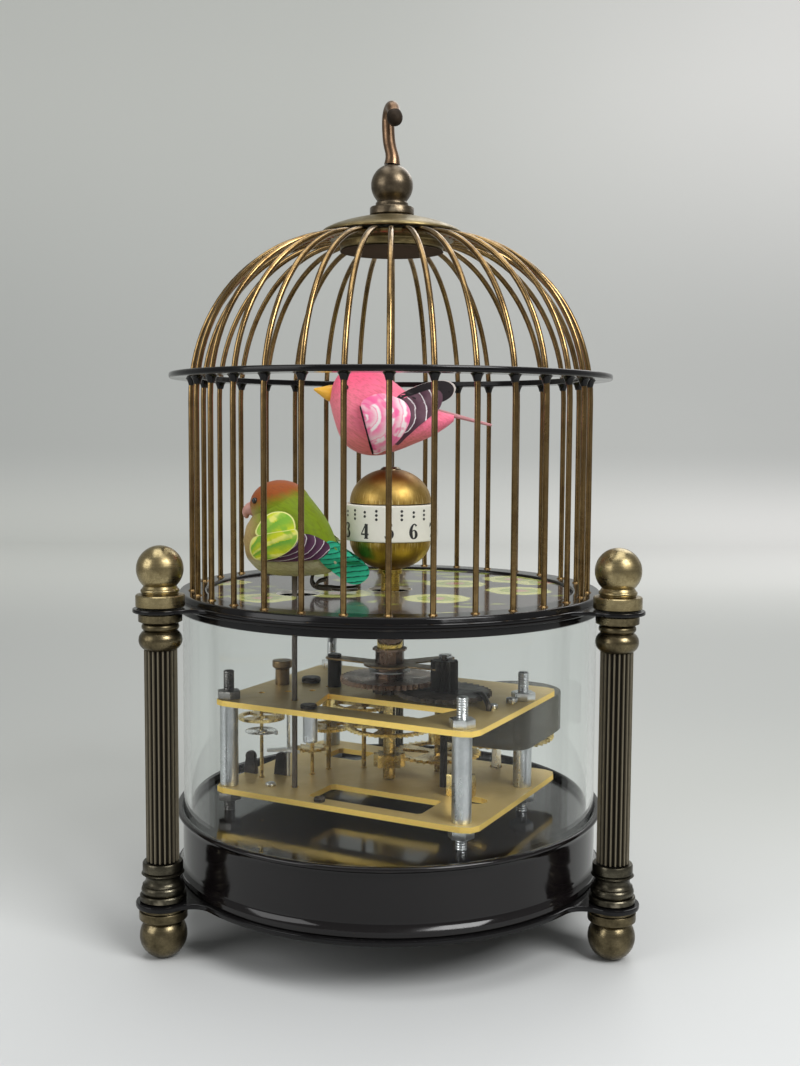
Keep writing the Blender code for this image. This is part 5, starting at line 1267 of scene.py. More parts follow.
@dataclass
class Columns(Assembly):
    """The three columns with their feet and balls."""

    circle_radius: float = 0.0710
    foot_radius: float = 0.00645
    foot_flat: float = 0.0018
    collar_radius: float = 0.00657
    shaft_radius: float = 0.00446
    flute_depth: float = 0.00078
    flutes: int = 20
    ball_radius: float = 0.0063
    deck_room: float = 0.0017

    def foot_profile(self, top: float) -> Profile:
        """The foot from its collar down to its flat.

        Args:
            top: Height of its upper face.

        Returns:
            Points of radius and height.
        """
        collar = top - 0.0034
        centre = self.foot_radius * 0.96
        ball = bow((0, centre), self.foot_radius, 48, -73, 22)
        ball = [point for point in ball if point[0] > self.foot_flat]
        rim = self.collar_radius
        head = [(0, top), (rim - 0.0006, top), (rim - 0.0006, top - 0.0007), (rim, top - 0.0008),
                (rim, collar + 0.0002), (rim - 0.0012, collar),
                (self.foot_radius * 0.69, collar - 0.0002)]
        return rounded(head, 0.0003) + ball + [(self.foot_flat, 0.0), (0, 0)]

    def base_profile(self, height: float) -> Profile:
        """The moulded base: a step, a bead, a waist and a lip.

        Args:
            height: Its height.

        Returns:
            Points of radius and height.
        """
        profile = [(0, height), (0.00525, height), (0.00548, height - 0.0004), (0.00548, height - 0.0024),
                   (0.0050, height - 0.0027)]
        profile += bow((0.0064, height - 0.0048), 0.0017, 110, 240, 8)
        profile += bow((0.00445, height - 0.0077), 0.00145, 60, -75, 8)
        profile += [(0.0050, height - 0.0087), (0.00605, height - 0.0089), (0.0063, height - 0.0092)]
        return profile + [(0.0063, 0.0002), (0.0061, 0), (0, 0)]

    def capital_profile(self, height: float) -> Profile:
        """The capital: a torus, a bead and the collar under the deck.

        Args:
            height: Its height.

        Returns:
            Points of radius and height.
        """
        profile = [(0, height), (0.0056, height), (0.00586, height - 0.0002), (0.00586, height - 0.0021),
                   (0.0053, height - 0.0024)]
        profile += bow((0.0040, height - 0.0036), 0.00105, 75, -70, 8)
        profile += bow((0.0029, height - 0.0072), 0.00296, 62, -62, 12)
        return profile + [(0.0040, 0.0), (0, 0)]

    def ball_profile(self, bottom: float, height: float) -> Profile:
        """The top ball on its collar and bead.

        Args:
            bottom: Height of its lower face.
            height: Height from there to the ball's top.

        Returns:
            Points of radius and height.
        """
        centre = bottom + height - self.ball_radius
        collar = bottom + 0.0034
        profile = [(0, bottom), (0.0063, bottom), (self.collar_radius, bottom + 0.0003),
                   (self.collar_radius, collar - 0.0003)]
        profile += [(0.0063, collar), (0.0052, collar + 0.0001), (0.0048, collar + 0.0003)]
        profile += bow((0.0046, collar + 0.0010), 0.0006, -70, 70, 6)
        return profile + [(0.0047, collar + 0.0018)] + bow((0, centre), self.ball_radius, -46, 90, 26)

    def shaft_mesh(self, length: float) -> Mesh:
        """The shaft with round-bottomed flutes.

        Args:
            length: Its length.

        Returns:
            Its mesh, standing on the origin.
        """
        points = []
        for flute in range(self.flutes):
            for step in range(8):
                share = (step / 8 - 0.5) / 0.36
                depth = self.flute_depth * math.sqrt(max(0.0, 1 - share ** 2))
                turn = math.tau * (flute + step / 8) / self.flutes
                points.append(((self.shaft_radius - depth) * math.cos(turn),
                               (self.shaft_radius - depth) * math.sin(turn)))
        return flat_mesh("shaft", [points], 0, length)

    def build(self) -> None:
        """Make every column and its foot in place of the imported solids."""
        plate_low = span_z("base_plate")[0]
        for number, degrees in ((1, 90), (2, 210), (3, 330)):
            turn = math.radians(degrees)
            place = self.centre + self.circle_radius * Vector((math.cos(turn), math.sin(turn), 0))
            (base_low, base_high), (shaft_low, shaft_high), (capital_low, capital_high) = (
                span_z(f"column_{part}_{number}") for part in ("base", "shaft", "capital")
            )
            deck_top = capital_high + self.deck_room
            top = span_z(f"column_ball_{number}")[1]
            foot, base, capital, ball = (turned_mesh("part", profile, 48) for profile in (
                self.foot_profile(plate_low - 0.0003), self.base_profile(base_high - base_low),
                self.capital_profile(capital_high - capital_low),
                self.ball_profile(deck_top, top - deck_top),
            ))
            shaft = self.shaft_mesh(shaft_high - shaft_low)
            for part, mesh, low, finish in (
                ("foot", foot, 0.0, AGED), ("column_base", base, base_low, SOOTED),
                ("column_capital", capital, capital_low, AGED),
                ("column_shaft", shaft, shaft_low, FLUTED),
                ("column_ball", ball, 0.0, BALL),
            ):
                piece = new_object(f"fine_{part}_{number}", mesh, finish, place + Vector((0, 0, low)))
                settle(piece, Body.FRAME, f"{part}_{number}")


@dataclass
class Drum(Assembly):
    """The base plate, the black drum, the glass and the ring that holds it."""

    plate_radius: float = 0.0637
    wall_radius: float = 0.0611
    rim_radius: float = 0.0629
    glass_radius: float = 0.0608
    glass_wall: float = 0.0020
    ear_radius: float = 0.0074
    ear_circle: float = 0.0710
    fillet: float = 0.0060

    def eared(self, radius: float) -> Profile:
        """The outline of a plate with three ears.

        Args:
            radius: The plate's radius between the ears.

        Returns:
            The outline's points.
        """
        rim, lobe, away = radius + self.fillet, self.ear_radius + self.fillet, self.ear_circle
        offset = math.degrees(math.acos((rim ** 2 + away ** 2 - lobe ** 2) / (2 * rim * away)))
        spread = 180 - math.degrees(math.acos((away ** 2 + lobe ** 2 - rim ** 2) / (2 * away * lobe)))
        points: Profile = []
        for degrees in (90, 210, 330):
            ear, before, after = (bow((0, 0), reach, turn, turn, 1)[0] for reach, turn in (
                (away, degrees), (rim, degrees - offset), (rim, degrees + offset),
            ))
            inward = degrees - offset + 180
            turn = math.degrees(math.atan2(ear[1] - before[1], ear[0] - before[0]))
            swing = (turn - inward + 180) % 360 - 180
            points += bow(before, self.fillet, inward, inward + swing, 8)
            points += bow(ear, self.ear_radius, degrees - spread, degrees + spread, 32)[1:]
            outward = degrees + offset + 180
            points += bow(after, self.fillet, outward - swing, outward, 8)[1:]
            points += bow((0, 0), radius, degrees + offset, degrees + 120 - offset, 40)[1:-1]
        return points

    def wall_profile(self, low: float, high: float) -> Profile:
        """The drum's wall with its rolled rim, its foot and its floor.

        Args:
            low: Height of its lower face.
            high: Height of its upper face.

        Returns:
            Points of radius and height.
        """
        floor, sheet = high - 0.0022, 0.0010
        glass, wall = self.glass_radius, self.wall_radius
        profile = [(0, floor), (glass + 0.0003, floor), (glass + 0.0003, high - 0.0002),
                   (glass + 0.0006, high)]
        profile += bow((self.rim_radius - 0.0007, high - 0.0007), 0.0007, 90, -90, 10)
        profile += [(wall + 0.0007, high - 0.0015), (wall + 0.0001, high - 0.0022), (wall, high - 0.0032),
                    (wall, high - 0.0038), (wall, low + 0.0038), (wall, low + 0.0032),
                    (wall + 0.0003, low + 0.0022), (wall + 0.0011, low + 0.0014),
                    (wall + 0.0012, low + 0.0006), (wall + 0.0012, low)]
        return profile + [(wall - sheet, low), (wall - sheet, floor - sheet), (0, floor - sheet)]

    def build(self) -> None:
        """Make the drum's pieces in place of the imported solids."""
        low, high = span_z("base_plate")
        mesh = flat_mesh("plate", [self.eared(self.plate_radius)], low, high - low, 0.0004)
        self.fixed("fine_base_plate", mesh, BLACK, "base_plate")
        profile = self.wall_profile(*span_z("base_drum"))
        self.turned("fine_base_drum", profile, DRUM_BLACK, "base_drum", 160)
        low, high = span_z("glass_cylinder")
        outer, inner = self.glass_radius, self.glass_radius - self.glass_wall
        profile = rounded([(inner, low + 0.0020), (inner, low), (outer, low), (outer, high),
                           (inner, high), (inner, low + 0.0021)], 0.0005)
        self.turned("fine_glass", profile[:-1], CLEAR, "glass_cylinder", 160)
        low, high = span_z("glass_ring")
        profile = [(outer + 0.0003, high), (outer + 0.0012, high), (outer + 0.0015, high - 0.0003),
                   (outer + 0.0015, low + 0.0003), (outer + 0.0012, low), (outer + 0.0003, low)]
        self.turned("fine_glass_ring", profile, BLACK, "glass_ring", 160)


@dataclass
class Deck(Assembly):
    """The eared deck with its raised ring and printed disc."""

    drum: Drum
    radius: float = 0.0630
    ring_inner: float = 0.0534
    ring_outer: float = 0.0619
    stem_hole: float = 0.0065
    bird_hole: float = 0.0063
    bird_place: tuple[float, float] = (-0.0264, -0.0106)
    sheet: float = 0.0011

    def build(self) -> None:
        """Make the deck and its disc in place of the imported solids."""
        low, top = span_z("deck_plate")
        floor = low + self.sheet
        openings = (((0, 0), self.stem_hole), (self.bird_place, self.bird_hole))
        holes = [circle(*opening) for opening in openings]
        plate = flat_mesh("deck", [self.drum.eared(self.radius)] + holes, low, self.sheet, 0.0003)
        inner, outer, foot = self.ring_inner, self.ring_outer, floor - 0.0003
        profile = [(inner, foot), (inner + 0.0004, top), (outer - 0.0004, top), (outer + 0.0002, foot),
                   (inner + 0.0010, foot)]
        ring = turned_mesh("raised", rounded(profile, 0.0005), 160)
        bead = bow((self.radius - 0.0003, low - 0.0001), 0.0007, -180, 0, 10)
        lip = turned_mesh("lip", bead + [(self.radius - 0.0010, low + 0.0004)], 160)
        self.fixed("fine_deck_plate", merged("deck", [plate, ring, lip]), BLACK, "deck_plate")
        low, high = span_z("deck_disc")
        rim = circle((0, 0), self.ring_inner - 0.0004, 160)
        disc = flat_mesh("disc", [rim] + holes, low, high - low, 0.0001)
        self.fixed("fine_deck_disc", disc, PRINT, "deck_disc")
        # Painted light: pale walls line the disc's holes for the light that comes up through them.
        sleeves = []
        for (x, y), radius in openings:
            outer, inner = radius + 0.0001, radius - 0.0001
            wall = [(outer, floor), (inner, floor), (inner, high), (outer, high)]
            sleeve = turned_mesh("sleeve", wall, 64)
            sleeve.transform(Matrix.Translation((x, y, 0)))
            sleeves.append(sleeve)
        self.fixed("disc_hole_walls", merged("sleeves", sleeves), HOLE_PAINTED_LIGHT)


@dataclass
class Cage(Assembly):
    """The bars, the middle ring, the crown, the finial and the hook."""

    bars: int = 32
    bar_radius: float = 0.0008
    bar_circle: float = 0.0579
    straight: float = 0.0545
    rise: float = 0.0468
    flat_radius: float = 0.0170
    ring_outer: float = 0.0641
    ring_inner: float = 0.0548
    hook_radius: float = 0.00180
    bend_radius: float = 0.0034
    tip_radius: float = 0.00225
    stem: float = 0.01145
    dish_radius: float = 0.0150
    cap_radius: float = 0.0203
    ball_radius: float = 0.00607

    def bar_line(self, foot: float) -> list[Vector]:
        """One bar's middle line.

        Args:
            foot: Height of the bars' lower ends.

        Returns:
            The line's points from foot to crown.
        """
        bend = foot + self.straight
        line = [Vector((self.bar_circle, 0, foot - 0.0003)),
                Vector((self.bar_circle, 0, foot + self.straight / 2))]
        for step in range(23):
            turn = math.pi / 2 * step / 22
            radius = self.flat_radius + (self.bar_circle - self.flat_radius) * math.cos(turn)
            line.append(Vector((radius, 0, bend + self.rise * math.sin(turn))))
        return line

    def ring_reach(self, height: float, foot: float) -> float:
        """How far out a bar stands at a height."""
        share = max(0.0, (height - foot - self.straight) / self.rise)
        return self.flat_radius + (self.bar_circle - self.flat_radius) * math.sqrt(1 - share ** 2)

    def build(self) -> None:
        """Make the cage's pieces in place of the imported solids."""
        foot = span_z("cage_wires")[0]
        bar = tube_mesh("bar", self.bar_line(foot), self.bar_radius, 12)
        seat = turned_mesh("seat", [(0.0014, 0), (0.0010, 0.0005), (0, 0.0006)], 10)
        seat.transform(Matrix.Translation((self.bar_circle, 0, foot - 0.0004)))
        single = merged("single", [bar, seat])
        meshes = []
        for number in range(self.bars):
            copy = single.copy()
            copy.transform(Matrix.Rotation(-math.pi / 2 + math.tau * number / self.bars, 4, "Z"))
            meshes.append(copy)
        bpy.data.meshes.remove(single)
        self.fixed("fine_cage_wires", merged("bars", meshes), BRONZE, "cage_wires")
        self.build_dish(foot + self.straight + self.rise)
        self.build_ring(foot)
        self.build_crown()

    def build_dish(self, crown: float) -> None:
        """The small dish that the bars are let into.

        Args:
            crown: Height of the bars' upper ends.
        """
        side = self.dish_radius
        profile = [(0, crown + 0.0005), (side + 0.0036, crown + 0.0006), (side + 0.0038, crown),
                   (side + 0.0028, crown - 0.0008), (side, crown - 0.0012), (side, crown - 0.0031),
                   (side - 0.0008, crown - 0.0036), (0, crown - 0.0036)]
        self.turned("crown_dish", rounded(profile, 0.0004), CROWN)
        under = [(0, crown - 0.0035), (side - 0.0002, crown - 0.0035), (side, crown - 0.0038),
                 (0, crown - 0.0039)]
        self.turned("dish_underside", under, SHADED)

    def build_ring(self, foot: float) -> None:
        """The middle ring with a flared nub under each bar.

        Args:
            foot: Height of the bars' lower ends.
        """
        low, high = span_z("mid_ring")
        outer, inner, middle = self.ring_outer, self.ring_inner, (low + high) / 2
        profile = rounded([(inner, middle), (inner, low), (outer, low), (outer, high), (inner, high),
                           (inner, middle + 0.0001)], 0.0006)
        meshes = [turned_mesh("ring", profile[:-1], 160)]
        flare = [(0, 0), (0.0022, 0), (0.0017, -0.0003), (0.00135, -0.0008), (0.00110, -0.0015),
                 (0.00092, -0.0022), (0, -0.0023)]
        reach = self.ring_reach(low, foot)
        for x, y in circle((0, 0), reach, self.bars):
            nub = turned_mesh("nub", flare, 18)
            nub.transform(Matrix.Translation((x, y, low + 0.0002)))
            meshes.append(nub)
        self.fixed("fine_mid_ring", merged("ring", meshes), BLACK, "mid_ring")

    def build_crown(self) -> None:
        """The cap, the finial and the hook."""
        low, high = span_z("crown_cap")
        rim = self.cap_radius
        profile = [(0, high), (0.0066, high - 0.0001), (0.0098, high - 0.0007), (0.0140, high - 0.0018),
                   (0.0175, high - 0.0030), (0.0196, high - 0.0040), (rim, low + 0.0006),
                   (rim, low + 0.0001), (rim - 0.0005, low), (0.0188, low + 0.0008),
                   (0.0150, low + 0.0014), (0, low + 0.0014)]
        self.turned("fine_crown_cap", rounded(profile, 0.0006), CROWN, "crown_cap")
        low = high + 0.0003
        centre = span_z("hook")[0] + 0.0037 - self.ball_radius
        profile = [(0, low), (0.0062, low), (0.0064, low + 0.0002), (0.0064, low + 0.0020),
                   (0.0062, low + 0.0023), (0.0050, low + 0.0024), (0.00465, low + 0.0027),
                   (0.00475, low + 0.0033), (0.0046, low + 0.0037), (0.0043, low + 0.0040)]
        profile += bow((0, centre), self.ball_radius, -42, 90, 26)
        self.turned("fine_finial", profile, IRON_BRASS, "finial", 64)
        self.build_hook()

    def build_hook(self) -> None:
        """The bent copper rod with its end darkened as painted shade."""
        yaw = math.radians(15)
        out = Vector((math.sin(yaw), -math.cos(yaw), 0))
        lean = -0.0012
        line = vectors((0, 0, -0.0004), (0, 0, 0.0020), (0.7 * lean, 0, self.stem / 2),
                       (0.95 * lean, 0, self.stem * 0.8))
        centre = Vector((lean, 0, self.stem)) + out * self.bend_radius
        for across, rise in bow((0, 0), self.bend_radius, 0, 150, 10):
            line.append(centre - out * across + Vector((0, 0, rise)))
        along = out * math.sin(math.radians(30)) - Vector((0, 0, math.cos(math.radians(30))))
        line.append(line[-1] + along * 0.0016)
        fine = smooth_line(line, 3)
        radii = [self.hook_radius] * len(fine)
        for index in range(4):
            radii[index] *= 1.32 - 0.08 * index
            radii[-index - 1] *= 1.18 - 0.06 * index
        seat = span_z("hook")[0] + 0.0040
        self.fixed("fine_hook", tube_mesh("hook", fine, radii, 24), COPPER, "hook", lift=seat)
        # Painted shade: the flared end takes a dark finish for the shadow under the tip.
        shape = ((-0.0008, 0.88), (0.0, 0.98), (0.0008, 1.0), (0.0016, 0.93), (0.0023, 0.78),
                 (0.0028, 0.56), (0.0031, 0.2))
        spots = [fine[-1] + along * reach for reach, _ in shape]
        tip = tube_mesh("tip", spots, [self.tip_radius * share for _, share in shape], 24)
        self.fixed("hook_tip", tip, PAINTED_SHADE_TIP, lift=seat)


@dataclass
class Pen:
    """Writes bold upright numerals, their strokes in units of the height."""

    height: float
    advance: float = 0.60
    bold: float = 0.30

    @staticmethod
    def oval(middle: float, low: float, high: float, reach: float, thick: float,
             thin: float) -> list[Vector]:
        """A ring of points with half widths, thick at its sides.

        Args:
            middle: Where its middle is across.
            low: Its lowest point.
            high: Its highest point.
            reach: Half its width.
            thick: Half the stroke's width at the sides.
            thin: Half the stroke's width at the top and bottom.

        Returns:
            The ring's points; each third value is a half width.
        """
        ring = []
        for step in range(25):
            turn = math.tau * step / 24
            width = thin + (thick - thin) * math.cos(turn) ** 2
            across = middle + reach * math.cos(turn)
            ring.append(Vector((across, (low + high) / 2 + (high - low) / 2 * math.sin(turn), width)))
        return ring

    def strokes(self, digit: str) -> list[list[Vector]]:
        """Give a digit's strokes as points with half widths.

        Args:
            digit: One character from 0 to 9.

        Returns:
            The strokes; each point's third value is a half width.
        """
        if digit == "0":
            return [self.oval(0.29, 0.03, 0.97, 0.20, 0.095, 0.03)]
        if digit == "8":
            return [self.oval(0.29, 0.54, 0.97, 0.16, 0.08, 0.03),
                    self.oval(0.29, 0.03, 0.54, 0.20, 0.09, 0.03)]
        if digit == "9":
            return [[Vector((0.58 - x, 1.0 - y, width)) for x, y, width in line]
                    for line in self.strokes("6")]
        shapes = {
            "1": (((0.29, 0.02, 0.09), (0.29, 0.99, 0.09)), ((0.30, 0.96, 0.035), (0.08, 0.80, 0.03)),
                  ((0.10, 0.03, 0.03), (0.48, 0.03, 0.03))),
            "2": (((0.10, 0.72, 0.07), (0.15, 0.90, 0.055), (0.29, 0.97, 0.035), (0.45, 0.88, 0.07),
                   (0.48, 0.70, 0.09), (0.36, 0.46, 0.065), (0.15, 0.17, 0.03), (0.07, 0.05, 0.03)),
                  ((0.06, 0.08, 0.08), (0.53, 0.08, 0.08)), ((0.53, 0.05, 0.03), (0.55, 0.26, 0.02))),
            "3": (((0.09, 0.78, 0.065), (0.16, 0.92, 0.05), (0.29, 0.97, 0.035), (0.43, 0.88, 0.07),
                   (0.44, 0.72, 0.085), (0.34, 0.57, 0.045), (0.22, 0.53, 0.03)),
                  ((0.22, 0.54, 0.03), (0.40, 0.48, 0.05), (0.49, 0.32, 0.09), (0.45, 0.12, 0.075),
                   (0.28, 0.03, 0.035), (0.14, 0.07, 0.055), (0.08, 0.21, 0.065))),
            "4": (((0.40, 0.02, 0.09), (0.40, 0.97, 0.09)), ((0.38, 0.98, 0.035), (0.04, 0.33, 0.035)),
                  ((0.0, 0.29, 0.045), (0.58, 0.29, 0.045)),
                  ((0.25, 0.025, 0.025), (0.55, 0.025, 0.025))),
            "5": (((0.12, 0.90, 0.075), (0.50, 0.93, 0.065)), ((0.12, 0.95, 0.03), (0.10, 0.50, 0.03)),
                  ((0.10, 0.53, 0.03), (0.26, 0.62, 0.035), (0.43, 0.54, 0.07), (0.49, 0.33, 0.09),
                   (0.43, 0.13, 0.07), (0.27, 0.03, 0.035), (0.12, 0.08, 0.055), (0.07, 0.21, 0.065))),
            "6": (((0.50, 0.84, 0.06), (0.36, 0.97, 0.035), (0.21, 0.87, 0.055), (0.10, 0.60, 0.085),
                   (0.10, 0.32, 0.09), (0.18, 0.10, 0.065), (0.30, 0.03, 0.035), (0.44, 0.12, 0.07),
                   (0.49, 0.31, 0.085), (0.42, 0.50, 0.06), (0.30, 0.57, 0.03), (0.17, 0.47, 0.03)),),
            "7": (((0.06, 0.90, 0.085), (0.54, 0.91, 0.075)), ((0.53, 0.90, 0.035), (0.37, 0.55, 0.06),
                   (0.27, 0.26, 0.085), (0.24, 0.02, 0.09)), ((0.06, 0.90, 0.025), (0.03, 0.70, 0.02))),
        }
        return [[Vector(point) for point in line] for line in shapes[digit]]

    def write(self, text: str) -> Mesh:
        """Draw a text's strokes flat, middled on the origin and standing on it.

        Args:
            text: The digits to write.

        Returns:
            The text's mesh.
        """
        work = bmesh.new()
        start = -(self.advance * (len(text) - 1) + 0.58) / 2
        for digit in text:
            for line in self.strokes(digit):
                self.ribbon(work, smooth_line(line, 4), start)
            start += self.advance
        bmesh.ops.solidify(work, geom=list(work.faces), thickness=0.00003)
        return from_bmesh("numeral", work)

    def ribbon(self, work: bmesh.types.BMesh, line: list[Vector], start: float) -> None:
        """Lay one stroke as a strip of faces.

        Args:
            work: The mesh that takes the faces.
            line: Points with half widths.
            start: Where the digit begins across.
        """
        pairs = []
        for index, point in enumerate(line):
            along = (line[min(index + 1, len(line) - 1)] - line[max(index - 1, 0)]).to_2d().normalized()
            across = Vector((-along.y, along.x)) * point.z * (1.0 + self.bold * min(1.0, point.z / 0.07))
            place = Vector((start + point.x, point.y))
            pairs.append([work.verts.new((*(spot * self.height), 0.0))
                          for spot in (place + across, place - across)])
        for first, second in zip(pairs, pairs[1:]):
            work.faces.new((first[0], first[1], second[1], second[0]))


@dataclass
class Globe(Assembly):
    """The brass globe with the hour band, and the tube that carries it."""

    radius: float = 0.0120
    band_radius: float = 0.0140
    numeral_height: float = 0.0044
    numeral_lift: float = 0.0010
    front_hour: float = 5.04

    def build(self) -> None:
        """Make the globe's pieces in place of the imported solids."""
        low, high = span_z("globe_upper")
        profile = [(0, high), (0.0026, high), (0.0028, high - 0.0003)]
        dome = bow((0, 0), self.radius, 76, 0, 28)
        profile += [(x, low + z * (high - low) / self.radius) for x, z in dome]
        profile += [(self.radius - 0.0002, low), (0, low)]
        self.put("fine_globe_upper", profile, GOLD, 96, "globe_upper")
        nut = [(0, 0.0009), (0.0022, 0.0009), (0.0030, 0.0003), (0.0032, -0.0002), (0, -0.0002)]
        self.put("globe_cap", rounded(nut, 0.0002), AGED, 18, lift=high - 0.0004)
        low = span_z("globe_lower")[0]
        rim = span_z("hour_band")[0] - 0.0003
        depth = (rim - low) * 1.08 / self.radius
        profile = [(0, rim), (self.radius - 0.0002, rim)]
        profile += [(x, rim + z * depth) for x, z in bow((0, 0), self.radius, 0, -68, 28)]
        self.put("fine_globe_lower", profile + [(0.0032, low), (0, low)], UNDER_GOLD, 96, "globe_lower")
        neck = low - 0.0018
        low, high = span_z("hour_band")
        outer, inner = self.band_radius, 0.0119
        profile = rounded([(inner, low + 0.0010), (inner, low), (outer, low), (outer, high),
                           (inner, high), (inner, low + 0.0011)], 0.0003)
        self.put("fine_hour_band", profile[:-1], ENAMEL, 128, "hour_band")
        self.build_marks(low, high)
        low, high = span_z("dial_tube")
        profile = rounded([(0, low), (0.0028, low), (0.0028, high), (0, high)], 0.0002)
        self.put("fine_dial_tube", profile, TUBE, 48, "dial_tube")
        collar = [(0, 0), (0.0036, 0), (0.0036, 0.0014), (0.0033, 0.0018), (0, 0.0018)]
        self.put("tube_collar", rounded(collar, 0.0002), TUBE, 48, lift=neck)

    def put(self, name: str, profile: Profile, finish: Finish, sides: int, node: str = "",
            lift: float = 0.0) -> None:
        """Turn a piece that rides on the dial."""
        self.turned(name, profile, finish, node, sides, Body.DIAL, lift)

    def build_marks(self, low: float, high: float) -> None:
        """The twelve numerals with the dots for hours and half hours.

        Args:
            low: Height of the band's lower edge.
            high: Height of the band's upper edge.
        """
        meshes = []
        for hour in range(1, 13):
            turn = -math.pi / 2 + math.radians(30) * (hour - self.front_hour)
            meshes.append(self.numeral(str(hour), turn, low + self.numeral_lift))
            for place in range(2):
                meshes.append(self.dot(turn, high - 0.0019 - 0.0012 * place))
            for place in range(3):
                meshes.append(self.dot(turn + math.radians(15), high - 0.0015 - 0.0012 * place))
        self.fixed("band_numerals", merged("numerals", meshes), INK, body=Body.DIAL)

    def wrapped(self, mesh: Mesh, turn: float, height: float) -> Mesh:
        """Bend a flat mesh round the band.

        Args:
            mesh: A mesh in the XY plane, X along the band and Y up.
            turn: The angle of its middle about the axis.
            height: The height of its origin.

        Returns:
            The same mesh, bent.
        """
        for vertex in mesh.vertices:
            angle = turn + vertex.co.x / self.band_radius
            reach = self.band_radius + 0.00002 + vertex.co.z
            vertex.co = (reach * math.cos(angle), reach * math.sin(angle), height + vertex.co.y)
        return mesh

    def numeral(self, text: str, turn: float, height: float) -> Mesh:
        """A bold numeral on the band."""
        return self.wrapped(Pen(self.numeral_height).write(text), turn, height)

    def dot(self, turn: float, height: float) -> Mesh:
        """One of the band's dots."""
        mesh = flat_mesh("dot", [circle((0, 0), 0.00040, 14)], 0, 0.00003)
        return self.wrapped(mesh, turn, height)


@dataclass
class Feather:
    """A flat feather on a bird's side, given in the side view."""

    outline: Profile
    lift: float
    finish: Finish
    rim: Finish | None = PALE
    inset: float = 0.95
    thickness: float = 0.00016
    step: float = 0.00012


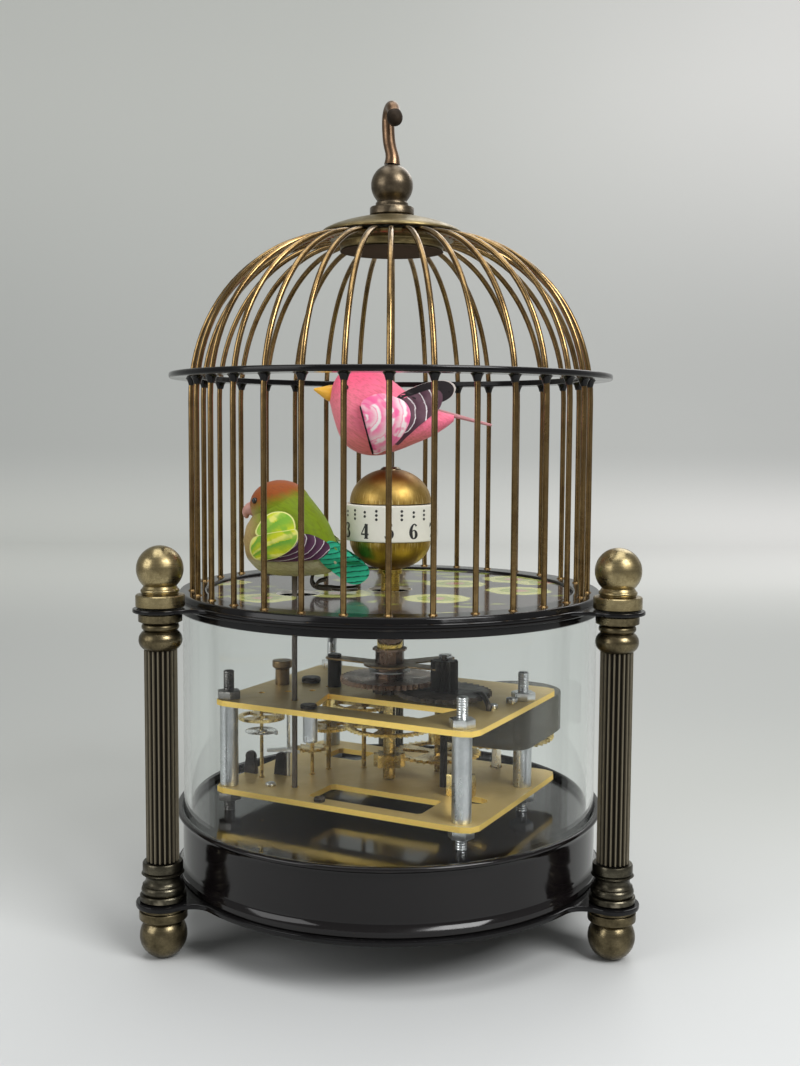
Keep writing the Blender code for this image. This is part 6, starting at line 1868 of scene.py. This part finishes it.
@dataclass
class Bird:
    """A painted bird: body, beak, eyes, wings and tail about its spindle."""

    colour: str
    body: Body
    place: Vector
    stations: tuple[tuple[float, float, float, float], ...]
    coat: Plumage
    beak_finish: Finish
    beak: tuple[tuple[float, float, float], ...]
    eye: tuple[float, float]
    feathers: list[Feather]
    far_feathers: list[Feather]
    head: tuple[float, float, float, float, float] | None = None
    eye_radius: float = 0.0009
    sides: int = 32

    def fine_stations(self) -> list[tuple[float, float, float, float]]:
        """Smooth the sections between the given ones."""
        upper = smooth_line([Vector((x, high, half)) for x, _, high, half in self.stations], 5)
        lower = smooth_line([Vector((x, low, half)) for x, low, _, half in self.stations], 5)
        return [(top.x, bottom.y, top.y, max(0.0004, top.z)) for top, bottom in zip(upper, lower)]

    def half_width(self, x: float, z: float) -> float:
        """How far the body's side is from its middle plane.

        Args:
            x: Place along the bird.
            z: Height.

        Returns:
            The half width there, zero outside the body.
        """
        fine = self.fine_stations()
        x = min(max(x, fine[0][0]), fine[-1][0])
        for first, second in zip(fine, fine[1:]):
            if first[0] <= x <= second[0]:
                share = (x - first[0]) / max(1e-9, second[0] - first[0])
                low, high, half = (a + (b - a) * share for a, b in zip(first[1:], second[1:]))
                across = min(0.93, abs(z - (low + high) / 2) / max(1e-6, (high - low) / 2))
                return max(half * math.sqrt(1 - across ** 2), self.head_width(x, z))
        return 0.0

    def head_width(self, x: float, z: float) -> float:
        """The head's half width at a place, zero outside it.

        Args:
            x: Place along the bird.
            z: Height.

        Returns:
            The half width there.
        """
        if not self.head:
            return 0.0
        middle_x, middle_z, long, tall, wide = self.head
        inside = 1 - ((x - middle_x) / long) ** 2 - ((z - middle_z) / tall) ** 2
        return wide * math.sqrt(max(0.0, inside))

    def body_mesh(self) -> Mesh:
        """The body, lofted through its smooth sections.

        Returns:
            The closed mesh.
        """
        work = bmesh.new()
        rings = []
        for x, low, high, half in self.fine_stations():
            middle, tall = (low + high) / 2, (high - low) / 2
            turns = (math.tau * side / self.sides for side in range(self.sides))
            rings.append([work.verts.new((x, half * math.cos(turn), middle + tall * math.sin(turn)))
                          for turn in turns])
        skin(work, rings)
        for ring, step in ((rings[0], -0.0006), (rings[-1], 0.0002)):
            middle = sum((vertex.co for vertex in ring), Vector()) / len(ring)
            skin(work, [ring], work.verts.new(middle + Vector((step, 0, 0))))
        if self.head:
            middle_x, middle_z, long, tall, wide = self.head
            shape = Matrix.Translation((middle_x, 0, middle_z)) @ Matrix.Diagonal((long, wide, tall, 1.0))
            bmesh.ops.create_uvsphere(work, u_segments=40, v_segments=24, radius=1.0, matrix=shape)
        return from_bmesh("body", work)

    def feather_mesh(self, feather: Feather, side: Side) -> list[tuple[Mesh, Finish]]:
        """A feather that lies along the body's side.

        Args:
            feather: Its outline, lift and finish.
            side: The side of the bird.

        Returns:
            The meshes of the feather and its rim with their finishes.
        """
        results = []
        outline = feather.outline
        looped = [Vector((x, z, 0)) for x, z in outline + outline[:3]]
        ring = [point.to_2d() for point in smooth_line(looped, 5)[5:5 + 5 * len(outline)]]
        middle = sum(ring, Vector((0, 0))) / len(ring)
        layers = [(1.0, feather.lift, feather.finish)]
        if feather.rim:
            layers = [(feather.inset, feather.lift + feather.step, feather.finish),
                      (1.0, feather.lift, feather.rim)]
        for scale, lift, finish in layers:
            work = bmesh.new()
            rows = []
            for share in (1.0, 0.8, 0.55, 0.28):
                row = []
                for point in ring:
                    spot = middle + (point - middle) * scale * share
                    reach = self.half_width(spot.x, spot.y)
                    row.append(work.verts.new((spot.x, side.value * (max(reach, 0.0008) + lift), spot.y)))
                rows.append(row)
            stand = self.half_width(middle.x, middle.y) + lift
            skin(work, rows, work.verts.new((middle.x, side.value * stand, middle.y)))
            bmesh.ops.recalc_face_normals(work, faces=work.faces)
            bmesh.ops.solidify(work, geom=list(work.faces), thickness=feather.thickness)
            results.append((from_bmesh("feather", work), finish))
        return results

    def add(self, name: str, mesh: Mesh, finish: Finish, angle: float = 60, node: str = "") -> None:
        """Place a piece that rides with the bird."""
        settle(new_object(name, mesh, finish, self.place, angle), self.body, node)

    def build(self) -> None:
        """Make the bird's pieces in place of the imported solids."""
        self.add(f"fine_{self.colour}_body", self.body_mesh(), self.coat, node=f"{self.colour}_body")
        fine = smooth_line(vectors(*self.beak), 5)
        line, radii = [Vector((x, 0, z)) for x, z, _ in fine], [radius for _, _, radius in fine]
        self.add(f"{self.colour}_beak", tube_mesh("beak", line, radii, 20), self.beak_finish)
        eyes = []
        for side in Side:
            reach = self.half_width(*self.eye)
            eye = turned_mesh("eye", bow((0, 0), self.eye_radius, 90, -90, 10), 16)
            eye.transform(Matrix.Translation((self.eye[0], side.value * (reach + 0.0001), self.eye[1])))
            eyes.append(eye)
        self.add(f"{self.colour}_eyes", merged("eyes", eyes), EYE)
        wings = ((Side.NEAR, "near", self.feathers), (Side.FAR, "far", self.far_feathers))
        for side, word, feathers in wings:
            grouped: dict[Finish, list[Mesh]] = {}
            for feather in feathers:
                for mesh, finish in self.feather_mesh(feather, side):
                    grouped.setdefault(finish, []).append(mesh)
            for number, (finish, meshes) in enumerate(grouped.items(), 1):
                name = f"{self.colour}_wing_{word}"
                node = name if number == 1 else ""
                self.add(f"{name}_{number}", merged(name, meshes), finish, 50, node)


def leaf(root: tuple[float, float], tip: tuple[float, float], width: float) -> Profile:
    """A leaf-shaped outline between a root and a tip.

    Args:
        root: Where it starts.
        tip: Where it ends.
        width: Its greatest width.

    Returns:
        The outline's points.
    """
    start, end = Vector(root), Vector(tip)
    along = end - start
    across = Vector((-along.y, along.x)).normalized() * width / 2
    shares = ((0.0, 0.35), (0.3, 0.85), (0.65, 1.0), (0.9, 0.72), (1.0, 0.0))
    upper = [start + along * share + across * wide for share, wide in shares]
    lower = [start + along * share - across * wide for share, wide in reversed(shares[:-1])]
    return [(point.x, point.y) for point in upper + lower]


@dataclass
class Aviary(Assembly):
    """Both birds with what is fixed to them."""

    nodes: dict[str, bpy.types.Object]

    def pink(self) -> Bird:
        """The pink bird over the globe.

        Returns:
            The bird with its sizes.
        """
        seat = span_z("globe_upper")[1]
        stations = (
            (-0.0176, 0.0180, 0.0225, 0.0022), (-0.0168, 0.0148, 0.0250, 0.0050),
            (-0.0150, 0.0095, 0.0278, 0.0075),
            (-0.0125, 0.0062, 0.0291, 0.0092), (-0.0080, 0.0041, 0.0297, 0.0107),
            (-0.0030, 0.0039, 0.0284, 0.0110),
            (0.0020, 0.0053, 0.0245, 0.0103), (0.0070, 0.0073, 0.0205, 0.0086),
            (0.0120, 0.0095, 0.0178, 0.0062),
            (0.0160, 0.0120, 0.0164, 0.0040), (0.0184, 0.0139, 0.0158, 0.0018),
        )
        fan = [(0.0005, 0.0185), (0.0069, 0.0216), (0.0123, 0.0232), (0.0149, 0.0218), (0.0144, 0.0181),
               (0.0114, 0.0152), (0.0079, 0.0123), (0.0045, 0.0092), (0.0016, 0.0070), (-0.0010, 0.0120)]
        petal = [(-0.0084, 0.0183), (-0.0063, 0.0206), (-0.0025, 0.0217), (0.0010, 0.0208),
                 (0.0040, 0.0194), (0.0056, 0.0166), (0.0053, 0.0134), (0.0036, 0.0100), (0.0014, 0.0074),
                 (-0.0012, 0.0056), (-0.0044, 0.0042), (-0.0058, 0.0056), (-0.0070, 0.0115)]
        edge = [(-0.0087, 0.0172), (-0.0083, 0.0174), (-0.0066, 0.0108), (-0.0050, 0.0050),
                (-0.0055, 0.0047), (-0.0070, 0.0106)]
        near = [
            Feather(leaf((0.0020, 0.0196), (0.0184, 0.0236), 0.0066), 0.0002, NIGHT, None),
            Feather(fan, 0.0009, WINE, None),
            Feather(petal, 0.0018, ROSE, None),
            Feather(edge, 0.0022, NIGHT, None),
        ]
        far = [
            Feather(leaf((0.0000, 0.0190), (0.0190, 0.0240), 0.0068), 0.0007, NIGHT, PALE, 0.93),
            Feather(fan, 0.0011, WINE, None),
            Feather(petal, 0.0018, ROSE, None),
        ]
        beak = ((-0.0150, 0.0215, 0.0028), (-0.0180, 0.0220, 0.0024), (-0.0205, 0.0226, 0.0013),
                (-0.0226, 0.0231, 0.0003))
        return Bird("pink", Body.PINK, self.centre + Vector((0, 0, seat)), stations, PINK_COAT,
                    BEAK_YELLOW, beak, (-0.0130, 0.0234), near, far)

    def green(self) -> Bird:
        """The green bird on the deck.

        Returns:
            The bird with its sizes.
        """
        seat = span_z("deck_plate")[1]
        stations = (
            (-0.0142, 0.0120, 0.0168, 0.0024), (-0.0137, 0.0098, 0.0188, 0.0050),
            (-0.0126, 0.0081, 0.0206, 0.0068),
            (-0.0099, 0.0056, 0.0248, 0.0088), (-0.0059, 0.0044, 0.0296, 0.0101),
            (-0.0014, 0.0041, 0.0312, 0.0105),
            (0.0026, 0.0041, 0.0290, 0.0102), (0.0066, 0.0045, 0.0243, 0.0092),
            (0.0096, 0.0050, 0.0200, 0.0076),
            (0.0118, 0.0062, 0.0150, 0.0054), (0.0128, 0.0078, 0.0115, 0.0030),
        )
        fan = [(-0.0069, 0.0095), (-0.0017, 0.0132), (0.0033, 0.0172), (0.0081, 0.0158), (0.0107, 0.0132),
               (0.0081, 0.0102), (0.0011, 0.0093), (-0.0060, 0.0091)]
        upper = [(-0.0098, 0.0168), (-0.0090, 0.0203), (-0.0058, 0.0231), (-0.0018, 0.0234),
                 (0.0008, 0.0214), (0.0010, 0.0178), (-0.0030, 0.0158)]
        lower = [(-0.0118, 0.0124), (-0.0108, 0.0160), (-0.0060, 0.0176), (-0.0010, 0.0184),
                 (0.0016, 0.0186), (0.0020, 0.0158), (-0.0004, 0.0126), (-0.0050, 0.0102),
                 (-0.0100, 0.0098)]
        tail = [(0.0076, 0.0110), (0.0103, 0.0150), (0.0146, 0.0122), (0.0190, 0.0088), (0.0213, 0.0066),
                (0.0214, 0.0042), (0.0190, 0.0022), (0.0158, 0.0022), (0.0122, 0.0048), (0.0090, 0.0080)]
        near = [
            Feather(tail, 0.0005, TEAL, None),
            Feather(fan, 0.0009, VIOLET, None),
            Feather(upper, 0.0016, LIME, LEMON, 0.92),
            Feather(lower, 0.0022, LIME, LEMON, 0.94),
        ]
        far = [
            Feather(leaf((0.0010, 0.0180), (0.0138, 0.0118), 0.0056), 0.0006, NIGHT, PALE, 0.93),
            Feather(tail, 0.0005, TEAL, None),
            Feather(fan, 0.0003, VIOLET, None),
            Feather(upper, 0.0003, LIME, LEMON, 0.92),
            Feather(lower, 0.0007, LIME, LEMON, 0.94),
        ]
        beak = ((-0.0108, 0.0238, 0.0024), (-0.0128, 0.0232, 0.0021), (-0.0138, 0.0222, 0.0013),
                (-0.0137, 0.0208, 0.0004))
        place = self.centre + Vector((-0.0276, -0.0092, seat))
        return Bird("green", Body.GREEN, place, stations, GREEN_COAT, BEAK_ROSE, beak, (-0.0108, 0.0262),
                    near, far, head=(-0.0040, 0.0247, 0.0088, 0.0072, 0.0084))

    def build(self) -> None:
        """Make both birds, the tails and the wire feet."""
        pink, green = self.pink(), self.green()
        pink.build()
        green.build()
        line = vectors((0.0130, 0, 0.0170), (0.0210, 0, 0.0150), (0.0296, 0, 0.0128))
        stick = tube_mesh("stick", line, [0.0008, 0.0006, 0.0004], 10)
        pink.add("pink_tail_stick", stick, TAIL_STICK, 35)
        self.build_green_tail(green)
        self.build_feet(green)
        for bird in (pink, green):
            assign(self.nodes[f"{bird.colour}_spindle"], DARK)

    @staticmethod
    def build_green_tail(bird: Bird) -> None:
        """The broad teal tail, a stuffed fan.

        Args:
            bird: The bird that it belongs to.
        """
        fan = [(0.0060, 0.0150), (0.0103, 0.0140), (0.0146, 0.0114), (0.0190, 0.0086), (0.0213, 0.0066),
               (0.0214, 0.0042), (0.0190, 0.0022), (0.0158, 0.0022), (0.0130, 0.0040), (0.0098, 0.0070),
               (0.0070, 0.0090)]
        bird.add("green_tail", pillow_mesh("tail", fan, 0.0017), TEAL)

    @staticmethod
    def build_feet(bird: Bird) -> None:
        """The wire feet folded under the green bird.

        Args:
            bird: The bird that it belongs to.
        """
        meshes = []
        for side in (-0.0028, 0.0028):
            leg = vectors((0.0055, side * 0.6, 0.0050), (0.0050, side * 0.8, 0.0028),
                          (0.0062, side, 0.0012), (0.0100, side, 0.0008), (0.0150, side * 1.2, 0.0005),
                          (0.0185, side * 1.3, 0.0008))
            meshes.append(tube_mesh("leg", smooth_line(leg, 5), 0.00042, 8))
            claw = vectors((0.0095, side, 0.0034), (0.0070, side * 1.1, 0.0026),
                           (0.0064, side * 1.1, 0.0010), (0.0110, side * 1.5, 0.0007))
            meshes.append(tube_mesh("claw", smooth_line(claw, 5), 0.00036, 8))
        bird.add("green_feet", merged("feet", meshes), DARK)


def assign(node: bpy.types.Object, finish: Finish) -> None:
    """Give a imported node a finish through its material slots.

    Args:
        node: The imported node.
        finish: Its finish.
    """
    if not node.data.materials:
        node.data.materials.append(finish.material())
    for slot in node.material_slots:
        slot.material = finish.material()


@dataclass(frozen=True)
class Screw:
    """A slotted screw, placed in the movement's frame."""

    name: str
    place: tuple[float, float]
    radius: float
    height: float
    finish: Finish
    plate: str = "top_plate"


@dataclass
class Movement(Assembly):
    """The geared movement: plates, pillars, wheels and small parts."""

    nodes: dict[str, bpy.types.Object]
    yaw: float = math.radians(-27.6)
    pillars: Places = ((-0.0385, -0.0280), (0.0365, -0.0275), (0.0380, 0.0120), (-0.0365, 0.0275))
    bridge_posts: Places = ((-0.0197, 0.0010), (0.0105, 0.0167))
    setting_arbor: tuple[float, float] = (0.0178, 0.0005)
    bridge_rise: float = 0.0088
    bridge_sheet: float = 0.0005
    arm_radius: float = 0.0028
    hub_radius: float = 0.0078
    pillar_radius: float = 0.0027
    nut_radius: float = 0.0036
    nut_height: float = 0.0024
    thread: tuple[float, float] = (0.00148, 0.0016)
    thread_pitch: float = 0.00035
    spring_start: float = 0.0016
    spring_pitch: float = 0.0009
    spring_turns: int = 4
    balance: tuple[float, float] = (-0.0345, -0.0170)

    def at(self, u: float, v: float, z: float) -> Vector:
        """A place of the movement's turned frame in the clock's frame."""
        turned = Matrix.Rotation(self.yaw, 3, "Z") @ Vector((u, v, 0))
        return self.centre + turned + Vector((0, 0, z))

    def put(self, name: str, mesh: Mesh, finish: Finish, place: Spot, body: Body = Body.FRAME,
            node: str = "") -> None:
        """Place a small part of the movement.

        Args:
            name: The part's name.
            mesh: Its mesh.
            finish: Its finish.
            place: Its place in the movement's frame, with its height.
            body: What it rides on.
            node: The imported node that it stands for, if any.
        """
        piece = new_object(name, mesh, finish, self.at(*place))
        piece.rotation_euler.z = self.yaw
        settle(piece, body, node)

    def build(self) -> None:
        """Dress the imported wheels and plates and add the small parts."""
        finishes = {
            PLATE: ("top_plate", "bottom_plate"),
            WHEEL: ("great_wheel", "second_wheel", "centre_wheel", "third_wheel", "fourth_wheel",
                    "escape_wheel", "balance_wheel"),
            STEEL: ("pallet_lever", "winding_key"),
            DARK: ("cannon_pinion", "motion_wheel"),
            BROWNED: ("hour_wheel",),
            SMOKE: ("spring_housing",),
            TUBE: ("setting_knob",),
        }
        for finish, names in finishes.items():
            for name in names:
                assign(self.nodes[name], finish)
        self.build_pillars()
        self.build_hairspring()
        self.build_bridge()
        self.build_details()

    def build_hairspring(self) -> None:
        """The flat spiral spring between its collet and its stud."""
        low, high = span_z("hairspring")
        points = []
        for step in range(self.spring_turns * 48 + 1):
            turn = math.tau * step / 48
            reach = self.spring_start + self.spring_pitch * step / 48
            points.append(Vector((reach * math.cos(turn), reach * math.sin(turn), 0)))
        spring = tube_mesh("spring", points, 0.00013, 8)
        stud = flat_mesh("stud", [circle((points[-1].x, 0), 0.0005, 16)], -0.0006, 0.0012, 0.0001)
        collet = turned_mesh("collet", [(0.0009, -0.0004), (0.0016, -0.0004), (0.0016, 0.0004),
                                        (0.0009, 0.0004)], 24)
        mesh = merged("hairspring", [spring, stud, collet])
        self.put("fine_hairspring", mesh, STEEL, (*self.balance, (low + high) / 2), node="hairspring")

    def build_bridge(self) -> None:
        """The thin bridge on its posts, with the washer and sleeve it holds down."""
        top = span_z("top_plate")[1]
        level = top + self.bridge_rise
        apart = 0.00002
        arms = []
        for number, (u, v) in enumerate((*self.bridge_posts, self.setting_arbor)):
            turn = math.degrees(math.atan2(v, u))
            arm = bow((u, v), self.arm_radius, turn - 90, turn + 90, 12)
            arm += bow((0, 0), self.arm_radius, turn + 90, turn + 270, 4)
            arms.append(flat_mesh("arm", [arm], level + apart * number, self.bridge_sheet, 0.0001))
        hub = circle((0, 0), self.hub_radius)
        arms.append(flat_mesh("hub", [hub], level - apart, self.bridge_sheet + 4 * apart, 0.0001))
        self.put("fine_bridge", merged("bridge", arms), TAN, (0, 0, 0), node="bridge")
        for number, (place, finish) in enumerate(zip(self.bridge_posts, (DARK, STEEL)), 1):
            post = rounded([(0, top), (0.0021, top), (0.0021, level + 0.0014), (0, level + 0.0014)],
                           0.0003)
            self.put(f"bridge_post_{number}", turned_mesh("post", post, 32), finish, (*place, 0))
        foot, end = level - 0.0018, level - 0.0014
        washer = rounded([(0, foot), (0.0062, foot), (0.0062, end), (0, end)], 0.0001)
        self.put("hour_washer", turned_mesh("washer", washer, 48), STEEL, (0, 0, 0), Body.DIAL)
        foot, end = level + 0.0020, level + 0.0066
        sleeve = rounded([(0, foot), (0.0038, foot), (0.0038, end), (0.0030, end), (0, end)], 0.0002)
        self.put("hour_sleeve", turned_mesh("sleeve", sleeve, 48), TUBE, (0, 0, 0), Body.DIAL)

    def build_pillars(self) -> None:
        """Round pillars with hexagon nuts and threaded studs."""
        bottom_low, bottom_high = span_z("bottom_plate")
        top_low, top_high = span_z("top_plate")
        side = self.pillar_radius
        shank = rounded([(0, bottom_high), (side, bottom_high), (side, top_low), (0, top_low)], 0.0002)
        hexagon = bow((0, 0), self.nut_radius, 12, 312, 5)
        for number, place in enumerate(self.pillars, 1):
            low, high = span_z(f"pillar_{number}")
            turns = int((high - low) / self.thread_pitch)
            thread = [(0, low)]
            for turn in range(turns):
                thread.append((self.thread[turn % 2], low + (high - low) * (turn + 0.5) / turns))
            meshes = [turned_mesh("stud", thread + [(0.0012, high), (0, high)], 16)]
            for height in (top_high, bottom_low - self.nut_height - 0.0003):
                meshes.append(flat_mesh("nut", [hexagon], height, self.nut_height, 0.0003))
            pillar = turned_mesh("pillar", shank, 32)
            self.put(f"fine_pillar_{number}", pillar, STEEL, (*place, 0), node=f"pillar_{number}")
            self.put(f"stud_{number}", merged("stud", meshes), BLUED if number == 1 else STEEL,
                     (*place, 0))

    def build_screw(self, screw: Screw) -> None:
        """A cheese-head screw with its slot.

        Args:
            screw: Its sizes, place and finish.
        """
        radius, place = screw.radius, (*screw.place, span_z(screw.plate)[1])
        head = rounded([(0, 0), (radius, 0), (radius, screw.height), (0, screw.height)], radius * 0.25)
        self.put(screw.name, turned_mesh("head", head, 24), screw.finish, place)
        long, half = radius * 0.8, radius * 0.12
        slot = [(-long, -half), (long, -half), (long, half), (-long, half)]
        self.put(screw.name + "_slot", flat_mesh("slot", [slot], screw.height - 0.00005, 0.00008), DARK,
                 place)

    def build_details(self) -> None:
        """Screws, a post, a short pillar, lugs, a block and a spring."""
        top = span_z("top_plate")[1]
        low = span_z("bottom_plate")[1]
        under = span_z("top_plate")[0]
        for screw in (
            Screw("blued_screw_1", (-0.0294, 0.0030), 0.0030, 0.0018, DARK),
            Screw("blued_screw_2", (-0.0109, -0.0282), 0.0024, 0.0012, DARK),
            Screw("steel_screw_1", (0.0369, 0.0060), 0.0017, 0.0016, STEEL),
            Screw("steel_screw_2", (0.0350, -0.0035), 0.0014, 0.0014, STEEL),
            Screw("floor_screw_1", (-0.0062, -0.0300), 0.0016, 0.0013, DARK, "bottom_plate"),
            Screw("floor_screw_2", (-0.0270, -0.0235), 0.0015, 0.0010, STEEL, "bottom_plate"),
        ):
            self.build_screw(screw)
        post = rounded([(0, 0), (0.0022, 0), (0.0022, 0.0050), (0.0031, 0.0056), (0.0031, 0.0076),
                        (0, 0.0076)], 0.0003)
        self.put("brass_post", turned_mesh("post", post, 32), TAN, (-0.0356, -0.0039, top))
        short = rounded([(0, 0), (0.0021, 0), (0.0021, 0.0100), (0, 0.0100)], 0.0003)
        self.put("short_pillar", turned_mesh("short", short, 32), STEEL,
                 (-0.0145, -0.0215, under - 0.0100))
        lug = [(-0.0022, -0.0012), (0.0022, -0.0012), (0.0018, 0.0022)]
        lug += bow((0, 0.0040), 0.0017, -20, 200, 10) + [(-0.0018, 0.0022)]
        for number, place in ((1, (-0.0400, -0.0147)), (2, (-0.0309, -0.0119))):
            mesh = flat_mesh("lug", [lug], -0.0008, 0.0016, 0.0002)
            mesh.transform(Matrix.Rotation(math.pi / 2, 4, "X"))
            self.put(f"cock_lug_{number}", mesh, DARK, (*place, low + 0.0012))
        block = [(-0.0036, -0.0022), (0.0036, -0.0022), (0.0036, 0.0022), (-0.0036, 0.0022)]
        self.put("brass_block", flat_mesh("block", [block], low, 0.0064, 0.0003), WHEEL,
                 (0.0265, -0.0060, 0))
        lever = vectors((0.0250, 0.0030, top + 0.0016), (0.0300, 0.0000, top + 0.0030),
                        (0.0345, -0.0060, top + 0.0018), (0.0350, -0.0064, top))
        self.put("click_spring", tube_mesh("lever", smooth_line(lever, 5), 0.0008, 10), DARK, (0, 0, 0))


@dataclass(frozen=True)
class Lamp:
    """A soft square lamp that looks at the clock."""

    name: str
    place: Spot
    size: float
    power: float

    def build(self) -> None:
        """Hang the lamp."""
        data = bpy.data.lights.new(self.name, "AREA")
        data.shape = "SQUARE"
        data.size = self.size
        data.energy = self.power
        lamp = bpy.data.objects.new(self.name, data)
        aim = (Vector((0, 0, 0.12)) - Vector(self.place)).to_track_quat("-Z", "Y")
        lamp.matrix_world = Matrix.Translation(self.place) @ aim.to_matrix().to_4x4()
        bpy.context.scene.collection.objects.link(lamp)


@dataclass
class Studio:
    """Floor, backdrop, lamps and camera."""

    eye: Vector
    tilt: float = 4.818
    roll: float = 0.313
    focal: float = 1251.0
    frame_height: float = 1066.0
    sky: float = 0.33

    def build(self) -> None:
        """Set the stage about the clock."""
        self.build_camera()
        self.build_ground()
        self.build_lights()
        bpy.context.scene.view_settings.view_transform = "Standard"

    def build_camera(self) -> None:
        """The camera as fitted to the photograph."""
        data = bpy.data.cameras.new("camera")
        data.sensor_fit = "VERTICAL"
        data.sensor_height = 24.0
        data.lens = self.focal / self.frame_height * 24.0
        data.clip_start = 0.01
        camera = bpy.data.objects.new("camera", data)
        tilt = Matrix.Rotation(math.radians(90 - self.tilt), 4, "X")
        roll = Matrix.Rotation(math.radians(self.roll), 4, "Z")
        camera.matrix_world = Matrix.Translation(self.eye) @ tilt @ roll
        bpy.context.scene.collection.objects.link(camera)
        bpy.context.scene.camera = camera

    def build_ground(self) -> None:
        """The floor that rises into the backdrop."""
        work = bmesh.new()
        line = [(-1.6, 0.0), (1.16, 0.0)]
        line += [(1.16 + across, 0.12 + rise) for across, rise in bow((0, 0), 0.12, -80, 0, 8)]
        line += [(1.28, 2.6)]
        rows = [[work.verts.new((x, y, z)) for x in (-2.5, 2.5)] for y, z in line]
        for first, second in zip(rows, rows[1:]):
            work.faces.new((first[0], first[1], second[1], second[0]))
        mesh = bpy.data.meshes.new("ground")
        work.to_mesh(mesh)
        work.free()
        mesh.shade_smooth()
        ground = bpy.data.objects.new("ground", mesh)
        mesh.materials.append(Ground("ground", "").material())
        bpy.context.scene.collection.objects.link(ground)

    def build_lights(self) -> None:
        """Soft lamps on both sides and above, over an even sky."""
        for lamp in (
            Lamp("key", (0.50, -0.55, 0.70), 0.45, 7.8), Lamp("fill", (-0.75, -0.45, 0.45), 0.55, 2.9),
            Lamp("top", (0.0, 0.00, 0.95), 0.80, 4.8), Lamp("back", (0.35, 0.75, 0.80), 0.60, 2.4),
        ):
            lamp.build()
        world = bpy.data.worlds.new("sky")
        world.use_nodes = True
        sky = world.node_tree.nodes["Background"]
        sky.inputs["Color"].default_value = (0.95, 0.96, 0.96, 1.0)
        sky.inputs["Strength"].default_value = self.sky
        bpy.context.scene.world = world


def corners(bounds: object) -> list:
    """Give bounds as plain lists of numbers."""
    return [[float(value) for value in corner] for corner in bounds]


def main() -> None:
    """Build the clock's looks in order."""
    logging.basicConfig(level=logging.INFO, format="%(message)s")
    for item in list(bpy.data.objects):
        bpy.data.objects.remove(item, do_unlink=True)
    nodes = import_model()["nodes"]
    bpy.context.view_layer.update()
    low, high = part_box("glass_cylinder")
    centre = Vector((0, (low.y + high.y) / 2, 0))
    Effects.build()
    Studio(eye=centre + Vector((0.00285, -0.36887, 0.14499))).build()
    drum = Drum(centre)
    for name, part in (
        ("columns", Columns(centre)), ("drum", drum), ("deck", Deck(centre, drum)),
        ("cage", Cage(centre)),
        ("globe", Globe(centre)), ("movement", Movement(centre, nodes)), ("birds", Aviary(centre, nodes)),
    ):
        part.build()
        LOG.info("built %s", name)


if __name__ == "__main__":
    main()
